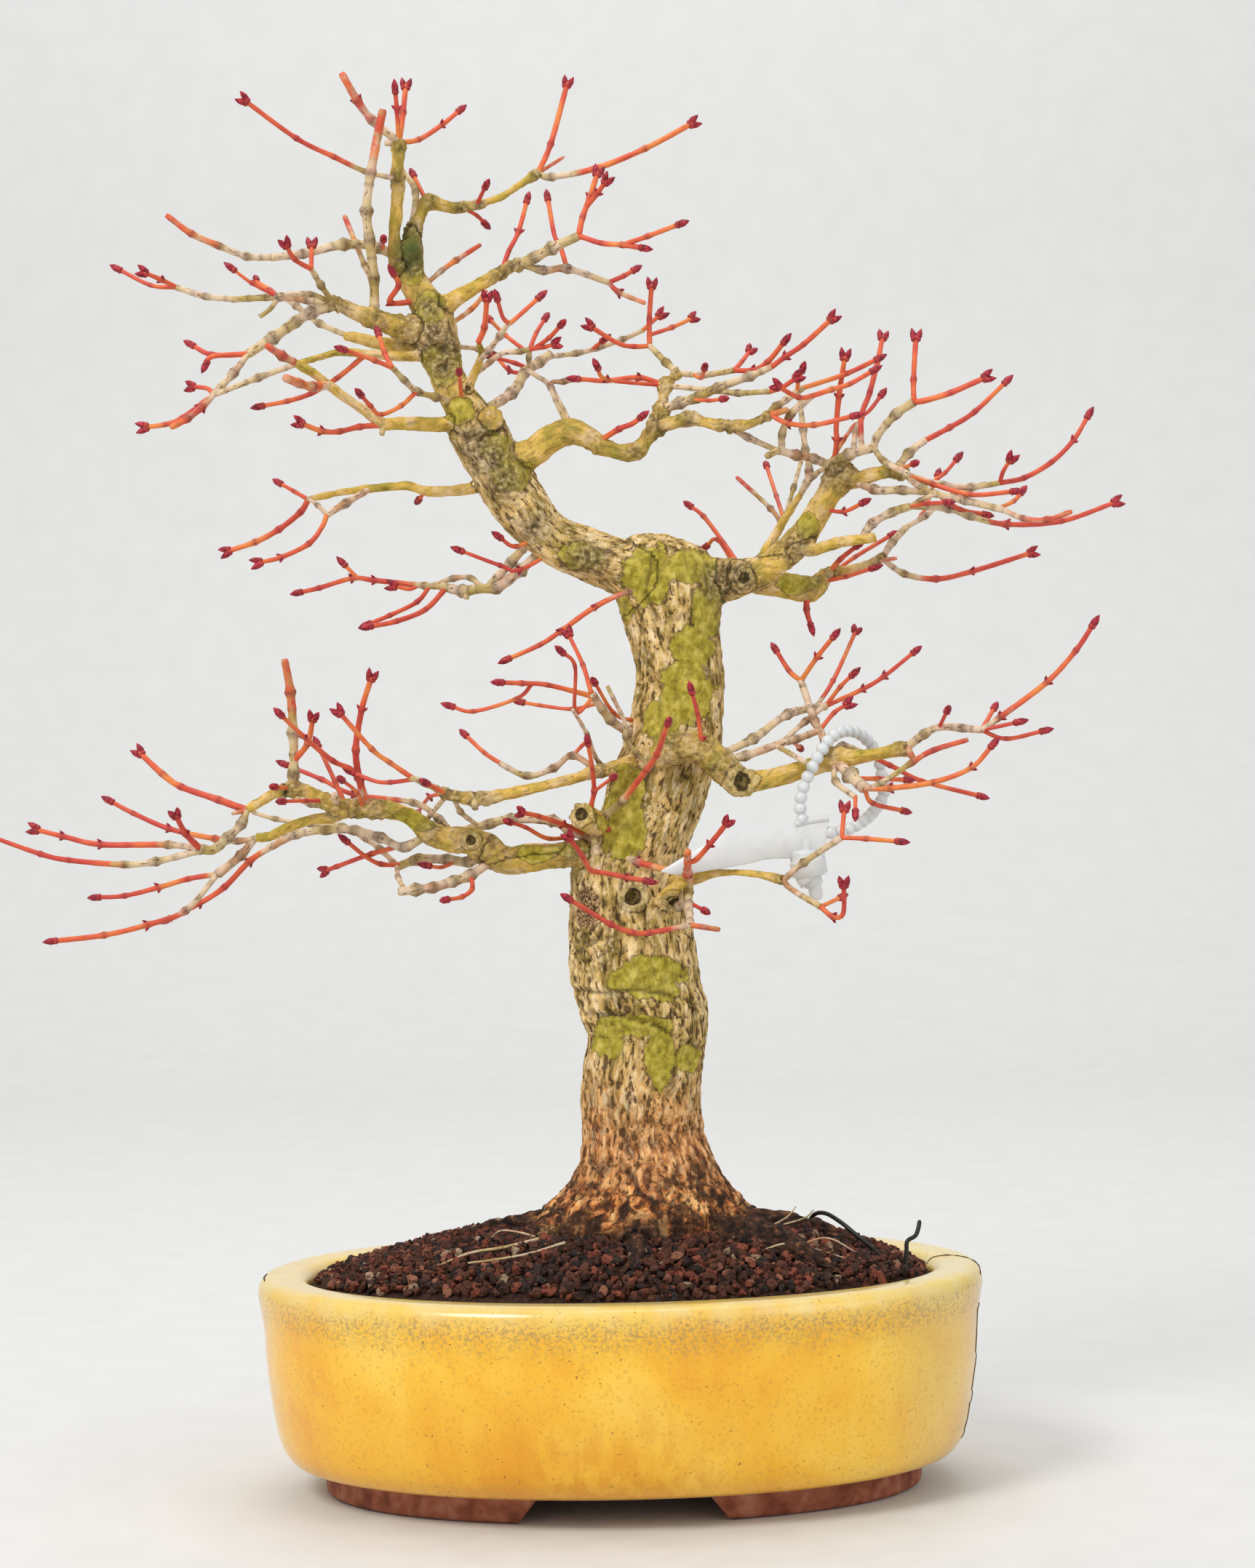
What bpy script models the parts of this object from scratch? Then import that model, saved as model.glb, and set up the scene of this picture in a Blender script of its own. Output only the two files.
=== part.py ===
"""Leafless Japanese maple bonsai in an oval glazed pot, with lava grit, an anchor wire and a hang label.

The wood is laid out as it is seen from the front, in millimetres in the upright plane through
the pot's middle, with a depth for each point. Each sight line then gives its place in space.
"""

import math
import random

import bmesh
import bpy
from mathutils import Vector

MM = 0.001

# The whole stands with the middle of its bounding box over the origin.
STAND_SHIFT = (16.5, 0.0, 0.0)

# Front view: how far the eye is from the pot's middle, its height, how far it stands to the side,
# where straight ahead is in the view, and the view's tilt.
EYE_DISTANCE = 1100.0
EYE_HEIGHT = 240.0
EYE_SIDE = 5.9
SIGHT_MIDDLE = 1.9
VIEW_TILT = math.radians(1.15)

# Pot
POT_LENGTH = 248.0
POT_WIDTH = 180.0
POT_HEIGHT = 74.5
LIP_WIDTH = 17.0
WALL = 9.5
FLOOR_TOP = 14.0
FOOT_HEIGHT = 9.0
FOOT_LENGTH = 204.0
FOOT_WIDTH = 126.0
FOOT_THICK = 13.0
OVAL_POWER = 2.07
NOTCH_HALF_BOTTOM = 34.5
NOTCH_HALF_TOP = 28.0
DRAIN_RADIUS = 9.0
DRAIN_OFFSET = 48.0
WIRE_HOLE_RADIUS = 2.5
WIRE_HOLE_X = 78.0
POT_SIDES = 48
UNDER_DROP = 0.5
WIRE_HOLE_BACK = 20.0

# Soil and roots
CLEARANCE = 0.6
SOIL_EDGE = 70.6
SOIL_TOP = 87.0
SOIL_SIDES = 60
SOIL_RINGS = 9
GRAIN_HEIGHT = 1.5
GRAIN_SPREAD = 0.35
FLOOR_GAP = 0.4
GROOVE_CLEARANCE = 0.84
HOLE_DEPTH = 40.0
BASE_X = 7.5
BASE_HALF_LENGTH = 39.0
BASE_HALF_WIDTH = 33.0
BASE_RISE = 90.5

# Drain screens
SCREEN_RADIUS = 14.0
SCREEN_THICK = 1.2
SCREEN_LIFT = 0.3
SCREEN_ROOM = 0.4

# Wood: its triangles, how far a twig's middle line may be straightened, and how much wider a tube of
# few sides is made, so that it looks as thick as a round one.
TREE_FACES = 11400
TRUNK_SIDES = 16
STRAIGHTEN = 0.7
BUD_LENGTH = 5.2
BUD_THICK = 2.9
BUD_TIP = 0.5
BUD_SHARE = 0.7
PAIR_PLANE = Vector((0.3, 1, 0.2))
FEW_SIDES_WIDER = 1.12
BUD_WIDEST = 0.42
TRUNK_FLATNESS = 0.9
ROOT_SIDES = 7

# The trunk's flare into its roots: the height over which it fades, and the depth of its lobes.
FLARE_REACH = 22.0
FLARE_LOBES = 0.06
TRUNK_WAVES = 0.025

# Trunk outline as seen: height, left edge, right edge, depth of its middle.
TRUNK = [
    (95, -26.5, 42.0, 0), (100, -21.0, 38.0, 0), (105, -17.5, 34.5, 0), (112, -14.2, 31.8, 0),
    (121, -13.5, 28.0, 0), (134, -14.0, 27.3, 0), (146, -13.3, 28.4, 0), (154, -11.8, 29.4, 0),
    (162, -14.5, 29.4, 0), (172, -17.5, 27.3, 0), (186, -18.5, 25.3, 0), (200, -18.0, 22.5, 0),
    (211, -17.5, 22.0, 1), (221, -14.0, 24.2, 1), (231, -7.5, 28.2, 2), (241, -5.0, 31.2, 2),
    (251, -1.0, 34.0, 3), (262, 2.0, 34.8, 3), (275, 4.5, 35.3, 3), (288, 2.4, 34.0, 3),
    (298, -0.5, 34.0, 3), (307, -3.0, 35.0, 3), (315, -3.0, 33.0, 3), (321.5, -1.5, 26.5, 3),
    (326, 3.5, 15.0, 3),
]

# Limbs: where each starts, then its points as seen: across, up, depth, thickness.
LIMBS = {
    "leader": [
        (9, 312, 2, 22), (-3, 315.5, 2, 19.5), (-12, 318.7, 1, 18), (-20, 322, 0, 17.5),
        (-28, 327.5, -1, 17.5), (-34.5, 336, -2, 19), (-41, 345.5, -3, 20.5),
        (-46.5, 354, -4, 19.5), (-50, 362, -4, 18.5), (-54, 369.5, -3, 14.5),
        (-58, 376, -2, 12.5), (-60.5, 382, 0, 11.8), (-63, 389, 1, 14.5),
        (-64.5, 396.5, 2, 15.8), (-66.5, 403, 3, 12.6), (-70, 409.5, 3, 10.2),
        (-73, 415.5, 3, 9.6), (-73.6, 420.5, 3, 10.5), (-72.4, 425, 3, 8.6), (-72.4, 429.5, 3, 5.2),
    ],
    "arch": [
        (-41, 350, -3, 12), (-31, 353.5, -6, 10.5), (-25.5, 358, -8, 9.8), (-18, 361.3, -10, 9),
        (-12, 359.3, -11, 8), (-7, 356.3, -12, 6.5), (-1, 354.2, -12, 5.4), (4.5, 354, -13, 5.8),
        (8, 358, -14, 4.8), (12, 363, -15, 7),
    ],
    "arch_right": [
        (12, 363, -15, 6), (18, 364.2, -18, 4.6), (23, 365.7, -20, 5.2), (28, 364.4, -22, 3.8),
        (36.5, 363, -25, 4.2), (41.5, 363.4, -26, 4), (46, 364.7, -28, 3), (51, 366.8, -30, 3.4),
    ],
    "arch_up": [
        (12.5, 363, -15, 6.5), (13.5, 368.5, -12, 5.4), (14, 372, -9, 4), (14.8, 377, -6, 5),
        (17, 379.5, -4, 3.2), (19.2, 381.2, -2, 4.2),
    ],
    "shoulder": [
        (20, 306, 4, 21), (30, 309.5, 2, 17), (39, 310.8, 0, 13.5), (48, 313, -3, 11),
        (56, 319, -5, 10), (62, 325.5, -7, 9.4), (67, 333, -8, 9), (71.5, 340.5, -9, 9),
        (75, 346.5, -10, 11), (71.5, 350.3, -11, 5),
    ],
    "shoulder_low": [
        (46, 310, 2, 10), (57, 308.2, 8, 9), (65.5, 307, 11, 8), (70.5, 312, 12, 5),
        (78, 313.7, 13, 3.4), (88, 316.7, 15, 3), (90, 318.8, 16, 3.4),
    ],
    "shoulder_right": [
        (74, 346, -10, 8), (81, 344.8, -13, 5.6), (88, 346.8, -17, 4.8), (94, 347.6, -21, 4.4),
        (97.5, 346.3, -22, 5),
    ],
    "mid_right": [
        (12, 249, -14, 9), (20, 252.5, -20, 10), (28, 251.5, -21, 10), (34, 246.5, -21, 10),
        (40, 241, -21, 9.4), (46, 241.2, -20, 7.2), (57, 243.5, -18, 7), (68, 246.8, -17, 6.6),
        (73, 248.5, -17, 8.4), (80, 249.3, -19, 5.4), (90, 250.8, -22, 4.6), (98, 252.7, -25, 5.4),
    ],
    "low_right": [
        (10, 203, -4, 8), (20, 206.5, -15, 6), (27, 208.6, -20, 5), (33, 209.5, -22, 3),
        (45, 209.2, -27, 2.7), (55.5, 207, -31, 3.6),
    ],
    "low_left": [
        (-8, 213, -6, 11), (-17, 216, -10, 9), (-30, 213.8, -14, 7.6), (-39, 213, -17, 8.5),
        (-46, 217, -18, 11), (-52, 220.2, -19, 9.6), (-60, 221, -20, 8), (-66, 223.2, -21, 7.5),
        (-71.5, 227.8, -22, 6.6), (-77, 230.5, -23, 6), (-85, 231.3, -24, 6.4),
        (-93, 231.6, -25, 5.4), (-98, 232.2, -26, 6.8), (-104, 235.2, -27, 5),
        (-110, 238, -28, 4.4), (-114, 238.5, -28, 6),
    ],
    "mid_left": [
        (4, 247.5, -12, 6), (-6, 244.7, -19, 4.8), (-14, 242.6, -22, 4), (-30, 238.6, -28, 4),
        (-40, 236.4, -31, 4.2), (-49, 234.8, -33, 4.6), (-58, 236, -35, 3.6), (-62, 236.9, -36, 4.4),
    ],
    "top_left": [
        (-64, 395.5, 2, 14), (-73, 396.5, -1, 9.5), (-81, 398.5, -4, 7.4), (-89, 401.3, -7, 5.8),
        (-96, 404.3, -9, 4.8), (-101, 405.8, -10, 4.4),
    ],
    "top_right": [
        (-64, 402, 3, 10), (-58.5, 406, 0, 6.6), (-53.5, 409, -2, 5.6), (-45, 413.8, -6, 4.4),
        (-38, 417.8, -9, 4), (-34.5, 418.6, -10, 5),
    ],
    "crown_right": [
        (-72.4, 427, 3, 6), (-69.7, 435, 6, 4.8), (-67, 440, 8, 5.6), (-61, 438.7, 10, 4.4),
        (-57, 438.2, 11, 3.8), (-50, 439.1, 13, 3), (-42, 441.6, 15, 2.8), (-35, 446, 17, 2.8),
        (-29, 449.9, 19, 3.6),
    ],
    "apex": [
        (-76.5, 418, 1, 7.5), (-78.4, 424.5, -1, 4.8), (-77.6, 436, -3, 4.6), (-77, 448, -4, 4.6),
        (-76.7, 457, -5, 4.4), (-76.6, 460.5, -5, 6.6),
    ],
}

# Twigs: name (where others grow from it), parent, thickness at start and end, depth of the
# end, what it ends in, and its points as seen.
TWIGS = [
    # Low left limb, its end
    ("", "low_left", 5.6, 4.6, -20, "join", [(-18, 218.3), (-30, 217.3), (-41, 215.6), (-47, 218)]),
    (
        "n1_up", "low_left", 3.4, 2.6, -34, "cut",
        [(-114, 239), (-112.8, 244), (-113, 257.5), (-114, 271.5), (-116, 283)],
    ),
    ("", "n1_up", 2.2, 1.8, -42, "pair", [(-112.6, 248), (-108, 254), (-106.2, 263)]),
    (
        "n1_out", "low_left", 4.2, 3.6, -30, "join",
        [(-114, 238), (-120, 236.5), (-125, 233.4), (-129, 231)],
    ),
    (
        "", "n1_out", 2.6, 1.9, -24, "pair",
        [(-128.5, 231.5), (-138.5, 234.5), (-151.5, 239), (-158, 243.5), (-166, 251)],
    ),
    ("", "n1_out", 1.6, 1.4, -33, "cut", [(-129, 230.4), (-134, 229.8)]),
    (
        "n2_down", "n1_out", 2.6, 3.4, -34, "join",
        [(-128.5, 230.5), (-131, 226), (-135.5, 221.5), (-140.5, 217.4), (-145, 217.8)],
    ),
    ("", "n2_down", 2.2, 1.8, -46, "pair", [(-146, 217.8), (-150, 223), (-153.5, 229.5)]),
    (
        "", "n2_down", 2.4, 1.7, -28, "pair",
        [(-144, 218.8), (-156, 219.1), (-179, 219.2), (-192, 222), (-202, 224.5)],
    ),
    (
        "", "n2_down", 2.5, 1.5, -40, "bud",
        [(-142, 216.2), (-160, 213.4), (-171, 212.3), (-190, 213.8), (-200, 216), (-218.5, 222.5)],
    ),
    (
        "n4", "low_left", 4.2, 3.6, -12, "join",
        [(-92, 229), (-100, 228.6), (-107, 227.8), (-114, 225.4), (-121, 222), (-126, 221.5)],
    ),
    (
        "", "n4", 2.2, 1.6, -2, "bud",
        [(-125, 221.5), (-132, 220.4), (-140, 221.2), (-155.5, 224.6), (-168, 230), (-176, 234.2)],
    ),
    ("n5", "n4", 2.4, 3.2, -8, "join", [(-125.5, 220.5), (-131, 215.5), (-139, 209)]),
    (
        "", "n5", 2.0, 1.6, 2, "bud",
        [(-138, 209.3), (-149, 207.4), (-159, 204.5), (-170.7, 201.6), (-180.5, 201)],
    ),
    (
        "", "n5", 2.0, 1.8, -18, "bud",
        [(-139, 208.5), (-150, 196.5), (-163, 191.6), (-178, 188), (-195.5, 186)],
    ),
    (
        "long_pale", "low_left", 3.0, 2.6, 6, "join",
        [(-70, 219), (-75, 218.3), (-83, 221.5), (-92, 224.1), (-101, 224.2), (-112, 222.6), (-121.5, 218)],
    ),
    (
        "", "long_pale", 2.2, 1.7, 14, "bud",
        [(-120.5, 218.8), (-128, 213.5), (-136.5, 204.7), (-145, 199), (-156, 193.4)],
    ),
    # Low left limb, twigs above it
    (
        "", "low_left", 2.6, 1.9, -44, "pair",
        [(-86, 232), (-90, 241), (-91.5, 251.5), (-89.5, 265.5), (-86, 277)],
    ),
    (
        "", "low_left", 2.0, 1.5, -56, "bud",
        [(-88, 234), (-91.5, 243.5), (-99.5, 248), (-109, 256), (-117.5, 264)],
    ),
    ("", "low_left", 1.8, 1.5, -14, "bud", [(-94.5, 232), (-98.5, 240.5), (-104.7, 253.7)]),
    ("", "low_left", 1.5, 1.3, -48, "bud", [(-88, 233), (-91, 237), (-96.5, 241.5)]),
    (
        "", "low_left", 2.2, 1.5, 2, "bud",
        [(-56, 222), (-63, 228), (-71.5, 233.5), (-92, 236.4), (-103, 241.5), (-116, 246.8)],
    ),
    ("", "low_left", 1.8, 1.5, -10, "join", [(-96, 228.5), (-107, 232.9), (-115, 237)]),
    ("", "low_left", 1.4, 1.3, -46, "bud", [(-103, 234.3), (-109, 234.2), (-116.8, 234)]),
    ("", "low_left", 1.4, 1.3, -38, "bud", [(-114, 238), (-119.5, 239)]),
    ("", "low_left", 2.6, 2.0, -34, "knot", [(-97.5, 233), (-99, 236.5)]),
    # Low left limb, twigs below it
    (
        "below", "low_left", 3.4, 3.0, 0, "join",
        [(-46, 213.5), (-53, 213.3), (-60, 214), (-70, 214), (-77, 211.6)],
    ),
    ("", "below", 1.8, 1.5, -8, "bud", [(-76, 211.7), (-83, 212.5), (-88, 215), (-95, 220.6)]),
    (
        "", "below", 1.9, 1.5, 14, "join",
        [(-76.5, 211.5), (-83, 217.5), (-88, 221), (-96, 225.4), (-107, 226.2), (-119, 228), (-127, 230.3)],
    ),
    (
        "", "low_left", 1.9, 1.6, 10, "pair",
        [(-68, 221), (-74, 219.4), (-86, 216), (-98, 211.6), (-102.5, 210)],
    ),
    ("", "below", 1.5, 1.3, -12, "bud", [(-56, 213), (-62, 211.4), (-67, 212)]),
    (
        "under", "low_left", 3.2, 3.0, -34, "knot",
        [(-45, 210.5), (-52, 208.8), (-58, 206.6), (-65, 204.4), (-71, 203.6), (-76.5, 203)],
    ),
    ("", "under", 1.7, 1.4, -42, "bud", [(-51, 208.3), (-51.5, 204), (-55, 201.2), (-60.5, 200.2)]),
    ("", "under", 1.8, 1.6, -12, "join", [(-75, 203.5), (-77, 208), (-77.3, 211.5)]),
    # Grey-green branch and sprouts above the low left limb
    (
        "grey", "trunk", 3.2, 3.0, -2, "join",
        [(-12, 222), (-18, 224), (-24, 227.3), (-38, 228), (-46, 226.2), (-55, 224)],
    ),
    ("", "trunk", 1.9, 1.7, -40, "pair", [(-12, 223), (-20, 226), (-29, 229), (-35, 230.3)]),
    ("", "trunk", 1.7, 1.4, -30, "bud", [(-14, 222.5), (-25, 221.2), (-33, 225), (-38.8, 227)]),
    # Mid left limb
    ("ml_up", "mid_left", 2.4, 2.0, -42, "join", [(-60, 236.5), (-68, 240.5), (-73, 242.2)]),
    ("", "ml_up", 1.8, 1.6, -54, "pair", [(-72, 242), (-80, 247.5), (-86, 252), (-97.5, 265)]),
    ("", "ml_up", 1.6, 1.4, -34, "bud", [(-72, 242), (-79.5, 240.6), (-85, 241), (-93, 244.2)]),
    ("", "mid_left", 1.7, 1.6, -16, "join", [(-59, 235.5), (-55.5, 230.5), (-50, 226)]),
    ("", "mid_left", 1.5, 1.4, -44, "bud", [(-61, 236), (-67.5, 240.4)]),
    ("", "mid_left", 1.9, 1.6, -16, "join", [(-60, 235), (-67, 228)]),
    ("", "mid_left", 1.5, 1.3, 2, "bud", [(-60, 237.5), (-66, 235.6), (-70.4, 229.8)]),
    ("", "mid_left", 2.6, 2.2, -38, "knot", [(-50, 235), (-50.5, 231.8)]),
    (
        "ml_twig", "mid_left", 2.2, 1.9, -12, "join",
        [(-8, 245), (-17, 249.8), (-23.5, 245.5), (-32.5, 242.8), (-42, 247)],
    ),
    ("", "ml_twig", 1.6, 1.5, 2, "bud", [(-41, 246.6), (-47, 250.5), (-54, 257)]),
    ("", "ml_twig", 1.5, 1.2, -20, "cut", [(-17, 249.5), (-11.5, 255.5)]),
    # Small branches on the trunk's left side
    ("side", "trunk", 3.2, 2.8, -24, "join", [(3, 258), (-4, 262.2), (-10.5, 271.2)]),
    (
        "side_out", "side", 1.9, 1.5, -40, "bud",
        [(-10, 270.5), (-25.5, 274), (-34.5, 274.6), (-42, 274.9)],
    ),
    ("", "side_out", 1.4, 1.3, -28, "bud", [(-31, 274.4), (-36, 269.5), (-51, 265), (-59, 266.8)]),
    ("", "side", 1.7, 1.4, -16, "pair", [(-10.3, 270.8), (-13.5, 281), (-18.7, 292)]),
    ("", "side", 1.4, 1.3, -44, "bud", [(-9, 270), (-16, 264.7), (-16.2, 280.5), (-20.8, 285.5)]),
    ("", "trunk", 1.5, 1.3, -30, "bud", [(3, 262), (-3, 264.6), (-9.5, 275)]),
    (
        "pink", "trunk", 1.7, 1.5, -30, "join",
        [(10, 246), (5, 250.5), (1.2, 256), (1, 261), (-5, 273.5)],
    ),
    ("", "side", 1.4, 1.3, -8, "bud", [(-8, 268), (-17, 265.8), (-28, 267), (-34.8, 268.2)]),
    ("", "trunk", 1.5, 1.3, -34, "join", [(-2, 246), (-8, 247.5), (-12, 257), (-17, 265.7)]),
    (
        "front", "trunk", 1.8, 1.5, -36, "bud",
        [(-5, 224.5), (-10.3, 231), (-9.6, 237.5), (-10.3, 245.5), (-11.8, 254.5)],
    ),
    ("", "front", 1.3, 1.2, -42, "bud", [(-9.6, 237.5), (-3, 242.3)]),
    # Shoots in front of the trunk
    (
        "near", "trunk", 2.8, 1.8, -62, "bud",
        [(-14, 219), (-10.5, 224.3), (-6, 229), (0, 234.2), (8.5, 245), (12, 250.3), (15.8, 261)],
    ),
    ("near_low", "near", 2.2, 1.9, -48, "join", [(-11, 224), (-9, 218), (-8, 209.7)]),
    ("", "near_low", 1.8, 1.6, -62, "pair", [(-8, 210), (-11, 210.6), (-13.5, 215), (-18.5, 222)]),
    ("", "near_low", 1.8, 1.5, -50, "bud", [(-8, 210), (-3.5, 209), (1, 208), (8.8, 206.6)]),
    ("", "trunk", 2.8, 2.2, -23.5, "cut", [(-12, 222), (-3, 216.6), (5, 213.4), (18, 209.7)]),
    ("spur", "trunk", 2.8, 2.6, -44, "cut", [(19, 198), (22.8, 203), (22.6, 209), (22.5, 217)]),
    ("", "spur", 1.9, 1.7, -56, "pair", [(22.5, 212.8), (25.5, 214), (30, 219), (36.4, 227)]),
    ("spur_low", "spur", 2.3, 2.8, -46, "join", [(22.8, 204), (23, 198.5), (23.4, 191.5)]),
    ("", "spur_low", 2.0, 1.8, -42, "cut", [(23.4, 192), (27, 191), (33.5, 190)]),
    (
        "", "spur_low", 1.9, 1.6, -72, "bud",
        [(23, 191.5), (9, 188.8), (3.5, 189), (-4, 191.8), (-18.5, 200.6)],
    ),
    ("", "spur_low", 1.4, 1.3, -40, "bud", [(23.2, 199), (28.5, 196.4)]),
    ("", "trunk", 5.0, 4.4, -30, "knot", [(12, 199), (15.5, 202), (21, 206.6)]),
    ("", "trunk", 10.0, 8.8, -22, "knot", [(-8, 226), (-14, 229.2)]),
    # Small upper left twigs
    ("", "trunk", 2.0, 1.6, -6, "bud", [(2, 306), (-9, 301), (-21, 292.6), (-28, 288), (-39.5, 282.8)]),
    (
        "upper_left", "leader", 3.4, 3.4, 10, "join",
        [(-27, 317), (-35, 313.5), (-43, 307.6), (-50, 307.3)],
    ),
    ("", "leader", 3.0, 3.0, 10, "join", [(-33, 321), (-38, 316.5), (-45.5, 308)]),
    ("ul_out", "upper_left", 3.6, 3.2, 18, "join", [(-49, 307.2), (-55, 306.4), (-62, 308)]),
    (
        "ul_long", "ul_out", 2.3, 1.6, 34, "bud",
        [(-61, 307.8), (-68, 308.2), (-85, 310), (-92.5, 310.7), (-104, 307.4), (-111, 305.8)],
    ),
    ("", "ul_long", 1.5, 1.4, 28, "bud", [(-91, 310.6), (-95.8, 315.8)]),
    ("", "upper_left", 1.9, 1.7, 24, "join", [(-49, 307.5), (-52, 310.8), (-58, 310.7), (-66, 307.8)]),
    ("", "ul_long", 1.7, 1.5, 14, "bud", [(-66, 308.3), (-70.5, 302.6), (-79.8, 298), (-87.5, 294.8)]),
    ("", "ul_out", 2.0, 1.7, 6, "bud", [(-61, 307.6), (-67.6, 300), (-77.5, 296), (-87, 294)]),
    ("", "ul_long", 1.5, 1.4, 20, "pair", [(-69, 308), (-73, 307), (-79, 308.2)]),
    ("", "ul_out", 2.8, 2.0, 12, "knot", [(-53, 306.5), (-53.5, 303.6)]),
    ("", "leader", 1.5, 1.3, -14, "bud", [(-24, 316), (-35, 313.7), (-42, 315.2), (-55.8, 320.3)]),
    ("", "leader", 1.6, 1.4, -12, "bud", [(-31, 319), (-36.5, 321.7), (-42.3, 325)]),
    # Thin left branch at half height
    (
        "left_thin", "leader", 4.6, 2.6, 22, "join",
        [(-44, 342), (-57, 340.8), (-67.5, 340.8), (-74, 342.5), (-86.5, 341.5), (-98, 340), (-107.8, 337.8)],
    ),
    ("", "left_thin", 1.5, 1.3, 14, "bud", [(-67, 340.5), (-70, 337.5)]),
    ("", "left_thin", 1.6, 1.4, 30, "bud", [(-107.3, 337.9), (-112.5, 340.5), (-117.8, 343.5)]),
    (
        "", "left_thin", 2.2, 1.8, 26, "pair",
        [(-107.8, 338), (-110.5, 333.5), (-118, 327.5), (-126, 323.2), (-136, 319.8)],
    ),
    ("lt_low", "left_thin", 2.2, 2.4, 6, "join", [(-86, 341.3), (-95, 336.5), (-101.5, 332.5)]),
    (
        "", "lt_low", 1.9, 1.6, 0, "pair",
        [(-101, 333), (-103, 328.5), (-107.6, 322.6), (-117, 318), (-125.3, 316)],
    ),
    ("", "lt_low", 1.5, 1.4, 20, "join", [(-101, 333), (-104.5, 335.7), (-107.8, 338)]),
    # Forked left branch
    (
        "left_forked", "leader", 6.0, 4.4, -22, "join",
        [(-53, 366), (-60, 364), (-65.5, 363.5), (-74, 364), (-82, 363.4)],
    ),
    (
        "lf_up", "left_forked", 4.2, 3.2, -40, "join",
        [(-81.5, 363.4), (-88, 368), (-94.5, 372.4), (-101, 377.2), (-106, 381), (-112.7, 385)],
    ),
    ("", "lf_up", 2.8, 2.5, -46, "cut", [(-112, 384.8), (-117, 387.3), (-122.3, 390.9)]),
    ("", "lf_up", 3.2, 2.8, -52, "cut", [(-101.5, 377), (-106.5, 376.6), (-111, 377.8), (-116, 379.7)]),
    ("", "left_forked", 2.4, 2.0, -24, "knot", [(-82, 364), (-82.5, 360.2)]),
    (
        "", "left_forked", 2.1, 1.7, -36, "pair",
        [(-82.5, 363.3), (-90, 362.8), (-97, 361.2), (-103, 361.3), (-111, 364.2)],
    ),
    (
        "lf_low", "leader", 2.4, 1.9, -30, "join",
        [(-57, 370.5), (-64, 373), (-70.5, 375), (-75, 379), (-79, 383.2)],
    ),
    (
        "", "lf_low", 1.7, 1.4, -44, "bud",
        [(-70, 374.5), (-76, 370), (-83, 367), (-86.5, 370), (-90, 374)],
    ),
    ("", "lf_low", 1.7, 1.5, -42, "bud", [(-78.5, 383), (-85, 385.6), (-90, 387.4), (-96, 389.4)]),
    ("", "lf_low", 1.7, 1.5, -22, "bud", [(-78.8, 383), (-81.5, 388), (-83.8, 395)]),
    # Orange upright and knobs on the leader's right side
    ("", "leader", 9.5, 8.0, -13, "knot", [(-50, 365.5), (-43.5, 366)]),
    (
        "upright", "leader", 4.4, 2.4, -24, "join",
        [(-56, 370), (-53, 376), (-50, 383), (-48.3, 388), (-49.4, 391.8)],
    ),
    ("", "upright", 2.1, 1.9, -34, "pair", [(-49.2, 391.5), (-47.3, 397), (-46.4, 407.5)]),
    ("", "upright", 1.5, 1.4, -30, "bud", [(-56, 372), (-56, 381.6)]),
    (
        "up_pale", "upright", 2.0, 1.7, -40, "join",
        [(-48.7, 386), (-45.8, 389), (-42, 394), (-39, 398.5)],
    ),
    ("", "up_pale", 1.6, 1.4, -48, "bud", [(-39, 398), (-41, 400.5), (-43, 407.2)]),
    ("", "up_pale", 1.6, 1.5, -34, "bud", [(-39.5, 398), (-36.5, 400), (-28.2, 407.5)]),
    (
        "up_long", "upright", 1.9, 1.7, -10, "join",
        [(-51, 380), (-45.5, 385), (-41, 388), (-35, 388.7), (-30, 389.8)],
    ),
    ("", "up_long", 1.6, 1.4, -18, "pair", [(-31, 389.6), (-26.5, 390.2), (-22.5, 391.4)]),
    ("", "up_long", 1.6, 1.4, 2, "bud", [(-31.3, 389.5), (-29.5, 395), (-26.3, 400.2)]),
    ("", "up_long", 1.6, 1.5, -26, "bud", [(-30, 389.8), (-25, 393.4), (-20.8, 398)]),
    ("", "up_long", 1.5, 1.4, 14, "bud", [(-33, 389), (-40, 394.2), (-45.6, 399.8)]),
    (
        "top_of_arch", "leader", 3.6, 3.2, 10, "join",
        [(-44, 370), (-38, 374.3), (-33.5, 381.3), (-28.5, 385), (-24.5, 387.8)],
    ),
    (
        "ta_out", "top_of_arch", 1.9, 1.7, 22, "join",
        [(-25.5, 387.2), (-16, 388), (-8.5, 389.8), (0, 392.7), (7, 395.8)],
    ),
    ("", "ta_out", 1.4, 1.3, 12, "bud", [(-10, 389.6), (-6.2, 392.7)]),
    ("", "ta_out", 1.6, 1.5, 24, "pair", [(6.5, 395.6), (9.8, 398.4), (13.5, 401.5)]),
    ("", "top_of_arch", 1.6, 1.5, 4, "bud", [(-31.5, 382.8), (-36.5, 384.6), (-45.3, 387)]),
    ("", "top_of_arch", 1.8, 1.6, -4, "join", [(-31.5, 383.5), (-32, 386.8), (-31.3, 389.8)]),
    ("", "top_of_arch", 1.5, 1.4, 16, "bud", [(-34, 381), (-38.5, 382), (-43.6, 387.2)]),
    ("", "leader", 1.7, 1.5, 16, "join", [(-54, 393), (-49, 389.4), (-44, 386.2)]),
    ("", "leader", 1.8, 1.6, 14, "cut", [(-58, 395), (-52, 403), (-46.6, 409.5)]),
    ("", "leader", 1.8, 1.7, 20, "cut", [(-70, 410.5), (-62, 416.4), (-57, 420), (-48.7, 425.4)]),
    # Arch, its upright twigs
    ("", "arch", 1.9, 1.7, 2, "join", [(-16.5, 362), (-24.5, 376.3), (-29, 380), (-32.5, 382.3)]),
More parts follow.
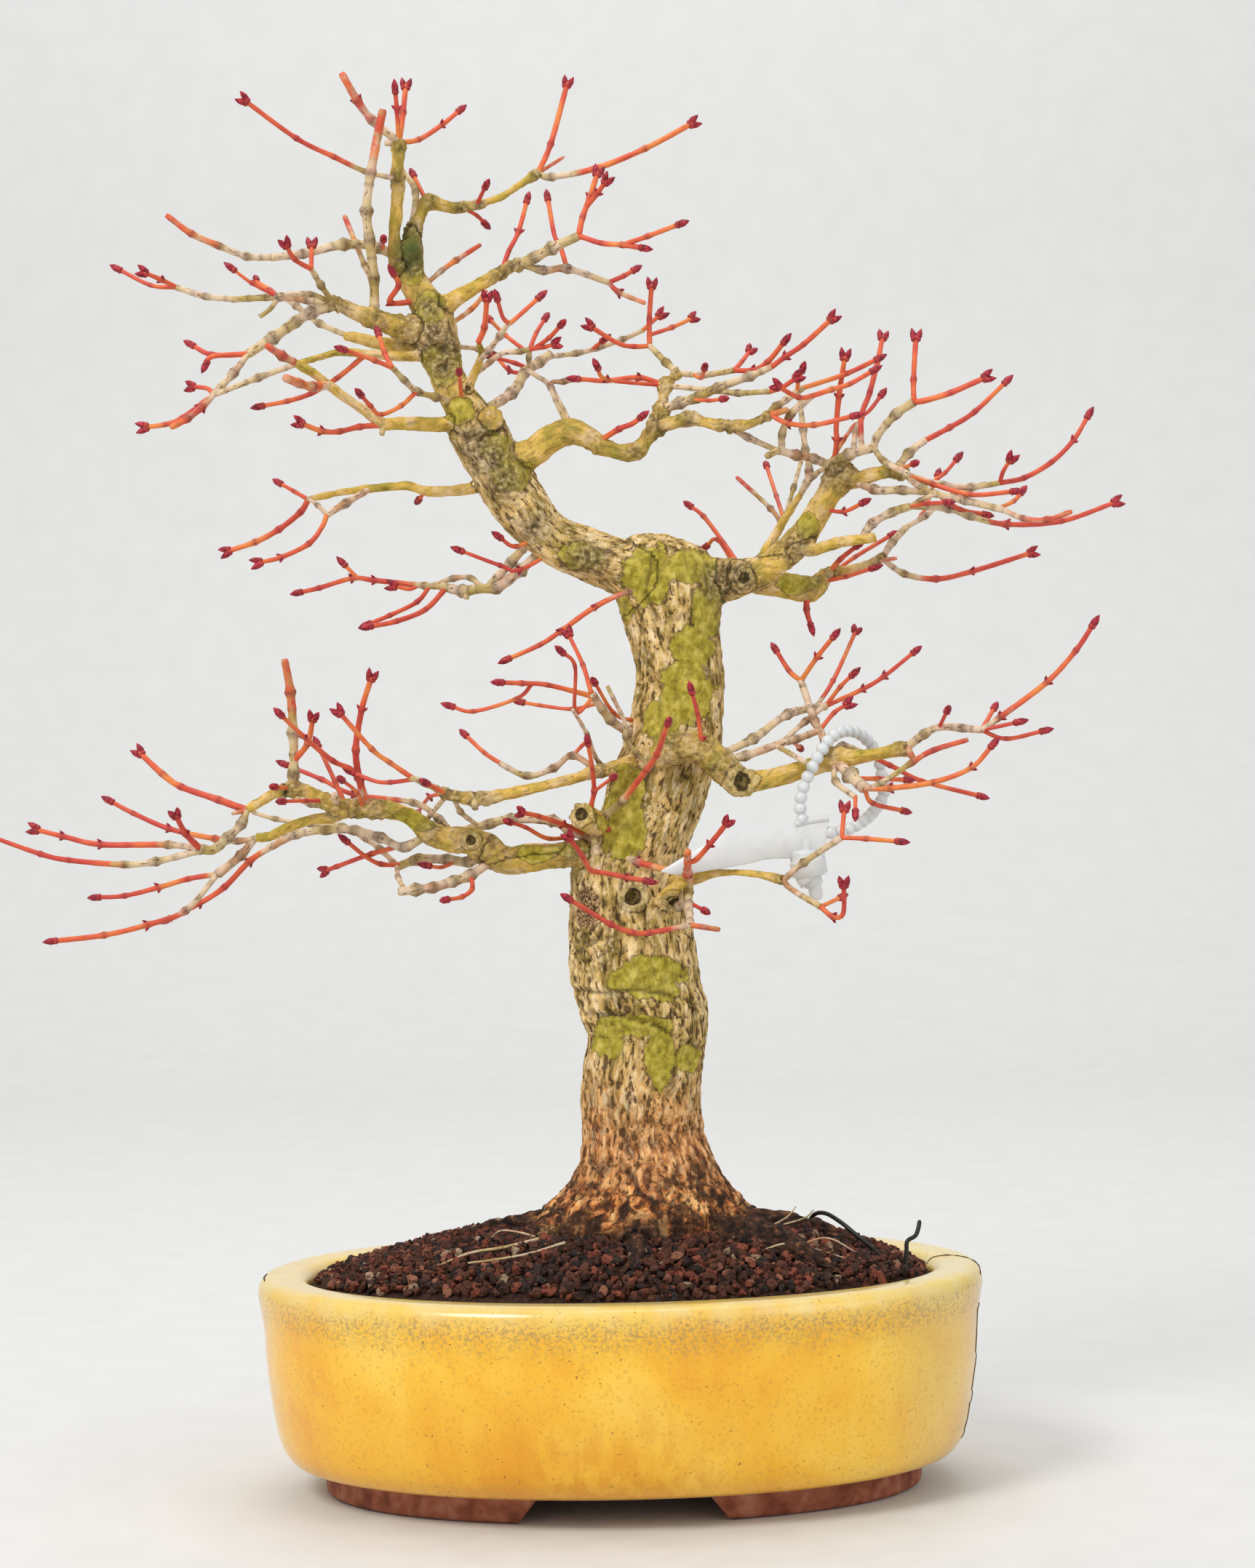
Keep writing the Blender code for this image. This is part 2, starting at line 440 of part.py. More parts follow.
    ("", "arch", 2.2, 1.7, -22, "bud", [(-7.5, 357.5), (-1, 362), (3.5, 363.8), (6.8, 366.3)]),
    (
        "", "arch_up", 2.0, 1.6, -16, "bud",
        [(14.5, 377), (6, 379.7), (-5.5, 378.6), (-12, 379), (-16, 379.3)],
    ),
    ("", "arch_up", 1.5, 1.4, -26, "bud", [(9, 378.8), (-5, 379), (-8.6, 383.6)]),
    ("", "arch", 1.6, 1.5, 0, "join", [(-20, 369), (-24.5, 376.5), (-20, 378.3), (-13, 379)]),
    ("au_left", "arch_up", 2.4, 2.2, 8, "join", [(19, 381), (15, 385), (9.5, 390.6)]),
    ("au_red", "au_left", 2.0, 1.8, 12, "pair", [(9.5, 390.5), (9.4, 400), (10.2, 411.8)]),
    ("", "au_left", 1.8, 1.6, 2, "pair", [(10, 390.3), (4, 390.4), (-1.5, 391.6), (-11.3, 397.6)]),
    ("", "au_red", 1.6, 1.5, 22, "pair", [(9.4, 395), (17, 396.9), (24.5, 400.3)]),
    ("au_out", "arch_up", 2.2, 2.0, -14, "join", [(19, 381), (28, 380.6), (38.5, 382.2)]),
    ("", "au_out", 1.7, 1.5, -4, "pair", [(38, 382), (41, 385), (44.3, 389.3)]),
    ("", "au_out", 2.0, 1.7, -24, "bud", [(38, 382), (45, 382.2), (50, 385), (56, 392.3)]),
    ("", "au_out", 1.4, 1.3, -20, "bud", [(24, 376), (27.2, 379.6), (28.4, 383.2)]),
    (
        "fan", "arch_up", 3.4, 2.2, -26, "join",
        [(14, 369), (20, 371), (26, 372.8), (33, 376.2), (44, 380.2), (51.5, 383.5)],
    ),
    ("", "fan", 1.9, 1.7, -36, "pair", [(51, 383.4), (56, 386.8), (62.5, 391.2), (72.5, 400.3)]),
    ("", "fan", 1.4, 1.3, -32, "bud", [(25, 372.5), (30, 371.8), (34.8, 372.4)]),
    ("fan_low", "arch_up", 2.0, 1.9, -30, "join", [(15.5, 376.3), (31, 375.3), (40, 374.4), (51, 375)]),
    ("", "fan_low", 1.8, 1.6, -38, "pair", [(50.5, 375), (55, 376.3), (60.5, 380)]),
    # Arch, its right end
    (
        "ar_up", "arch_right", 2.4, 2.4, -20, "join",
        [(50, 366.5), (53, 369.5), (57, 372.5), (61.8, 376)],
    ),
    ("", "ar_up", 1.8, 1.7, -14, "bud", [(61.5, 376), (77, 381), (88, 386.2)]),
    ("", "ar_up", 1.5, 1.4, -28, "bud", [(60.5, 375.5), (60.5, 378), (62, 382.6)]),
    ("", "arch_right", 2.2, 2.2, -32, "cut", [(51.5, 367), (57, 368.7)]),
    ("", "arch_right", 1.8, 1.6, -38, "bud", [(50.5, 366), (57, 364), (66, 363.4), (80, 366.6)]),
    ("", "arch_right", 2.2, 2.0, -20, "join", [(36, 362.5), (43, 359.3), (53, 354.8)]),
    # Shoulder limb
    ("sh_left", "shoulder", 3.0, 2.6, -24, "join", [(74, 350), (66, 351.8), (60, 353), (53.5, 354.6)]),
    ("", "sh_left", 2.6, 2.0, -26, "knot", [(54, 354.5), (49.5, 352.6)]),
    ("sl_up", "sh_left", 2.3, 2.4, -34, "join", [(55, 354.8), (55, 360), (58, 367), (65, 373.3)]),
    ("", "sl_up", 1.9, 1.6, -28, "bud", [(64.5, 373), (72, 375.6), (78, 377.4), (86.5, 382.2)]),
    ("", "sl_up", 1.7, 1.5, -44, "pair", [(65, 373.3), (60.5, 373), (53, 377)]),
    (
        "olive", "shoulder", 4.4, 2.6, 12, "join",
        [(44, 311.5), (50, 321), (54, 328), (57.5, 333.5), (61.5, 339.7)],
    ),
    ("", "olive", 2.2, 1.8, 22, "join", [(61, 339), (64.3, 347.5), (63, 355), (62.2, 362), (61, 373)]),
    ("", "olive", 1.9, 1.8, -2, "join", [(61.5, 339.8), (66, 346), (72, 350)]),
    ("", "olive", 1.7, 1.6, 36, "cut", [(54.5, 329), (51, 334.7), (39.5, 345.4)]),
    ("", "olive", 1.6, 1.4, 44, "bud", [(56, 331), (53, 339), (49.6, 349.5)]),
    ("", "olive", 1.6, 1.5, 30, "join", [(56, 331), (59, 342), (61.5, 351)]),
    ("", "shoulder", 1.8, 1.5, 24, "bud", [(43, 313), (35, 322.7), (28, 332), (23.2, 335.7)]),
    ("", "shoulder", 1.6, 1.4, 20, "bud", [(40, 314), (33, 323.8), (28.8, 321.5)]),
    ("", "shoulder", 5.2, 4.8, -11, "cut", [(42, 311.5), (49, 313.3), (55.5, 314.2)]),
    ("", "shoulder", 4.8, 4.4, -8.5, "cut", [(42, 311), (42.2, 311)]),
    (
        "", "shoulder", 2.0, 1.8, -16, "pair",
        [(73, 350.5), (73.8, 358), (73.6, 362.3), (74.5, 373), (76.6, 387.3)],
    ),
    ("", "shoulder", 1.6, 1.4, 2, "cut", [(71, 351), (76, 358), (80.2, 364)]),
    ("sr_arm", "shoulder", 3.0, 3.4, -24, "join", [(72, 350.8), (78, 353.3), (86.5, 355.7)]),
    ("sr_up", "sr_arm", 2.6, 3.0, -34, "join", [(86, 355.5), (88, 360), (94, 367), (100.3, 371.3)]),
    ("", "sr_up", 1.9, 1.8, -30, "pair", [(100.2, 371.2), (100.2, 379), (101, 394)]),
    ("", "sr_up", 2.2, 1.8, -42, "pair", [(100, 371.3), (104, 371.8), (113, 374.5), (125.5, 380)]),
    ("", "sr_arm", 2.0, 1.9, 0, "join", [(80, 353.5), (80.3, 361), (82.3, 366.6)]),
    (
        "sr_red", "sr_arm", 2.0, 1.8, 4, "pair",
        [(81, 361), (82.3, 366.6), (85, 374.3), (88, 386), (89.6, 394)],
    ),
    ("", "sr_red", 1.5, 1.4, -6, "bud", [(82, 366.2), (85, 368.4), (89.3, 374)]),
    ("sr_down", "sr_arm", 2.0, 2.2, -38, "join", [(86.5, 355.5), (90, 351), (98.5, 346.4)]),
    # Shoulder limb, its right end
    ("sx_up", "shoulder_right", 2.8, 2.4, -12, "join", [(94, 348), (98.5, 353.6), (104, 358)]),
    ("", "sx_up", 2.0, 1.6, -4, "bud", [(103.5, 357.7), (112.5, 362.5), (121, 367.8), (132, 378.3)]),
    ("sx_low", "shoulder_right", 2.3, 2.6, -30, "join", [(97, 346.3), (103, 341.7), (108.5, 339.5)]),
    ("sx_end", "sx_low", 2.4, 2.4, -36, "join", [(108, 339.6), (118, 337.4), (131, 334.2)]),
    ("", "sx_end", 1.9, 1.7, -48, "cut", [(130.5, 334.3), (138, 331.3), (146, 330.8), (154.5, 333.7)]),
    ("", "sx_end", 1.5, 1.4, -28, "bud", [(130, 335), (134.5, 337.2), (137.4, 340.5)]),
    (
        "sx_mid", "shoulder_right", 2.0, 2.0, -24, "join",
        [(99, 345.8), (110.5, 342.8), (120, 342), (129.8, 343.5)],
    ),
    (
        "", "sx_mid", 1.9, 1.6, -16, "bud",
        [(129.5, 343.4), (138, 345.2), (147.5, 350.6), (155, 358), (160.3, 366.8)],
    ),
    ("", "sx_mid", 1.5, 1.4, -30, "pair", [(128.8, 343.6), (131, 347.5), (133.9, 352)]),
    ("", "shoulder_right", 1.8, 1.6, -42, "bud", [(98, 346.5), (107, 343), (120, 339.5), (135, 340.6)]),
    ("", "shoulder_right", 1.5, 1.4, -34, "bud", [(95, 348), (100.5, 350.2)]),
    ("", "sx_mid", 1.4, 1.3, -16, "bud", [(107, 343.4), (111, 347), (115.3, 352)]),
    ("sx_under", "shoulder", 3.0, 2.2, -30, "join", [(80, 344.5), (87, 341.2), (96, 341), (108, 340)]),
    ("", "sx_low", 1.7, 1.5, -20, "bud", [(108, 339.5), (116, 334.5), (125, 332.6)]),
    ("", "shoulder", 1.5, 1.4, -20, "bud", [(71, 332.5), (76, 333.6), (83, 336.8)]),
    ("stub_long", "shoulder", 4.4, 4.0, -24, "cut", [(59, 318), (66, 320.6), (76, 323.3), (87, 324.7)]),
    (
        "sl_out", "stub_long", 2.8, 2.6, -26, "join",
        [(82, 324.5), (86, 329.5), (93, 333.4), (99, 335.4)],
    ),
    (
        "", "sl_out", 2.2, 1.7, -18, "pair",
        [(98.5, 335.4), (112, 334.6), (119, 332.2), (132, 329.3), (151, 330.4), (170, 337)],
    ),
    ("", "sl_out", 1.7, 1.6, -34, "join", [(98, 335.3), (103, 337.7), (108, 339.8)]),
    ("", "sl_out", 1.4, 1.4, -40, "bud", [(99, 335.8), (105, 336.4), (112, 336.8)]),
    ("", "shoulder_low", 1.6, 1.5, 30, "bud", [(72, 314.2), (80, 318), (92.6, 325.6)]),
    ("", "shoulder_low", 2.0, 1.6, 4, "bud", [(70, 313), (75, 317.2), (81, 322)]),
    ("", "shoulder_low", 1.8, 1.4, 6, "bud", [(68, 309.8), (77, 311.3), (86.5, 314.3)]),
    ("low_up", "shoulder_low", 2.4, 2.6, 22, "join", [(89.5, 318.5), (93, 323.2), (97.7, 328.3)]),
    ("", "low_up", 1.9, 1.5, 32, "join", [(97.2, 328), (104, 332), (114, 339.4), (125, 343.5)]),
    ("", "low_up", 1.5, 1.3, 44, "bud", [(97.5, 328.3), (103, 332.5), (108.5, 346.5)]),
    (
        "", "shoulder_low", 2.2, 1.7, 26, "pair",
        [(89, 317), (97, 312.3), (108, 310.5), (120, 313), (141, 319.6)],
    ),
    ("", "shoulder_low", 1.6, 1.5, 12, "cut", [(89, 316.2), (94.3, 317.6)]),
    ("", "shoulder_low", 2.6, 1.6, 8, "bud", [(64, 305), (63.4, 300), (65, 294)]),
    # Mid right limb
    (
        "mr_tip", "mid_right", 2.8, 2.4, -34, "join",
        [(98.5, 252.8), (104, 257.2), (109, 259.5), (117, 259.2), (123.5, 258.5)],
    ),
    ("", "mr_tip", 1.4, 1.3, -40, "bud", [(109, 259.3), (111.8, 265.3)]),
    ("", "mr_tip", 1.6, 1.5, -24, "bud", [(122.8, 258.6), (128, 266.3)]),
    (
        "", "mr_tip", 2.1, 1.7, -44, "bud",
        [(122.8, 258.6), (130, 263), (146, 275), (156, 286), (162, 295)],
    ),
    ("", "mr_tip", 1.5, 1.4, -38, "bud", [(123, 258.4), (136.3, 261.3)]),
    ("", "mr_tip", 1.6, 1.4, -30, "bud", [(122.5, 257.5), (132, 255.6), (145, 258.3)]),
    ("", "mid_right", 2.4, 2.2, -30, "cut", [(98.5, 252), (100, 248.6)]),
    (
        "mr_up", "mid_right", 2.8, 2.4, -4, "join",
        [(72.5, 250), (70, 254), (68, 258.5), (66, 262), (61.5, 275.5)],
    ),
    ("", "mr_up", 1.8, 1.6, 6, "bud", [(61.5, 275), (57.5, 278.8), (52.7, 286.3)]),
    ("", "mr_up", 1.8, 1.6, -14, "bud", [(61.6, 275.2), (67, 283.5), (73, 291)]),
    (
        "mr_left", "mr_up", 2.4, 3.0, -20, "join",
        [(67.5, 257.5), (60, 255.5), (54.5, 254), (42, 249.6), (33, 248.5)],
    ),
    ("", "mr_up", 1.6, 1.4, -12, "pair", [(69, 259.6), (73, 264.6), (78, 267.6)]),
    ("", "mr_left", 1.8, 1.7, -30, "join", [(54, 252.5), (63, 247.5)]),
    ("mr_over", "mid_right", 2.6, 3.0, -2, "join", [(33, 250), (45, 255.5), (57, 264), (70, 266.8)]),
    ("", "mr_left", 1.8, 1.8, -6, "join", [(54.5, 254), (63, 261.5), (69, 266.3)]),
    ("", "mr_over", 1.8, 1.5, 12, "bud", [(69.5, 266.8), (82.5, 272.5), (90, 277), (100.6, 285.5)]),
    ("", "mr_over", 1.6, 1.4, -8, "bud", [(69.5, 267), (75, 273.4), (79.5, 277.8)]),
    ("", "mr_over", 1.6, 1.5, 34, "pair", [(66, 266.3), (72.5, 275.5), (80.5, 293)]),
    ("", "mid_right", 1.8, 1.4, -32, "bud", [(31.5, 249), (27.5, 255), (26, 264), (23.8, 272.3)]),
    ("mr_down", "mid_right", 3.6, 4.0, -30, "join", [(73.5, 247), (78.5, 243), (83.3, 238.5)]),
    (
        "", "mr_down", 2.1, 1.7, -38, "bud",
        [(83, 238.6), (92, 238.6), (107, 240.6), (120, 245.6), (127.4, 253.5)],
    ),
    ("", "mr_down", 1.7, 1.5, -18, "bud", [(82.5, 237.5), (86, 233.5), (97, 230.7)]),
    (
        "", "mr_down", 2.0, 1.8, -34, "cut",
        [(84, 236.5), (88.5, 240), (100, 247.6), (107, 251.6), (119, 255.3)],
    ),
    ("mr_drop", "mid_right", 2.0, 1.8, -36, "join", [(73, 246.5), (73.5, 240.8), (80.2, 235.4)]),
    ("", "mr_drop", 1.5, 1.4, -40, "bud", [(79.8, 235.8), (80.2, 230)]),
    (
        "", "mid_right", 1.7, 1.6, 2, "bud",
        [(73, 250), (76, 253.4), (92, 246.5), (103, 241), (123.2, 235.8)],
    ),
    ("", "mr_down", 1.7, 1.5, -14, "bud", [(80, 241.5), (88, 241.8), (98, 241.4)]),
    ("", "mr_left", 1.4, 1.3, 0, "bud", [(58, 254.8), (61.3, 252.2)]),
    # Low right branch
    ("lr_up", "low_right", 2.0, 2.2, -44, "join", [(55, 207.2), (62.5, 213), (75.5, 221.6)]),
    ("", "lr_up", 1.7, 1.6, -40, "pair", [(75, 221.4), (76.4, 232)]),
    ("", "lr_up", 1.7, 1.5, -52, "bud", [(75, 221.4), (84, 221.2), (95.5, 220.2)]),
    ("lr_down", "low_right", 2.0, 2.2, -44, "join", [(55.5, 206.8), (58, 204), (68.2, 197.8)]),
    ("", "lr_down", 1.5, 1.4, -36, "bud", [(68, 197.8), (75.5, 201.2)]),
    ("", "lr_down", 1.8, 1.7, -54, "pair", [(68, 197.8), (72.5, 194.4), (76, 195.5), (76.2, 206)]),
    # Crown: end of the leader
    ("", "leader", 2.6, 1.8, 12, "join", [(-67, 441), (-71, 443.5), (-75.5, 450.5), (-77, 452)]),
    ("", "crown_right", 1.6, 1.5, 16, "bud", [(-69, 441), (-71.8, 449.5)]),
    ("", "crown_right", 1.5, 1.4, 6, "bud", [(-50, 439), (-46.8, 445.6)]),
    ("", "crown_right", 1.5, 1.4, 22, "bud", [(-55, 438), (-50, 435.5), (-47, 432.5)]),
    ("", "crown_right", 2.1, 1.9, 24, "pair", [(-28.6, 450), (-24.5, 460), (-18.8, 481)]),
    (
        "", "crown_right", 2.3, 1.9, 10, "pair",
        [(-29.3, 449.8), (-24.5, 448.6), (-9, 451.6), (8, 458.5), (24.5, 467.3)],
    ),
    ("", "crown_right", 1.5, 1.2, 28, "cut", [(-28, 449.8), (-20, 455.5)]),
    ("", "apex", 2.9, 2.6, -14, "cut", [(-76.6, 460.8), (-86, 468.3), (-91, 475), (-96.5, 484.5)]),
    ("", "apex", 2.1, 1.9, 0, "pair", [(-76, 461), (-75.2, 471), (-74.3, 480.3)]),
    ("", "apex", 1.8, 1.6, -12, "bud", [(-77, 461), (-77.4, 472), (-78, 478.8)]),
    ("", "apex", 1.9, 1.6, 8, "bud", [(-76, 460.3), (-70, 461.5), (-62, 466.5), (-55.7, 471.6)]),
    ("", "apex", 2.8, 2.0, -6, "knot", [(-77, 460), (-81.5, 460.3)]),
    (
        "", "apex", 1.9, 1.6, -30, "pair",
        [(-77.3, 447.6), (-88, 450.5), (-99, 455.6), (-112, 462), (-130, 475.2)],
    ),
    # Crown: right side
    (
        "tr_main", "top_right", 3.6, 3.0, -16, "join",
        [(-36.4, 417.8), (-30, 421), (-24.3, 424), (-14.9, 428.4)],
    ),
    (
        "tr_up", "tr_main", 2.2, 1.9, -12, "pair",
        [(-15, 428.4), (-13.6, 434.7), (-11, 441.9), (-8.3, 450.4)],
    ),
    ("", "tr_up", 1.8, 1.7, -20, "pair", [(-12.3, 438), (-8.5, 443), (-5.2, 447.6)]),
    (
        "tr_right", "tr_main", 2.0, 1.8, -26, "bud",
        [(-15, 427.8), (-7, 425.9), (0.1, 425.3), (7.4, 424.2)],
    ),
    ("", "tr_right", 1.8, 1.6, -34, "bud", [(0.1, 425.4), (8.9, 428.3), (20, 432.5)]),
    (
        "tr_low", "top_right", 2.6, 2.2, -4, "join",
        [(-35, 417), (-27, 416.6), (-18.8, 417.1), (-4.6, 412.4)],
    ),
    ("", "tr_low", 1.8, 1.6, 2, "bud", [(-4.8, 412.6), (0.5, 414.6), (4.4, 416.8)]),
    ("", "tr_low", 1.8, 1.7, -8, "cut", [(-4.8, 412.4), (-1, 409), (8, 405.2)]),
    ("", "tr_low", 1.8, 1.6, 6, "bud", [(-18.8, 417), (-21.4, 425.3), (-23.3, 428.8), (-25.6, 441.6)]),
    ("", "top_right", 1.8, 1.6, 4, "bud", [(-42.3, 416), (-39, 423), (-35.6, 429.8), (-32.6, 440.8)]),
    # Crown: left side
    (
        "tl_rod", "top_left", 3.4, 2.9, -18, "cut",
        [(-84, 401), (-85.3, 414), (-86.8, 427), (-87.8, 437), (-86.3, 450), (-82.2, 472)],
    ),
    ("", "tl_rod", 1.9, 1.8, 8, "cut", [(-85, 411), (-88.3, 418), (-95.4, 435.3)]),
    (
        "tl_high", "leader", 3.4, 2.6, -14, "join",
        [(-76, 419), (-84, 424.3), (-95.5, 425.4), (-110, 422.2), (-120.8, 421)],
    ),
    (
        "", "tl_high", 2.4, 2.0, -26, "cut",
        [(-120.5, 421), (-129, 421.4), (-138.5, 425), (-148, 429.2), (-156.7, 435.6)],
    ),
    ("", "tl_high", 1.3, 1.2, -10, "bud", [(-82.5, 423.3), (-82, 427.3)]),
    (
        "tl_low", "top_left", 3.6, 3.2, -14, "join",
        [(-97, 404.5), (-106.5, 402.3), (-112, 399), (-120, 393.3), (-128.5, 387.8)],
    ),
    ("", "tl_low", 2.1, 1.7, -6, "bud", [(-128.3, 387.8), (-141, 387.6), (-148, 391)]),
    ("", "tl_low", 2.0, 1.8, -20, "bud", [(-138, 387.7), (-140.6, 387), (-143, 384.2)]),
    ("tl_fork", "tl_low", 2.2, 2.6, -24, "join", [(-128.3, 387.8), (-133.5, 381.3), (-140.3, 374)]),
    ("", "tl_fork", 1.7, 1.5, -18, "pair", [(-140, 374.2), (-142.6, 376), (-148.3, 376.6)]),
    (
        "", "tl_fork", 2.3, 2.2, -34, "cut",
        [(-139.8, 374.3), (-144.5, 369.5), (-149.5, 365.6), (-155, 362.6)],
    ),
    (
        "", "tl_fork", 1.7, 1.6, -26, "pair",
        [(-144, 370.2), (-151, 366), (-157, 363.6), (-164.5, 362.6)],
    ),
    (
        "tl_mid", "top_left", 2.5, 2.2, 8, "join",
        [(-98, 404.8), (-108, 406.3), (-118, 407.3), (-134, 406.5)],
    ),
    ("tl_end", "tl_mid", 2.1, 2.2, 14, "join", [(-133, 406.6), (-143, 407.6), (-153, 410.7)]),
    ("", "tl_end", 1.7, 1.5, 20, "bud", [(-152, 410.5), (-162, 411.5), (-173.2, 417)]),
    ("", "tl_end", 1.7, 1.6, 6, "pair", [(-152.5, 410.6), (-158, 413.2), (-164.7, 416)]),
    ("", "tl_mid", 1.8, 1.6, 18, "pair", [(-117.5, 407.3), (-121, 409.8), (-126.3, 413)]),
    ("", "tl_mid", 1.3, 1.2, -2, "bud", [(-118.5, 407.3), (-127, 412), (-134, 417.2)]),
    ("", "tl_mid", 1.8, 1.6, 0, "knot", [(-117.8, 407.2), (-121, 403.2), (-124.6, 400.6)]),
    ("", "top_left", 1.8, 1.7, -22, "join", [(-100, 406), (-107, 408.3), (-118, 408.2)]),
    ("tl_spur", "top_left", 1.9, 2.0, -26, "join", [(-99.5, 406), (-103.5, 411.5), (-106.8, 417)]),
    ("", "tl_spur", 1.6, 1.5, -22, "pair", [(-106.6, 416.6), (-106.6, 425.8)]),
    ("", "tl_spur", 1.7, 1.6, -36, "pair", [(-106.4, 417), (-112.5, 420.4), (-115.7, 425.8)]),
    (
        "grey_stub", "leader", 6.0, 4.0, 14, "knot",
        [(-66, 389), (-80, 391), (-88, 392.6), (-95.5, 394.2)],
    ),
    ("", "grey_stub", 2.1, 1.8, 24, "join", [(-93, 393.8), (-104, 398.3), (-112, 404.3), (-116, 407)]),
    (
        "grey_low", "leader", 4.4, 2.4, -18, "join",
        [(-66, 386.5), (-78, 387), (-86, 387.7), (-97, 388.4), (-103, 387), (-112, 384.4)],
    ),
    ("", "grey_low", 2.0, 1.9, -24, "join", [(-111, 384.6), (-125, 379.7), (-139.5, 374)]),
    (
        "", "grey_low", 1.9, 1.5, -8, "bud",
        [(-88, 387.4), (-98, 379.5), (-107, 374.2), (-115, 371.6), (-124.3, 369.8)],
    ),
    (
        "", "leader", 2.2, 1.8, -12, "bud",
        [(-80.5, 399), (-79.6, 405.5), (-76.8, 411.5), (-78.8, 415.8)],
    ),
]

# Surface roots, laid on the soil: points across, back, thickness; lift is the share of the
# thickness by which the middle stands over the soil.
ROOTS = [
    (0.15, [(26, -1, 15), (42, -4, 12), (56, -6, 9.5), (68, -7, 7), (79, -7, 4.6), (90, -5, 2.4)]),
    (0.05, [(26, -14, 15), (42, -24, 14), (54, -31, 11), (64, -37, 7), (73, -42, 3.6)]),
    (0.10, [(-12, 3, 13), (-30, 6, 9), (-44, 9, 6), (-56, 12, 3.4)]),
    (0.20, [(-2, -28, 4.0), (-12, -35, 2.8), (-28, -41, 2.2), (-44, -45, 1.6)]),
    (0.00, [(2, -24, 9), (7, -39, 6), (5, -49, 3.6), (0, -57, 2.0)]),
    (0.10, [(8, 22, 13), (15, 38, 8), (20, 49, 5), (22, 57, 2.6)]),
    (0.10, [(-6, 16, 12), (-24, 30, 7), (-38, 38, 4), (-48, 42, 2.2)]),
    (0.10, [(26, 14, 11), (44, 25, 7), (57, 33, 4.4), (68, 38, 2.4)]),
]

# Anchor wire: across, back and up. It crosses the right root and dips under the soil once.
WIRE_THICK = 1.5
WIRE_SIDES = 6
WIRE = [
    (64, 28, 63), (64, 21, 72), (65, 14, 83), (67, 7, 89.4), (70.5, 0, 91.2), (75, -7, 89.4),
    (81, -12, 84.8), (87, -15, 79.8), (91, -17, 75.0), (93.8, -18, 71.4), (96, -18.2, 73.4),
    (97, -17.6, 80), (97.4, -17, 83.4), (100.2, -16, 85.0), (101.4, -15, 87.4), (102, -14, 90.0),
]

# Label: the strap's loop as seen, with depth, from the plate's right end round the limb.
BEAD_PITCH = 3.7
BEAD_THICK = 4.4
BEAD_NECK = 2.0
STRAP = [
    (62.4, 226, -25.4), (61.2, 232, -25), (61.8, 237, -24.8), (63.6, 242, -24.3), (66, 247, -23.4),
    (68.4, 251.3, -22), (71.5, 255.6, -19), (76, 258.2, -14), (81, 257.6, -8.5), (85.2, 254, -3.5),
    (88, 249.4, -0.5), (89.2, 243, 0.5), (90, 237, -3), (87.6, 232, -8), (83.5, 227.7, -15),
    (77.5, 224.4, -21.5), (70, 223, -25.4),
]
PLATE_THICK = 1.4
PLATE_TOP = [(13.4, 210.2), (21, 214.9), (29, 219.6), (37, 223.6), (48, 225.3), (59, 226.7), (71, 228)]
PLATE_BOTTOM = [
    (13.4, 209.6), (20, 208.6), (28, 209.9), (36, 211.2), (44, 212.7), (52, 214.3), (69.5, 214.2),
]
PLATE_DEPTH = [-26.6, -26.6, -26.6, -26.6, -26.2, -25.8, -25.4]
LOCK = [
    (63, 222, 2.5), (63.2, 216.5, 5.6), (63.8, 213.5, 6.2), (64.8, 207.8, 5.0), (65.2, 207.4, 3.4),
    (66.2, 204.6, 2.4), (67, 200, 1.5),
]
LOCK_SET_BACK = 1.8


def seen(across, up, depth):
    """The place, in metres, of a point seen at (across, up) mm from the front and lying at depth mm."""
    du, dv = across - SIGHT_MIDDLE, up - EYE_HEIGHT
    upright_u = du * math.cos(VIEW_TILT) + dv * math.sin(VIEW_TILT)
    upright_v = dv * math.cos(VIEW_TILT) - du * math.sin(VIEW_TILT)
    reach = (EYE_DISTANCE + depth) / EYE_DISTANCE
    return Vector((EYE_SIDE + upright_u * reach, depth, EYE_HEIGHT + upright_v * reach)) * MM


def oval(half_length, half_width, angle, power=OVAL_POWER):
    """The point of an oval, a little fuller than an ellipse, at this angle."""
    c, s = math.cos(angle), math.sin(angle)
    return (
        half_length * math.copysign(abs(c) ** (2 / power), c),
        half_width * math.copysign(abs(s) ** (2 / power), s),
    )


def base_outline(angle, grow=0.0):
    """The tree's base where it enters the soil, lobed by its roots."""
    lobes = 1 + 0.05 * math.cos(5 * angle + 0.8) + 0.03 * math.cos(3 * angle - 0.5)
    return (
        BASE_X + (BASE_HALF_LENGTH * lobes + grow) * math.cos(angle),
        (BASE_HALF_WIDTH * lobes + grow) * math.sin(angle),
    )


def soil_height(x, y):
    """The soil's surface in mm, without its grains: a mound round the tree, higher on the right."""
    angle = math.atan2(y / BASE_HALF_WIDTH, (x - BASE_X) / BASE_HALF_LENGTH)
    near = math.hypot(*(Vector(base_outline(angle)) - Vector((BASE_X, 0))))
    edge_x, edge_y = oval(POT_LENGTH / 2 - LIP_WIDTH, POT_WIDTH / 2 - LIP_WIDTH, angle)
    far = math.hypot(edge_x - BASE_X, edge_y)
    share = min(max((math.hypot(x - BASE_X, y) - near) / (far - near), 0.0), 1.0)
    mound = SOIL_EDGE + (SOIL_TOP - SOIL_EDGE) * (1 - share**1.6)
    swell = 2.2 * math.exp(-(((x - 62) / 13) ** 2) - ((y + 2) / 20) ** 2)
    return mound + swell * min(1.0, 3 * share)


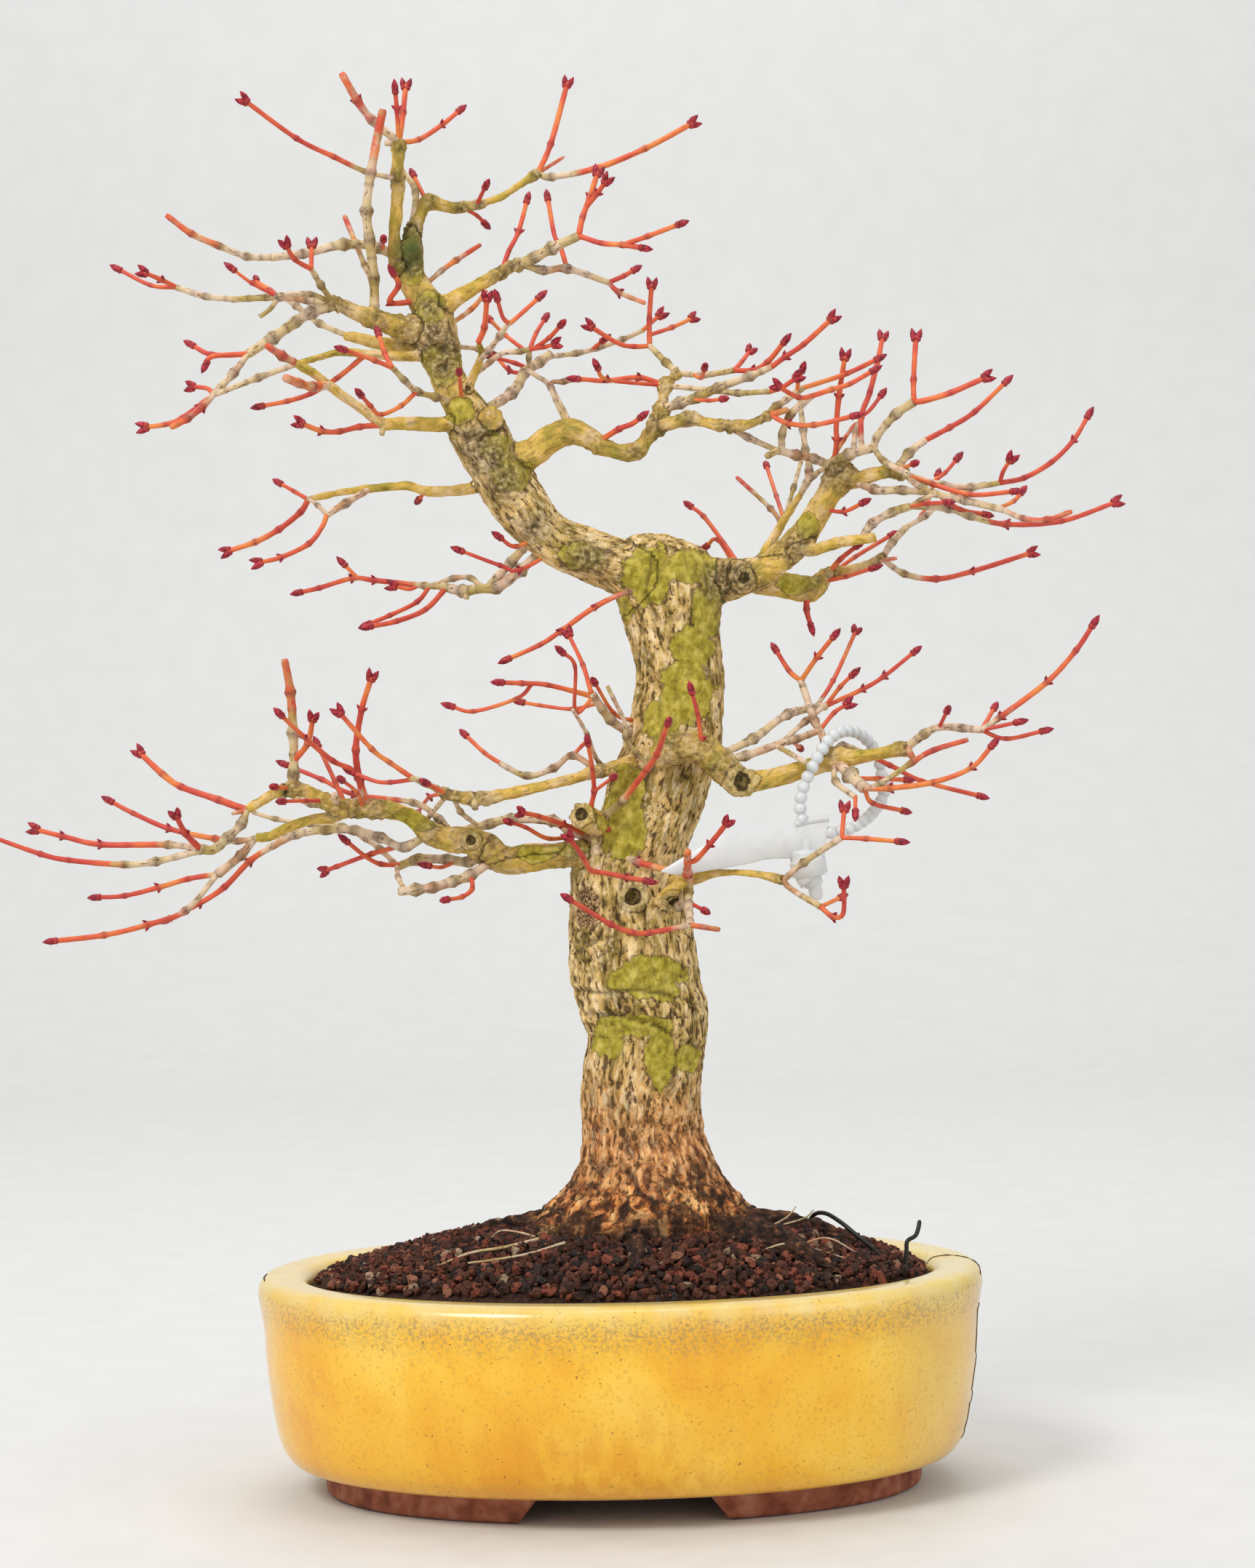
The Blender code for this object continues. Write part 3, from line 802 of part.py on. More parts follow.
def smooth_path(points, step):
    """A curve through the points, read every step along each stretch."""
    ends = [2 * points[0] - points[1]] + list(points) + [2 * points[-1] - points[-2]]
    path = []
    for before, start, end, after in zip(ends, ends[1:], ends[2:], ends[3:]):
        pieces = max(1, round((end - start).length / step))
        for i in range(pieces):
            t = i / pieces
            path.append(
                0.5
                * (
                    2 * start
                    + (end - before) * t
                    + (2 * before - 5 * start + 4 * end - after) * t * t
                    + (3 * start - before - 3 * end + after) * t**3
                )
            )
    return path + [points[-1].copy()]


def material(name, colour, roughness, metallic=0.0):
    made = bpy.data.materials.new(name)
    made.use_nodes = True
    shader = made.node_tree.nodes["Principled BSDF"]
    shader.inputs["Base Color"].default_value = (*colour, 1)
    shader.inputs["Roughness"].default_value = roughness
    shader.inputs["Metallic"].default_value = metallic
    made.diffuse_color = (*colour, 1)
    return made


def object_of(name, bm, collection=None):
    """A mesh object from the bmesh, in triangles that face out."""
    bmesh.ops.triangulate(bm, faces=bm.faces)
    bmesh.ops.recalc_face_normals(bm, faces=bm.faces)
    mesh = bpy.data.meshes.new(name)
    bm.to_mesh(mesh)
    bm.free()
    made = bpy.data.objects.new(name, mesh)
    (collection or bpy.context.scene.collection).objects.link(made)
    return made


def loft(bm, rings):
    """Skins rings of equally many points, and caps the ends."""
    made = [[bm.verts.new(point) for point in ring] for ring in rings]
    for low, high in zip(made, made[1:]):
        for i in range(len(low)):
            j = (i + 1) % len(low)
            bm.faces.new((low[i], low[j], high[j], high[i]))
    bm.faces.new(made[0])
    bm.faces.new(made[-1])


def tube_rings(points, radii, sides):
    """Rings round the path, each turned as little as possible from the one before."""
    tangent = (points[1] - points[0]).normalized()
    across = tangent.orthogonal().normalized()
    rings = []
    for i, (point, radius) in enumerate(zip(points, radii)):
        after, before = points[min(i + 1, len(points) - 1)], points[max(i - 1, 0)]
        tangent = (after - before).normalized()
        across = (across - tangent * across.dot(tangent)).normalized()
        up = tangent.cross(across)
        turn = 2 * math.pi / sides
        rings.append(
            [point + radius * (across * math.cos(k * turn) + up * math.sin(k * turn)) for k in range(sides)]
        )
    return rings


def tube(name, points, radii, sides, collection):
    bm = bmesh.new()
    loft(bm, tube_rings(points, radii, sides))
    return object_of(name, bm, collection)


def boolean(target, collection, operation, solver):
    """Joins or cuts with all of a collection's objects at once, and removes them."""
    modifier = target.modifiers.new("boolean", "BOOLEAN")
    modifier.operation = operation
    modifier.operand_type = "COLLECTION"
    modifier.collection = collection
    modifier.solver = solver
    bpy.context.view_layer.update()
    shaped = bpy.data.meshes.new_from_object(target.evaluated_get(bpy.context.evaluated_depsgraph_get()))
    target.modifiers.clear()
    target.data = shaped
    for used in list(collection.objects):
        bpy.data.objects.remove(used)
    bpy.data.collections.remove(collection)


def lighten(target, faces):
    """Merges the smallest faces, such as those along the joins, until about so many triangles are left."""
    bm = bmesh.new()
    bm.from_mesh(target.data)
    bmesh.ops.triangulate(bm, faces=bm.faces)
    bm.to_mesh(target.data)
    modifier = target.modifiers.new("lighten", "DECIMATE")
    modifier.ratio = min(1.0, faces / len(bm.faces))
    bm.free()
    modifier.use_collapse_triangulate = True
    bpy.context.view_layer.update()
    lighter = bpy.data.meshes.new_from_object(target.evaluated_get(bpy.context.evaluated_depsgraph_get()))
    target.modifiers.clear()
    target.data = lighter


def keep_largest(target):
    """Drops the crumbs that a cut leaves beside the main body."""
    bm = bmesh.new()
    bm.from_mesh(target.data)
    left, bodies = set(bm.verts), []
    while left:
        body, edge = set(), {left.pop()}
        while edge:
            vertex = edge.pop()
            body.add(vertex)
            edge |= {e.other_vert(vertex) for e in vertex.link_edges} - body
        left -= body
        bodies.append(body)
    largest = max(bodies, key=len)
    bmesh.ops.delete(bm, geom=[v for v in bm.verts if v not in largest], context="VERTS")
    bm.to_mesh(target.data)
    bm.free()


def new_collection(name):
    made = bpy.data.collections.new(name)
    bpy.context.scene.collection.children.link(made)
    return made


def finish(target, parent, look, sharp=40):
    target.data.shade_smooth()
    target.data.set_sharp_from_angle(angle=math.radians(sharp))
    target.data.materials.clear()
    target.data.materials.append(look)
    target.parent = parent


def make_trunk():
    """The trunk with its flared base, which goes straight down into its hole in the soil."""
    turns = [2 * math.pi * k / TRUNK_SIDES for k in range(TRUNK_SIDES)]
    rings = []
    for height in (SOIL_TOP - HOLE_DEPTH + 1.0, BASE_RISE):
        rings.append([Vector((*base_outline(angle), height)) * MM for angle in turns])
    for height, left, right, depth in TRUNK:
        middle = seen((left + right) / 2, height, depth)
        half = (right - left) / 2 * MM
        flare = max(0.0, 1 - (height - BASE_RISE) / FLARE_REACH)
        ring = []
        for angle in turns:
            lobe = 1 + flare * FLARE_LOBES * math.cos(5 * angle + 0.8)
            lobe += TRUNK_WAVES * math.cos(3 * angle + height / 30)
            x = half * math.cos(angle)
            y = half * TRUNK_FLATNESS * lobe * math.sin(angle)
            ring.append(middle + Vector((x, y, 0)))
        rings.append(ring)
    bm = bmesh.new()
    loft(bm, rings)
    return object_of("tree", bm)


def sides_for(thick):
    """How many sides a piece of wood this thick gets."""
    return 8 if thick > 9 else 6 if thick > 3.4 else 4 if thick > 2.5 else 3


def straightened(path):
    """Leaves out the points that lie close to the line between their neighbours."""
    if len(path) < 3:
        return path
    first, last = Vector(path[0]), Vector(path[-1])
    line = (last - first).normalized()
    away = [((Vector(p) - first) - line * (Vector(p) - first).dot(line)).length for p in path]
    worst = max(range(len(path)), key=away.__getitem__)
    if away[worst] < STRAIGHTEN:
        return [path[0], path[-1]]
    return straightened(path[: worst + 1])[:-1] + straightened(path[worst:])


def bud(base, tip, neck, sides):
    """Rings of a pointed bud: its base, its thickest place and its tip."""
    points = [base, base.lerp(tip, BUD_WIDEST), tip]
    return tube_rings(points, [neck, BUD_THICK / 2 * MM, BUD_TIP / 2 * MM], sides)


def leave_trunk(point, depth_end):
    """Where a twig leaves the trunk, and a point well inside it."""
    levels = [row[0] for row in TRUNK]
    height, left, right, depth = TRUNK[min(range(len(levels)), key=lambda i: abs(levels[i] - point[1]))]
    middle, half = (left + right) / 2, (right - left) / 2
    share = min(abs(point[0] - middle) / half, 1.0)
    side = math.copysign(1, depth_end)
    surface = depth + side * TRUNK_FLATNESS * half * math.sqrt(1 - share * share)
    inside = (middle + (point[0] - middle) * 0.5, point[1], depth + (surface - depth) * 0.4)
    return [inside, (point[0], point[1], surface)]


def twig_path(row, paths):
    """A twig's seen points with their depths. It starts on its parent's middle line."""
    _, parent, _, _, depth_end, _, points = row
    if parent == "trunk":
        start = leave_trunk(points[0], depth_end)
    else:
        near = min(paths[parent], key=lambda p: math.hypot(p[0] - points[0][0], p[1] - points[0][1]))
        start = [near]
    spans = [math.dist(a, b) for a, b in zip([start[-1][:2]] + points[1:], points[1:])]
    path, along = list(start), 0.0
    for point, span in zip(points[1:], spans):
        along += span
        share = along / sum(spans)
        path.append((point[0], point[1], start[-1][2] + (depth_end - start[-1][2]) * share))
    return path


def dense(path, step=2.0):
    """The same seen path with points close together, for children to start from."""
    close = []
    for a, b in zip(path, path[1:]):
        pieces = max(1, round(math.dist(a, b) / step))
        close += [tuple(p + (q - p) * i / pieces for p, q in zip(a, b)) for i in range(pieces)]
    return close + [path[-1]]


def add_twig(row, path, growth):
    name, _, thick_start, thick_end, _, tip, _ = row
    points = [seen(*p) for p in straightened(path)]
    sides = sides_for(thick_start)
    wider = FEW_SIDES_WIDER if sides < 6 else 1.0
    spans = [0.0] + [(b - a).length for a, b in zip(points, points[1:])]
    along = [sum(spans[: i + 1]) / sum(spans) for i in range(len(spans))]
    radii = [(thick_start + (thick_end - thick_start) * share) / 2 * wider * MM for share in along]
    if tip in ("bud", "pair"):
        direction = (points[-1] - points[-2]).normalized()
        length = min(BUD_LENGTH * MM, BUD_SHARE * spans[-1])
        base, end = points[-1] - direction * length, points[-1]
        if tip == "pair":
            aside = direction.cross(PAIR_PLANE).normalized() * BUD_THICK / 2 * MM
            bm = bmesh.new()
            root = base - direction * BUD_THICK / 2 * MM
            foot = tube_rings([root, base], [radii[-1]] * 2, 3)[:1]
            loft(bm, foot + bud(base, end - 2 * aside, radii[-1], 3))
            object_of("bud", bm, growth)
            end = end + aside
        bm = bmesh.new()
        loft(bm, tube_rings(points[:-1] + [base], radii, sides) + bud(base, end, radii[-1], sides)[1:])
        object_of(name or "twig", bm, growth)
        return
    tube(name or "twig", points, radii, sides, growth)


def root_points(lift, points, grow=0.0):
    """A root's middle line on the soil, and its radii."""
    path = [
        Vector((x, y, soil_height(x, y) + lift * thick)) * MM for x, y, thick in points
    ]
    return path, [(thick / 2 + grow) * MM for _, _, thick in points]


def make_tree():
    tree = make_trunk()
    growth = new_collection("growth")
    paths = {"trunk": dense([((left + right) / 2, height, depth) for height, left, right, depth in TRUNK])}
    for name, rows in LIMBS.items():
        points = [seen(u, v, depth) for u, v, depth, _ in rows]
        thick = rows[len(rows) // 2][3]
        tube(name, points, [row[3] / 2 * MM for row in rows], sides_for(thick), growth)
        paths[name] = dense([row[:3] for row in rows])
    for row in TWIGS:
        path = twig_path(row, paths)
        add_twig(row, path, growth)
        if row[0]:
            paths[row[0]] = dense(path)
    for lift, points in ROOTS:
        path, radii = root_points(lift, points)
        tube("root", path, radii, ROOT_SIDES, growth)
    boolean(tree, growth, "UNION", "MANIFOLD")
    keep_largest(tree)
    lighten(tree, TREE_FACES)
    return tree


def inner_wall():
    """The pot's inside: half length, half width and height, from the lip down to the floor."""
    opening_x, opening_y = POT_LENGTH / 2 - LIP_WIDTH, POT_WIDTH / 2 - LIP_WIDTH
    return [
        (opening_x, opening_y, POT_HEIGHT - 1.2),
        (opening_x, opening_y, POT_HEIGHT - 9),
        (opening_x + 3.5, opening_y + 3.5, POT_HEIGHT - 16),
        (POT_LENGTH / 2 - WALL - 7, POT_WIDTH / 2 - WALL - 6.5, 28),
        (POT_LENGTH / 2 - WALL - 15, POT_WIDTH / 2 - WALL - 14, FLOOR_TOP),
    ]


def oval_ring(half_length, half_width, height, sides):
    return [
        Vector((*oval(half_length, half_width, 2 * math.pi * k / sides), height)) * MM for k in range(sides)
    ]


def cylinder(name, x, y, low, high, radius, sides, collection):
    bm = bmesh.new()
    ring = [
        (x + radius * math.cos(2 * math.pi * k / sides), y + radius * math.sin(2 * math.pi * k / sides))
        for k in range(sides)
    ]
    loft(bm, [[Vector((*p, z)) * MM for p in ring] for z in (low, high)])
    return object_of(name, bm, collection)


def make_pot():
    half_x, half_y = POT_LENGTH / 2, POT_WIDTH / 2
    foot_x, foot_y = FOOT_LENGTH / 2, FOOT_WIDTH / 2
    under = FOOT_HEIGHT - UNDER_DROP
    levels = [
        (foot_x - FOOT_THICK, foot_y - FOOT_THICK, under),
        (foot_x - FOOT_THICK, foot_y - FOOT_THICK, 0),
        (foot_x - 1, foot_y - 1, 0),
        (foot_x, foot_y, 1.2),
        (foot_x + 0.5, foot_y + 0.5, FOOT_HEIGHT),
        (half_x - 15, half_y - 19, FOOT_HEIGHT + 0.6),
        (half_x - 10, half_y - 13, 12.5),
        (half_x - 6.5, half_y - 8, 19),
        (half_x - 4, half_y - 4.5, 32),
        (half_x - 2, half_y - 2, 54),
        (half_x - 0.8, half_y - 0.8, 63),
        (half_x, half_y, 69),
        (half_x - 1, half_y - 1, 73),
        (half_x - 4, half_y - 4, POT_HEIGHT),
    ] + inner_wall()
    bm = bmesh.new()
    loft(bm, [oval_ring(x, y, z, POT_SIDES) for x, y, z in levels])
    pot = object_of("pot", bm)
    cutters = new_collection("pot_cutters")
    for side in (-1, 1):
        cylinder("drain", side * DRAIN_OFFSET, 0, 0, FLOOR_TOP + 5, DRAIN_RADIUS, 20, cutters)
        for back in (-WIRE_HOLE_BACK, WIRE_HOLE_BACK):
            x = side * WIRE_HOLE_X
            cylinder("wire_hole", x, back, 0, FLOOR_TOP + 5, WIRE_HOLE_RADIUS, 10, cutters)
        bm = bmesh.new()
        low = -1
        outline = [
            (-NOTCH_HALF_BOTTOM - 1, low), (NOTCH_HALF_BOTTOM + 1, low),
            (NOTCH_HALF_TOP, under), (-NOTCH_HALF_TOP, under),
        ]
        near, far = side * (foot_y - FOOT_THICK - 3), side * (foot_y + 12)
        loft(bm, [[Vector((x, y, z)) * MM for x, z in outline] for y in (near, far)])
        object_of("notch", bm, cutters)
    boolean(pot, cutters, "DIFFERENCE", "MANIFOLD")
    return pot


def make_soil():
    """The grit that fills the pot: a mound with grains, a plain hole for the tree, and grooves for
    what lies on it."""
    random.seed(7)
    turns = [2 * math.pi * k / SOIL_SIDES for k in range(SOIL_SIDES)]
    walls = [
        (half_x - CLEARANCE, half_y - CLEARANCE, height)
        for half_x, half_y, height in inner_wall()[1:]
    ]
    walls[-1] = (walls[-1][0] - FLOOR_GAP, walls[-1][1] - FLOOR_GAP, FLOOR_TOP + FLOOR_GAP)
    top_x, top_y = walls[0][0], walls[0][1]
    hole_low = SOIL_TOP - HOLE_DEPTH
    rings = [[Vector((*base_outline(a, CLEARANCE), hole_low)) * MM for a in turns]]
    for i in range(SOIL_RINGS + 1):
        share = i / SOIL_RINGS
        ring = []
        for angle in turns:
            at_edge = i in (0, SOIL_RINGS)
            wobble = 0.0 if at_edge else random.uniform(-GRAIN_SPREAD, GRAIN_SPREAD)
            turn = angle + wobble * 2 * math.pi / SOIL_SIDES
            near = Vector(base_outline(turn, CLEARANCE))
            far = Vector(oval(top_x, top_y, turn))
            spread = min(max(share + (wobble * 0.6) / SOIL_RINGS, 0.0), 1.0)
            x, y = near.lerp(far, spread)
            lift = 0.0 if at_edge else random.uniform(-0.9, 1.0) * GRAIN_HEIGHT
            ring.append(Vector((x, y, soil_height(x, y) + lift)) * MM)
        rings.append(ring)
    for half_x, half_y, height in walls:
        rings.append([Vector((*oval(half_x, half_y, a), height)) * MM for a in turns])
    bm = bmesh.new()
    loft(bm, rings)
    soil = object_of("soil", bm)
    cutters = new_collection("soil_cutters")
    for lift, points in ROOTS:
        path, radii = root_points(lift, points, CLEARANCE)
        path.append(path[-1] + (path[-1] - path[-2]).normalized() * CLEARANCE * MM)
        radii.append(radii[-1])
        tube("root_groove", path, radii, ROOT_SIDES, cutters)
    wire_path, _ = wire_line(CLEARANCE)
    groove = (WIRE_THICK / 2 + GROOVE_CLEARANCE) * MM
    tube("wire_groove", wire_path, [groove] * len(wire_path), WIRE_SIDES, cutters)
    for side in (-1, 1):
        cylinder(
            "screen_seat", side * DRAIN_OFFSET, 0, FLOOR_TOP - 1,
            FLOOR_TOP + SCREEN_LIFT + SCREEN_THICK + SCREEN_ROOM, SCREEN_RADIUS + SCREEN_ROOM, 20, cutters,
        )
    boolean(soil, cutters, "DIFFERENCE", "MANIFOLD")
    keep_largest(soil)
    return soil


def wire_line(longer=0.0):
    path = smooth_path([Vector(p) * MM for p in WIRE], 4 * MM)
    path[0] = path[0] + (path[0] - path[1]).normalized() * longer * MM
    radii = [WIRE_THICK / 2 * MM] * len(path)
    return path, radii


def make_wire():
    path, radii = wire_line()
    return tube("anchor_wire", path, radii, WIRE_SIDES, None)


def make_screen(side):
    name = "drain_screen_left" if side < 0 else "drain_screen_right"
    low = FLOOR_TOP + SCREEN_LIFT
    return cylinder(name, side * DRAIN_OFFSET, 0, low, low + SCREEN_THICK, SCREEN_RADIUS, 20, None)


def make_label():
    """The blank plate with its lock, and the beaded strap that is moulded on it, all one piece."""
    half = PLATE_THICK / 2
    front, back = [], []
    for (u0, v0), (u1, v1), depth in zip(PLATE_TOP, PLATE_BOTTOM, PLATE_DEPTH):
        front.append([seen(u0, v0, depth - half), seen(u1, v1, depth - half)])
        back.append([seen(u0, v0, depth + half), seen(u1, v1, depth + half)])
    bm = bmesh.new()
    loft(bm, [[f[0], f[1], b[1], b[0]] for f, b in zip(front, back)])
    label = object_of("label", bm)
    pieces = new_collection("label_pieces")
    points = [seen(u, v, PLATE_DEPTH[-1] + LOCK_SET_BACK) for u, v, _ in LOCK]
    tube("lock", points, [radius * MM for _, _, radius in LOCK], 10, pieces)
    path = smooth_path([seen(*p) for p in STRAP], BEAD_PITCH / 2 * MM)
    radii = [(BEAD_THICK if i % 2 else BEAD_NECK) / 2 * MM for i in range(len(path))]
    tube("strap", path, radii, 6, pieces)
    boolean(label, pieces, "UNION", "MANIFOLD")
    return label


def main():
    for old in list(bpy.data.objects):
        bpy.data.objects.remove(old)
    stand = bpy.data.objects.new("bonsai", None)
    bpy.context.scene.collection.objects.link(stand)
    stand.location = Vector(STAND_SHIFT) * MM
    finish(make_tree(), stand, material("bark", (0.34, 0.24, 0.13), 0.8))
    finish(make_soil(), stand, material("lava_grit", (0.09, 0.045, 0.035), 0.95), sharp=20)
    finish(make_pot(), stand, material("yellow_glaze", (0.80, 0.48, 0.10), 0.25))
    finish(make_wire(), stand, material("dark_wire", (0.02, 0.02, 0.02), 0.45, 0.6))
    for side in (-1, 1):
        finish(make_screen(side), stand, material("screen_plastic", (0.02, 0.02, 0.02), 0.6))
    finish(make_label(), stand, material("white_plastic", (0.85, 0.85, 0.83), 0.4))


main()
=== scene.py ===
"""The looks of the maple bonsai: its wood, grit, glaze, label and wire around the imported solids.

The wood is laid out as in the part's source: as it is seen from the front, in millimetres in the
upright plane through the pot's middle, with a depth for each point.
"""

import math
import random

import bmesh
import bpy
import numpy as np
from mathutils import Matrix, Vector, noise
from mathutils.kdtree import KDTree


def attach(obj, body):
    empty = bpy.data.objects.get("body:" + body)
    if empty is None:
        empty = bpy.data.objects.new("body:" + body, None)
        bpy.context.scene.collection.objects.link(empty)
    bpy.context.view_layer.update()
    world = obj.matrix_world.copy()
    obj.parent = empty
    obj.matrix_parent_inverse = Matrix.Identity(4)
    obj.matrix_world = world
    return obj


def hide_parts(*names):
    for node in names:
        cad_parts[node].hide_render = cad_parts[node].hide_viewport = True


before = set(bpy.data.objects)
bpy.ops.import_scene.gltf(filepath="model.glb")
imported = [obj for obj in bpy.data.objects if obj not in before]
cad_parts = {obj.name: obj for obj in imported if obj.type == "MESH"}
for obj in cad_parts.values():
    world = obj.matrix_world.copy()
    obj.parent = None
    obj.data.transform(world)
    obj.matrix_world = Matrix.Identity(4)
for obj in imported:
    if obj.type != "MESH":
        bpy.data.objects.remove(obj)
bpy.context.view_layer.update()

MM = 0.001
STAND_SHIFT = Vector((16.5, 0.0, 0.0))

# Front view: how far the eye is from the pot's middle, its height, how far it stands to the side,
# where straight ahead is in the view, and the view's tilt.
EYE_DISTANCE = 1100.0
EYE_HEIGHT = 240.0
EYE_SIDE = 5.9
SIGHT_MIDDLE = 1.9
VIEW_TILT = math.radians(1.15)

# The photograph's frame: its size in points, four points to the millimetre in the trunk's plane,
# and the point that is across 0, up 0.
PHOTO_WIDE, PHOTO_HIGH = 1725, 2156
POINTS_PER_MM = 4.0
PHOTO_ZERO = (855, 2038)

POT_FINE_SIDES = 192
LATERAL_BUDS = 0.3

# The crack down the pot's right end and the chip at its left, as seen.
HAIRLINE_THICK = 0.5
HAIRLINES = [
    [(104.5, 75), (107, 77.3), (113, 78), (119, 77), (122.5, 74.5), (123.2, 71)],
    [(123.4, 62), (122.6, 45), (120.6, 30), (119.2, 21), (117, 15)],
    [(-123.2, 71.5), (-122.8, 69)],
]

# Lava grit's colours and how common each is.
GRIT_TINTS = [
    (0.10, 0.040, 0.027), (0.045, 0.026, 0.021), (0.028, 0.026, 0.026), (0.21, 0.060, 0.036),
    (0.29, 0.12, 0.075), (0.36, 0.25, 0.16),
]
GRIT_SHARES = [0.34, 0.24, 0.15, 0.17, 0.07, 0.03]
BARE_ROOT = 0.36

FLOOR_COLOUR = (0.72, 0.717, 0.70)
WORLD_COLOUR = (0.95, 0.97, 1.0)
WORLD_STRENGTH = 0.64

# Fine roots on the soil: across, back, height over the soil, thickness.
ROOT_HAIRS = [
    [(-62, -37, 0.6, 0.5), (-50, -36, 2.6, 0.9), (-38, -34, 2.0, 1.2), (-27, -27, 1.5, 1.4)],
    [(-50, -42, 1.6, 0.7), (-42, -44, 2.0, 0.8), (-30, -42, 1.6, 1.0), (-18, -36, 2.0, 1.2)],
    [(-44, -20, 1.0, 0.5), (-40, -24, 5.0, 0.6), (-33, -26, 4.0, 0.8), (-26, -25, 1.0, 0.9)],
    [(52, -12, 2.0, 0.8), (57, -16, 6.0, 0.6), (60, -17, 10.0, 0.4)],
    [(56, -10, 2.0, 0.8), (63, -14, 5.5, 0.6), (66, -16, 9.5, 0.4)],
    [(48, -36, 1.0, 0.6), (56, -34, 3.4, 0.8), (66, -30, 1.6, 0.7), (76, -30, 1.0, 0.4)],
    [(60, -28, 1.0, 0.6), (70, -24, 4.0, 0.7), (80, -22, 1.2, 0.5)],
]

# Pot
POT_LENGTH = 248.0
POT_WIDTH = 180.0
POT_HEIGHT = 74.5
LIP_WIDTH = 17.0
WALL = 9.5
FLOOR_TOP = 14.0
FOOT_HEIGHT = 9.0
FOOT_LENGTH = 204.0
FOOT_WIDTH = 126.0
FOOT_THICK = 13.0
OVAL_POWER = 2.07
NOTCH_HALF_BOTTOM = 34.5
NOTCH_HALF_TOP = 28.0
DRAIN_RADIUS = 9.0
DRAIN_OFFSET = 48.0

# Soil and roots
SOIL_EDGE = 70.6
SOIL_TOP = 87.0
BASE_X = 7.5
BASE_HALF_LENGTH = 39.0
BASE_HALF_WIDTH = 33.0
BASE_RISE = 90.5

# Wood: its buds, and how much less deep than wide the trunk is.
BUD_LENGTH = 5.2
BUD_THICK = 2.9
TRUNK_FLATNESS = 0.9

# The trunk's flare into its roots: the height over which it fades, and the depth of its lobes.
FLARE_REACH = 22.0
FLARE_LOBES = 0.06
TRUNK_WAVES = 0.025

# Trunk outline as seen: height, left edge, right edge, depth of its middle.
TRUNK = [
    (95, -26.5, 42.0, 0), (100, -21.0, 38.0, 0), (105, -17.5, 34.5, 0), (112, -14.2, 31.8, 0),
    (121, -13.5, 28.0, 0), (134, -14.0, 27.3, 0), (146, -13.3, 28.4, 0), (154, -11.8, 29.4, 0),
    (162, -14.5, 29.4, 0), (172, -17.5, 27.3, 0), (186, -18.5, 25.3, 0), (200, -18.0, 22.5, 0),
    (211, -17.5, 22.0, 1), (221, -14.0, 24.2, 1), (231, -7.5, 28.2, 2), (241, -5.0, 31.2, 2),
    (251, -1.0, 34.0, 3), (262, 2.0, 34.8, 3), (275, 4.5, 35.3, 3), (288, 2.4, 34.0, 3),
    (298, -0.5, 34.0, 3), (307, -3.0, 35.0, 3), (315, -3.0, 33.0, 3), (321.5, -1.5, 26.5, 3),
    (326, 3.5, 15.0, 3),
]

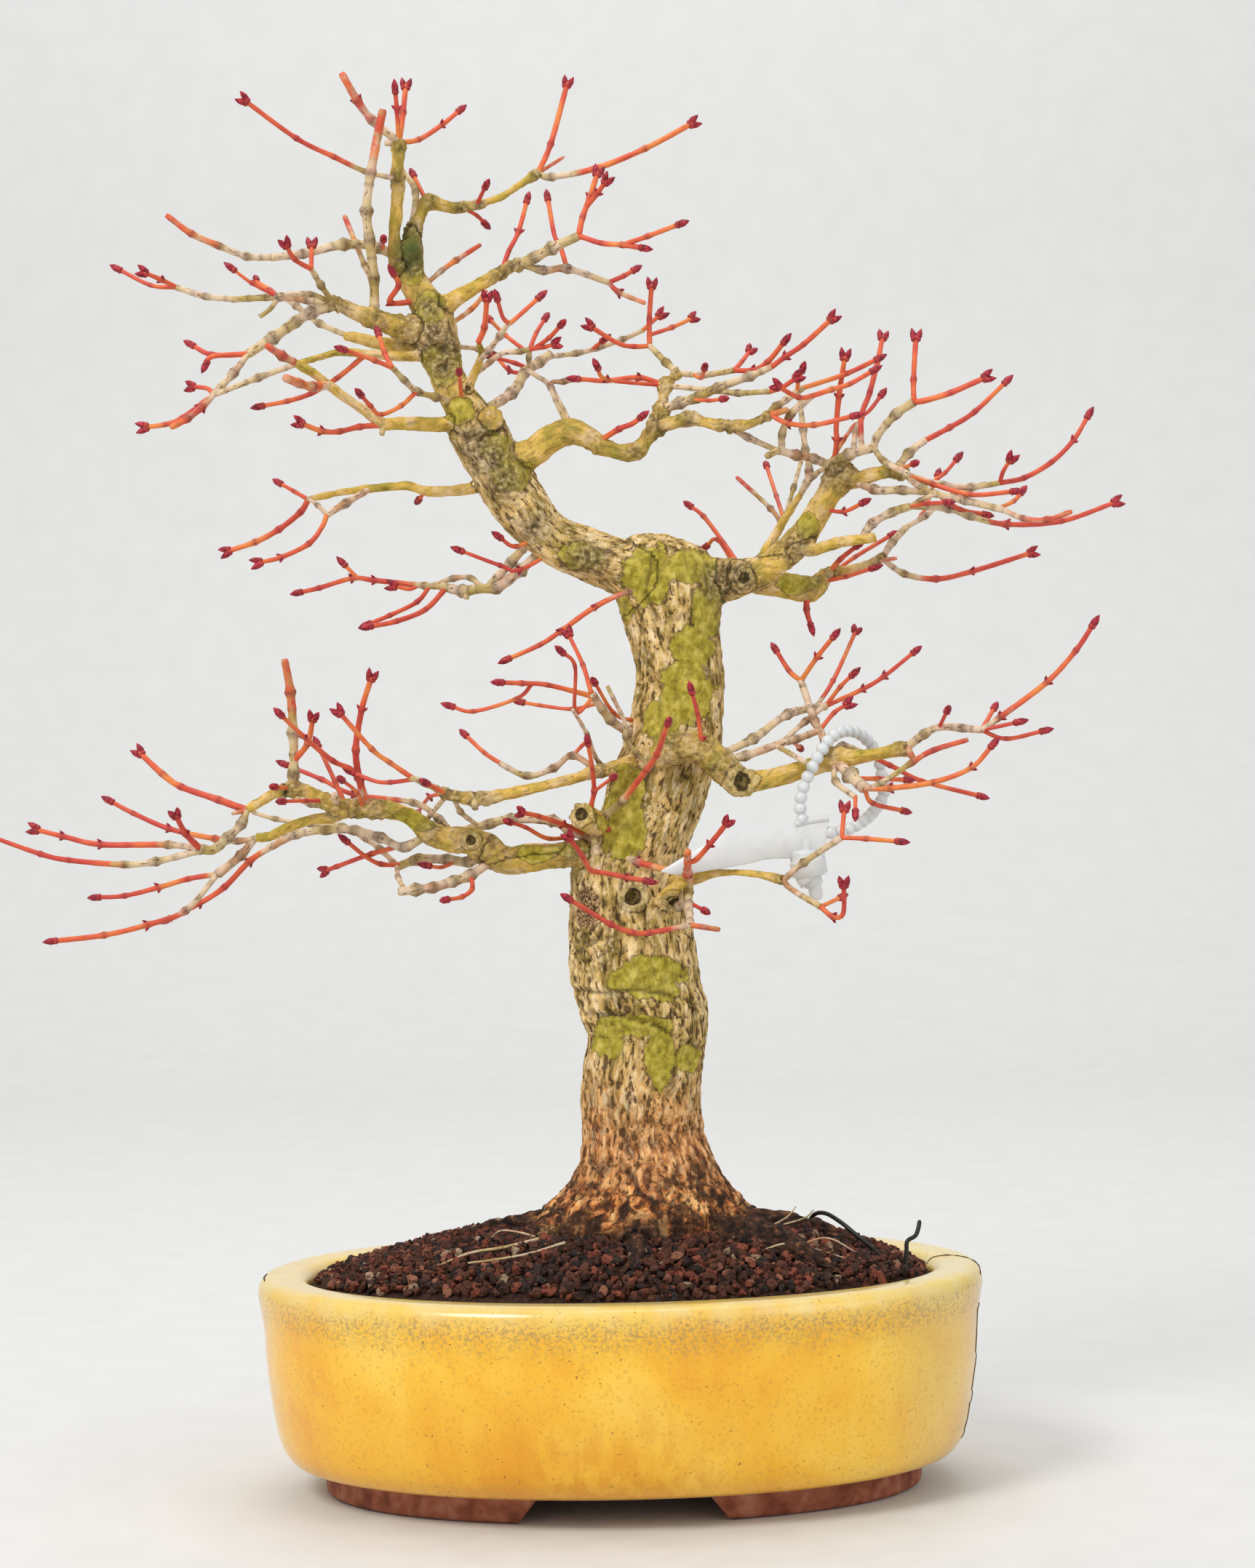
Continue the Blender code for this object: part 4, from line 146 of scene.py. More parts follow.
# Limbs: where each starts, then its points as seen: across, up, depth, thickness.
LIMBS = {
    "leader": [
        (9, 312, 2, 22), (-3, 315.5, 2, 19.5), (-12, 318.7, 1, 18), (-20, 322, 0, 17.5),
        (-28, 327.5, -1, 17.5), (-34.5, 336, -2, 19), (-41, 345.5, -3, 20.5),
        (-46.5, 354, -4, 19.5), (-50, 362, -4, 18.5), (-54, 369.5, -3, 14.5),
        (-58, 376, -2, 12.5), (-60.5, 382, 0, 11.8), (-63, 389, 1, 14.5),
        (-64.5, 396.5, 2, 15.8), (-66.5, 403, 3, 12.6), (-70, 409.5, 3, 10.2),
        (-73, 415.5, 3, 9.6), (-73.6, 420.5, 3, 10.5), (-72.4, 425, 3, 8.6), (-72.4, 429.5, 3, 5.2),
    ],
    "arch": [
        (-41, 350, -3, 12), (-31, 353.5, -6, 10.5), (-25.5, 358, -8, 9.8), (-18, 361.3, -10, 9),
        (-12, 359.3, -11, 8), (-7, 356.3, -12, 6.5), (-1, 354.2, -12, 5.4), (4.5, 354, -13, 5.8),
        (8, 358, -14, 4.8), (12, 363, -15, 7),
    ],
    "arch_right": [
        (12, 363, -15, 6), (18, 364.2, -18, 4.6), (23, 365.7, -20, 5.2), (28, 364.4, -22, 3.8),
        (36.5, 363, -25, 4.2), (41.5, 363.4, -26, 4), (46, 364.7, -28, 3), (51, 366.8, -30, 3.4),
    ],
    "arch_up": [
        (12.5, 363, -15, 6.5), (13.5, 368.5, -12, 5.4), (14, 372, -9, 4), (14.8, 377, -6, 5),
        (17, 379.5, -4, 3.2), (19.2, 381.2, -2, 4.2),
    ],
    "shoulder": [
        (20, 306, 4, 21), (30, 309.5, 2, 17), (39, 310.8, 0, 13.5), (48, 313, -3, 11),
        (56, 319, -5, 10), (62, 325.5, -7, 9.4), (67, 333, -8, 9), (71.5, 340.5, -9, 9),
        (75, 346.5, -10, 11), (71.5, 350.3, -11, 5),
    ],
    "shoulder_low": [
        (46, 310, 2, 10), (57, 308.2, 8, 9), (65.5, 307, 11, 8), (70.5, 312, 12, 5),
        (78, 313.7, 13, 3.4), (88, 316.7, 15, 3), (90, 318.8, 16, 3.4),
    ],
    "shoulder_right": [
        (74, 346, -10, 8), (81, 344.8, -13, 5.6), (88, 346.8, -17, 4.8), (94, 347.6, -21, 4.4),
        (97.5, 346.3, -22, 5),
    ],
    "mid_right": [
        (12, 249, -14, 9), (20, 252.5, -20, 10), (28, 251.5, -21, 10), (34, 246.5, -21, 10),
        (40, 241, -21, 9.4), (46, 241.2, -20, 7.2), (57, 243.5, -18, 7), (68, 246.8, -17, 6.6),
        (73, 248.5, -17, 8.4), (80, 249.3, -19, 5.4), (90, 250.8, -22, 4.6), (98, 252.7, -25, 5.4),
    ],
    "low_right": [
        (10, 203, -4, 8), (20, 206.5, -15, 6), (27, 208.6, -20, 5), (33, 209.5, -22, 3),
        (45, 209.2, -27, 2.7), (55.5, 207, -31, 3.6),
    ],
    "low_left": [
        (-8, 213, -6, 11), (-17, 216, -10, 9), (-30, 213.8, -14, 7.6), (-39, 213, -17, 8.5),
        (-46, 217, -18, 11), (-52, 220.2, -19, 9.6), (-60, 221, -20, 8), (-66, 223.2, -21, 7.5),
        (-71.5, 227.8, -22, 6.6), (-77, 230.5, -23, 6), (-85, 231.3, -24, 6.4),
        (-93, 231.6, -25, 5.4), (-98, 232.2, -26, 6.8), (-104, 235.2, -27, 5),
        (-110, 238, -28, 4.4), (-114, 238.5, -28, 6),
    ],
    "mid_left": [
        (4, 247.5, -12, 6), (-6, 244.7, -19, 4.8), (-14, 242.6, -22, 4), (-30, 238.6, -28, 4),
        (-40, 236.4, -31, 4.2), (-49, 234.8, -33, 4.6), (-58, 236, -35, 3.6), (-62, 236.9, -36, 4.4),
    ],
    "top_left": [
        (-64, 395.5, 2, 14), (-73, 396.5, -1, 9.5), (-81, 398.5, -4, 7.4), (-89, 401.3, -7, 5.8),
        (-96, 404.3, -9, 4.8), (-101, 405.8, -10, 4.4),
    ],
    "top_right": [
        (-64, 402, 3, 10), (-58.5, 406, 0, 6.6), (-53.5, 409, -2, 5.6), (-45, 413.8, -6, 4.4),
        (-38, 417.8, -9, 4), (-34.5, 418.6, -10, 5),
    ],
    "crown_right": [
        (-72.4, 427, 3, 6), (-69.7, 435, 6, 4.8), (-67, 440, 8, 5.6), (-61, 438.7, 10, 4.4),
        (-57, 438.2, 11, 3.8), (-50, 439.1, 13, 3), (-42, 441.6, 15, 2.8), (-35, 446, 17, 2.8),
        (-29, 449.9, 19, 3.6),
    ],
    "apex": [
        (-76.5, 418, 1, 7.5), (-78.4, 424.5, -1, 4.8), (-77.6, 436, -3, 4.6), (-77, 448, -4, 4.6),
        (-76.7, 457, -5, 4.4), (-76.6, 460.5, -5, 6.6),
    ],
}

# Twigs: name (where others grow from it), parent, thickness at start and end, depth of the
# end, what it ends in, and its points as seen.
TWIGS = [
    # Low left limb, its end
    ("", "low_left", 5.6, 4.6, -20, "join", [(-18, 218.3), (-30, 217.3), (-41, 215.6), (-47, 218)]),
    (
        "n1_up", "low_left", 3.4, 2.6, -34, "cut",
        [(-114, 239), (-112.8, 244), (-113, 257.5), (-114, 271.5), (-116, 283)],
    ),
    ("", "n1_up", 2.2, 1.8, -42, "pair", [(-112.6, 248), (-108, 254), (-106.2, 263)]),
    (
        "n1_out", "low_left", 4.2, 3.6, -30, "join",
        [(-114, 238), (-120, 236.5), (-125, 233.4), (-129, 231)],
    ),
    (
        "", "n1_out", 2.6, 1.9, -24, "pair",
        [(-128.5, 231.5), (-138.5, 234.5), (-151.5, 239), (-158, 243.5), (-166, 251)],
    ),
    ("", "n1_out", 1.6, 1.4, -33, "cut", [(-129, 230.4), (-134, 229.8)]),
    (
        "n2_down", "n1_out", 2.6, 3.4, -34, "join",
        [(-128.5, 230.5), (-131, 226), (-135.5, 221.5), (-140.5, 217.4), (-145, 217.8)],
    ),
    ("", "n2_down", 2.2, 1.8, -46, "pair", [(-146, 217.8), (-150, 223), (-153.5, 229.5)]),
    (
        "", "n2_down", 2.4, 1.7, -28, "pair",
        [(-144, 218.8), (-156, 219.1), (-179, 219.2), (-192, 222), (-202, 224.5)],
    ),
    (
        "", "n2_down", 2.5, 1.5, -40, "bud",
        [(-142, 216.2), (-160, 213.4), (-171, 212.3), (-190, 213.8), (-200, 216), (-218.5, 222.5)],
    ),
    (
        "n4", "low_left", 4.2, 3.6, -12, "join",
        [(-92, 229), (-100, 228.6), (-107, 227.8), (-114, 225.4), (-121, 222), (-126, 221.5)],
    ),
    (
        "", "n4", 2.2, 1.6, -2, "bud",
        [(-125, 221.5), (-132, 220.4), (-140, 221.2), (-155.5, 224.6), (-168, 230), (-176, 234.2)],
    ),
    ("n5", "n4", 2.4, 3.2, -8, "join", [(-125.5, 220.5), (-131, 215.5), (-139, 209)]),
    (
        "", "n5", 2.0, 1.6, 2, "bud",
        [(-138, 209.3), (-149, 207.4), (-159, 204.5), (-170.7, 201.6), (-180.5, 201)],
    ),
    (
        "", "n5", 2.0, 1.8, -18, "bud",
        [(-139, 208.5), (-150, 196.5), (-163, 191.6), (-178, 188), (-195.5, 186)],
    ),
    (
        "long_pale", "low_left", 3.0, 2.6, 6, "join",
        [(-70, 219), (-75, 218.3), (-83, 221.5), (-92, 224.1), (-101, 224.2), (-112, 222.6), (-121.5, 218)],
    ),
    (
        "", "long_pale", 2.2, 1.7, 14, "bud",
        [(-120.5, 218.8), (-128, 213.5), (-136.5, 204.7), (-145, 199), (-156, 193.4)],
    ),
    # Low left limb, twigs above it
    (
        "", "low_left", 2.6, 1.9, -44, "pair",
        [(-86, 232), (-90, 241), (-91.5, 251.5), (-89.5, 265.5), (-86, 277)],
    ),
    (
        "", "low_left", 2.0, 1.5, -56, "bud",
        [(-88, 234), (-91.5, 243.5), (-99.5, 248), (-109, 256), (-117.5, 264)],
    ),
    ("", "low_left", 1.8, 1.5, -14, "bud", [(-94.5, 232), (-98.5, 240.5), (-104.7, 253.7)]),
    ("", "low_left", 1.5, 1.3, -48, "bud", [(-88, 233), (-91, 237), (-96.5, 241.5)]),
    (
        "", "low_left", 2.2, 1.5, 2, "bud",
        [(-56, 222), (-63, 228), (-71.5, 233.5), (-92, 236.4), (-103, 241.5), (-116, 246.8)],
    ),
    ("", "low_left", 1.8, 1.5, -10, "join", [(-96, 228.5), (-107, 232.9), (-115, 237)]),
    ("", "low_left", 1.4, 1.3, -46, "bud", [(-103, 234.3), (-109, 234.2), (-116.8, 234)]),
    ("", "low_left", 1.4, 1.3, -38, "bud", [(-114, 238), (-119.5, 239)]),
    ("", "low_left", 2.6, 2.0, -34, "knot", [(-97.5, 233), (-99, 236.5)]),
    # Low left limb, twigs below it
    (
        "below", "low_left", 3.4, 3.0, 0, "join",
        [(-46, 213.5), (-53, 213.3), (-60, 214), (-70, 214), (-77, 211.6)],
    ),
    ("", "below", 1.8, 1.5, -8, "bud", [(-76, 211.7), (-83, 212.5), (-88, 215), (-95, 220.6)]),
    (
        "", "below", 1.9, 1.5, 14, "join",
        [(-76.5, 211.5), (-83, 217.5), (-88, 221), (-96, 225.4), (-107, 226.2), (-119, 228), (-127, 230.3)],
    ),
    (
        "", "low_left", 1.9, 1.6, 10, "pair",
        [(-68, 221), (-74, 219.4), (-86, 216), (-98, 211.6), (-102.5, 210)],
    ),
    ("", "below", 1.5, 1.3, -12, "bud", [(-56, 213), (-62, 211.4), (-67, 212)]),
    (
        "under", "low_left", 3.2, 3.0, -34, "knot",
        [(-45, 210.5), (-52, 208.8), (-58, 206.6), (-65, 204.4), (-71, 203.6), (-76.5, 203)],
    ),
    ("", "under", 1.7, 1.4, -42, "bud", [(-51, 208.3), (-51.5, 204), (-55, 201.2), (-60.5, 200.2)]),
    ("", "under", 1.8, 1.6, -12, "join", [(-75, 203.5), (-77, 208), (-77.3, 211.5)]),
    # Grey-green branch and sprouts above the low left limb
    (
        "grey", "trunk", 3.2, 3.0, -2, "join",
        [(-12, 222), (-18, 224), (-24, 227.3), (-38, 228), (-46, 226.2), (-55, 224)],
    ),
    ("", "trunk", 1.9, 1.7, -40, "pair", [(-12, 223), (-20, 226), (-29, 229), (-35, 230.3)]),
    ("", "trunk", 1.7, 1.4, -30, "bud", [(-14, 222.5), (-25, 221.2), (-33, 225), (-38.8, 227)]),
    # Mid left limb
    ("ml_up", "mid_left", 2.4, 2.0, -42, "join", [(-60, 236.5), (-68, 240.5), (-73, 242.2)]),
    ("", "ml_up", 1.8, 1.6, -54, "pair", [(-72, 242), (-80, 247.5), (-86, 252), (-97.5, 265)]),
    ("", "ml_up", 1.6, 1.4, -34, "bud", [(-72, 242), (-79.5, 240.6), (-85, 241), (-93, 244.2)]),
    ("", "mid_left", 1.7, 1.6, -16, "join", [(-59, 235.5), (-55.5, 230.5), (-50, 226)]),
    ("", "mid_left", 1.5, 1.4, -44, "bud", [(-61, 236), (-67.5, 240.4)]),
    ("", "mid_left", 1.9, 1.6, -16, "join", [(-60, 235), (-67, 228)]),
    ("", "mid_left", 1.5, 1.3, 2, "bud", [(-60, 237.5), (-66, 235.6), (-70.4, 229.8)]),
    ("", "mid_left", 2.6, 2.2, -38, "knot", [(-50, 235), (-50.5, 231.8)]),
    (
        "ml_twig", "mid_left", 2.2, 1.9, -12, "join",
        [(-8, 245), (-17, 249.8), (-23.5, 245.5), (-32.5, 242.8), (-42, 247)],
    ),
    ("", "ml_twig", 1.6, 1.5, 2, "bud", [(-41, 246.6), (-47, 250.5), (-54, 257)]),
    ("", "ml_twig", 1.5, 1.2, -20, "cut", [(-17, 249.5), (-11.5, 255.5)]),
    # Small branches on the trunk's left side
    ("side", "trunk", 3.2, 2.8, -24, "join", [(3, 258), (-4, 262.2), (-10.5, 271.2)]),
    (
        "side_out", "side", 1.9, 1.5, -40, "bud",
        [(-10, 270.5), (-25.5, 274), (-34.5, 274.6), (-42, 274.9)],
    ),
    ("", "side_out", 1.4, 1.3, -28, "bud", [(-31, 274.4), (-36, 269.5), (-51, 265), (-59, 266.8)]),
    ("", "side", 1.7, 1.4, -16, "pair", [(-10.3, 270.8), (-13.5, 281), (-18.7, 292)]),
    ("", "side", 1.4, 1.3, -44, "bud", [(-9, 270), (-16, 264.7), (-16.2, 280.5), (-20.8, 285.5)]),
    ("", "trunk", 1.5, 1.3, -30, "bud", [(3, 262), (-3, 264.6), (-9.5, 275)]),
    (
        "pink", "trunk", 1.7, 1.5, -30, "join",
        [(10, 246), (5, 250.5), (1.2, 256), (1, 261), (-5, 273.5)],
    ),
    ("", "side", 1.4, 1.3, -8, "bud", [(-8, 268), (-17, 265.8), (-28, 267), (-34.8, 268.2)]),
    ("", "trunk", 1.5, 1.3, -34, "join", [(-2, 246), (-8, 247.5), (-12, 257), (-17, 265.7)]),
    (
        "front", "trunk", 1.8, 1.5, -36, "bud",
        [(-5, 224.5), (-10.3, 231), (-9.6, 237.5), (-10.3, 245.5), (-11.8, 254.5)],
    ),
    ("", "front", 1.3, 1.2, -42, "bud", [(-9.6, 237.5), (-3, 242.3)]),
    # Shoots in front of the trunk
    (
        "near", "trunk", 2.8, 1.8, -62, "bud",
        [(-14, 219), (-10.5, 224.3), (-6, 229), (0, 234.2), (8.5, 245), (12, 250.3), (15.8, 261)],
    ),
    ("near_low", "near", 2.2, 1.9, -48, "join", [(-11, 224), (-9, 218), (-8, 209.7)]),
    ("", "near_low", 1.8, 1.6, -62, "pair", [(-8, 210), (-11, 210.6), (-13.5, 215), (-18.5, 222)]),
    ("", "near_low", 1.8, 1.5, -50, "bud", [(-8, 210), (-3.5, 209), (1, 208), (8.8, 206.6)]),
    ("", "trunk", 2.8, 2.2, -23.5, "cut", [(-12, 222), (-3, 216.6), (5, 213.4), (18, 209.7)]),
    ("spur", "trunk", 2.8, 2.6, -44, "cut", [(19, 198), (22.8, 203), (22.6, 209), (22.5, 217)]),
    ("", "spur", 1.9, 1.7, -56, "pair", [(22.5, 212.8), (25.5, 214), (30, 219), (36.4, 227)]),
    ("spur_low", "spur", 2.3, 2.8, -46, "join", [(22.8, 204), (23, 198.5), (23.4, 191.5)]),
    ("", "spur_low", 2.0, 1.8, -42, "cut", [(23.4, 192), (27, 191), (33.5, 190)]),
    (
        "", "spur_low", 1.9, 1.6, -72, "bud",
        [(23, 191.5), (9, 188.8), (3.5, 189), (-4, 191.8), (-18.5, 200.6)],
    ),
    ("", "spur_low", 1.4, 1.3, -40, "bud", [(23.2, 199), (28.5, 196.4)]),
    ("", "trunk", 5.0, 4.4, -30, "knot", [(12, 199), (15.5, 202), (21, 206.6)]),
    ("", "trunk", 10.0, 8.8, -22, "knot", [(-8, 226), (-14, 229.2)]),
    # Small upper left twigs
    ("", "trunk", 2.0, 1.6, -6, "bud", [(2, 306), (-9, 301), (-21, 292.6), (-28, 288), (-39.5, 282.8)]),
    (
        "upper_left", "leader", 3.4, 3.4, 10, "join",
        [(-27, 317), (-35, 313.5), (-43, 307.6), (-50, 307.3)],
    ),
    ("", "leader", 3.0, 3.0, 10, "join", [(-33, 321), (-38, 316.5), (-45.5, 308)]),
    ("ul_out", "upper_left", 3.6, 3.2, 18, "join", [(-49, 307.2), (-55, 306.4), (-62, 308)]),
    (
        "ul_long", "ul_out", 2.3, 1.6, 34, "bud",
        [(-61, 307.8), (-68, 308.2), (-85, 310), (-92.5, 310.7), (-104, 307.4), (-111, 305.8)],
    ),
    ("", "ul_long", 1.5, 1.4, 28, "bud", [(-91, 310.6), (-95.8, 315.8)]),
    ("", "upper_left", 1.9, 1.7, 24, "join", [(-49, 307.5), (-52, 310.8), (-58, 310.7), (-66, 307.8)]),
    ("", "ul_long", 1.7, 1.5, 14, "bud", [(-66, 308.3), (-70.5, 302.6), (-79.8, 298), (-87.5, 294.8)]),
    ("", "ul_out", 2.0, 1.7, 6, "bud", [(-61, 307.6), (-67.6, 300), (-77.5, 296), (-87, 294)]),
    ("", "ul_long", 1.5, 1.4, 20, "pair", [(-69, 308), (-73, 307), (-79, 308.2)]),
    ("", "ul_out", 2.8, 2.0, 12, "knot", [(-53, 306.5), (-53.5, 303.6)]),
    ("", "leader", 1.5, 1.3, -14, "bud", [(-24, 316), (-35, 313.7), (-42, 315.2), (-55.8, 320.3)]),
    ("", "leader", 1.6, 1.4, -12, "bud", [(-31, 319), (-36.5, 321.7), (-42.3, 325)]),
    # Thin left branch at half height
    (
        "left_thin", "leader", 4.6, 2.6, 22, "join",
        [(-44, 342), (-57, 340.8), (-67.5, 340.8), (-74, 342.5), (-86.5, 341.5), (-98, 340), (-107.8, 337.8)],
    ),
    ("", "left_thin", 1.5, 1.3, 14, "bud", [(-67, 340.5), (-70, 337.5)]),
    ("", "left_thin", 1.6, 1.4, 30, "bud", [(-107.3, 337.9), (-112.5, 340.5), (-117.8, 343.5)]),
    (
        "", "left_thin", 2.2, 1.8, 26, "pair",
        [(-107.8, 338), (-110.5, 333.5), (-118, 327.5), (-126, 323.2), (-136, 319.8)],
    ),
    ("lt_low", "left_thin", 2.2, 2.4, 6, "join", [(-86, 341.3), (-95, 336.5), (-101.5, 332.5)]),
    (
        "", "lt_low", 1.9, 1.6, 0, "pair",
        [(-101, 333), (-103, 328.5), (-107.6, 322.6), (-117, 318), (-125.3, 316)],
    ),
    ("", "lt_low", 1.5, 1.4, 20, "join", [(-101, 333), (-104.5, 335.7), (-107.8, 338)]),
    # Forked left branch
    (
        "left_forked", "leader", 6.0, 4.4, -22, "join",
        [(-53, 366), (-60, 364), (-65.5, 363.5), (-74, 364), (-82, 363.4)],
    ),
    (
        "lf_up", "left_forked", 4.2, 3.2, -40, "join",
        [(-81.5, 363.4), (-88, 368), (-94.5, 372.4), (-101, 377.2), (-106, 381), (-112.7, 385)],
    ),
    ("", "lf_up", 2.8, 2.5, -46, "cut", [(-112, 384.8), (-117, 387.3), (-122.3, 390.9)]),
    ("", "lf_up", 3.2, 2.8, -52, "cut", [(-101.5, 377), (-106.5, 376.6), (-111, 377.8), (-116, 379.7)]),
    ("", "left_forked", 2.4, 2.0, -24, "knot", [(-82, 364), (-82.5, 360.2)]),
    (
        "", "left_forked", 2.1, 1.7, -36, "pair",
        [(-82.5, 363.3), (-90, 362.8), (-97, 361.2), (-103, 361.3), (-111, 364.2)],
    ),
    (
        "lf_low", "leader", 2.4, 1.9, -30, "join",
        [(-57, 370.5), (-64, 373), (-70.5, 375), (-75, 379), (-79, 383.2)],
    ),
    (
        "", "lf_low", 1.7, 1.4, -44, "bud",
        [(-70, 374.5), (-76, 370), (-83, 367), (-86.5, 370), (-90, 374)],
    ),
    ("", "lf_low", 1.7, 1.5, -42, "bud", [(-78.5, 383), (-85, 385.6), (-90, 387.4), (-96, 389.4)]),
    ("", "lf_low", 1.7, 1.5, -22, "bud", [(-78.8, 383), (-81.5, 388), (-83.8, 395)]),
    # Orange upright and knobs on the leader's right side
    ("", "leader", 9.5, 8.0, -13, "knot", [(-50, 365.5), (-43.5, 366)]),
    (
        "upright", "leader", 4.4, 2.4, -24, "join",
        [(-56, 370), (-53, 376), (-50, 383), (-48.3, 388), (-49.4, 391.8)],
    ),
    ("", "upright", 2.1, 1.9, -34, "pair", [(-49.2, 391.5), (-47.3, 397), (-46.4, 407.5)]),
    ("", "upright", 1.5, 1.4, -30, "bud", [(-56, 372), (-56, 381.6)]),
    (
        "up_pale", "upright", 2.0, 1.7, -40, "join",
        [(-48.7, 386), (-45.8, 389), (-42, 394), (-39, 398.5)],
    ),
    ("", "up_pale", 1.6, 1.4, -48, "bud", [(-39, 398), (-41, 400.5), (-43, 407.2)]),
    ("", "up_pale", 1.6, 1.5, -34, "bud", [(-39.5, 398), (-36.5, 400), (-28.2, 407.5)]),
    (
        "up_long", "upright", 1.9, 1.7, -10, "join",
        [(-51, 380), (-45.5, 385), (-41, 388), (-35, 388.7), (-30, 389.8)],
    ),
    ("", "up_long", 1.6, 1.4, -18, "pair", [(-31, 389.6), (-26.5, 390.2), (-22.5, 391.4)]),
    ("", "up_long", 1.6, 1.4, 2, "bud", [(-31.3, 389.5), (-29.5, 395), (-26.3, 400.2)]),
    ("", "up_long", 1.6, 1.5, -26, "bud", [(-30, 389.8), (-25, 393.4), (-20.8, 398)]),
    ("", "up_long", 1.5, 1.4, 14, "bud", [(-33, 389), (-40, 394.2), (-45.6, 399.8)]),
    (
        "top_of_arch", "leader", 3.6, 3.2, 10, "join",
        [(-44, 370), (-38, 374.3), (-33.5, 381.3), (-28.5, 385), (-24.5, 387.8)],
    ),
    (
        "ta_out", "top_of_arch", 1.9, 1.7, 22, "join",
        [(-25.5, 387.2), (-16, 388), (-8.5, 389.8), (0, 392.7), (7, 395.8)],
    ),
    ("", "ta_out", 1.4, 1.3, 12, "bud", [(-10, 389.6), (-6.2, 392.7)]),
    ("", "ta_out", 1.6, 1.5, 24, "pair", [(6.5, 395.6), (9.8, 398.4), (13.5, 401.5)]),
    ("", "top_of_arch", 1.6, 1.5, 4, "bud", [(-31.5, 382.8), (-36.5, 384.6), (-45.3, 387)]),
    ("", "top_of_arch", 1.8, 1.6, -4, "join", [(-31.5, 383.5), (-32, 386.8), (-31.3, 389.8)]),
    ("", "top_of_arch", 1.5, 1.4, 16, "bud", [(-34, 381), (-38.5, 382), (-43.6, 387.2)]),
    ("", "leader", 1.7, 1.5, 16, "join", [(-54, 393), (-49, 389.4), (-44, 386.2)]),
    ("", "leader", 1.8, 1.6, 14, "cut", [(-58, 395), (-52, 403), (-46.6, 409.5)]),
    ("", "leader", 1.8, 1.7, 20, "cut", [(-70, 410.5), (-62, 416.4), (-57, 420), (-48.7, 425.4)]),
    # Arch, its upright twigs
    ("", "arch", 1.9, 1.7, 2, "join", [(-16.5, 362), (-24.5, 376.3), (-29, 380), (-32.5, 382.3)]),
    ("", "arch", 2.2, 1.7, -22, "bud", [(-7.5, 357.5), (-1, 362), (3.5, 363.8), (6.8, 366.3)]),
    (
        "", "arch_up", 2.0, 1.6, -16, "bud",
        [(14.5, 377), (6, 379.7), (-5.5, 378.6), (-12, 379), (-16, 379.3)],
    ),
    ("", "arch_up", 1.5, 1.4, -26, "bud", [(9, 378.8), (-5, 379), (-8.6, 383.6)]),
    ("", "arch", 1.6, 1.5, 0, "join", [(-20, 369), (-24.5, 376.5), (-20, 378.3), (-13, 379)]),
    ("au_left", "arch_up", 2.4, 2.2, 8, "join", [(19, 381), (15, 385), (9.5, 390.6)]),
    ("au_red", "au_left", 2.0, 1.8, 12, "pair", [(9.5, 390.5), (9.4, 400), (10.2, 411.8)]),
    ("", "au_left", 1.8, 1.6, 2, "pair", [(10, 390.3), (4, 390.4), (-1.5, 391.6), (-11.3, 397.6)]),
    ("", "au_red", 1.6, 1.5, 22, "pair", [(9.4, 395), (17, 396.9), (24.5, 400.3)]),
    ("au_out", "arch_up", 2.2, 2.0, -14, "join", [(19, 381), (28, 380.6), (38.5, 382.2)]),
    ("", "au_out", 1.7, 1.5, -4, "pair", [(38, 382), (41, 385), (44.3, 389.3)]),
    ("", "au_out", 2.0, 1.7, -24, "bud", [(38, 382), (45, 382.2), (50, 385), (56, 392.3)]),
    ("", "au_out", 1.4, 1.3, -20, "bud", [(24, 376), (27.2, 379.6), (28.4, 383.2)]),
    (
        "fan", "arch_up", 3.4, 2.2, -26, "join",
        [(14, 369), (20, 371), (26, 372.8), (33, 376.2), (44, 380.2), (51.5, 383.5)],
    ),
    ("", "fan", 1.9, 1.7, -36, "pair", [(51, 383.4), (56, 386.8), (62.5, 391.2), (72.5, 400.3)]),
    ("", "fan", 1.4, 1.3, -32, "bud", [(25, 372.5), (30, 371.8), (34.8, 372.4)]),
    ("fan_low", "arch_up", 2.0, 1.9, -30, "join", [(15.5, 376.3), (31, 375.3), (40, 374.4), (51, 375)]),
    ("", "fan_low", 1.8, 1.6, -38, "pair", [(50.5, 375), (55, 376.3), (60.5, 380)]),
    # Arch, its right end
    (
        "ar_up", "arch_right", 2.4, 2.4, -20, "join",
        [(50, 366.5), (53, 369.5), (57, 372.5), (61.8, 376)],
    ),
    ("", "ar_up", 1.8, 1.7, -14, "bud", [(61.5, 376), (77, 381), (88, 386.2)]),
    ("", "ar_up", 1.5, 1.4, -28, "bud", [(60.5, 375.5), (60.5, 378), (62, 382.6)]),
    ("", "arch_right", 2.2, 2.2, -32, "cut", [(51.5, 367), (57, 368.7)]),
    ("", "arch_right", 1.8, 1.6, -38, "bud", [(50.5, 366), (57, 364), (66, 363.4), (80, 366.6)]),
    ("", "arch_right", 2.2, 2.0, -20, "join", [(36, 362.5), (43, 359.3), (53, 354.8)]),
    # Shoulder limb
    ("sh_left", "shoulder", 3.0, 2.6, -24, "join", [(74, 350), (66, 351.8), (60, 353), (53.5, 354.6)]),
    ("", "sh_left", 2.6, 2.0, -26, "knot", [(54, 354.5), (49.5, 352.6)]),
    ("sl_up", "sh_left", 2.3, 2.4, -34, "join", [(55, 354.8), (55, 360), (58, 367), (65, 373.3)]),
    ("", "sl_up", 1.9, 1.6, -28, "bud", [(64.5, 373), (72, 375.6), (78, 377.4), (86.5, 382.2)]),
    ("", "sl_up", 1.7, 1.5, -44, "pair", [(65, 373.3), (60.5, 373), (53, 377)]),
    (
        "olive", "shoulder", 4.4, 2.6, 12, "join",
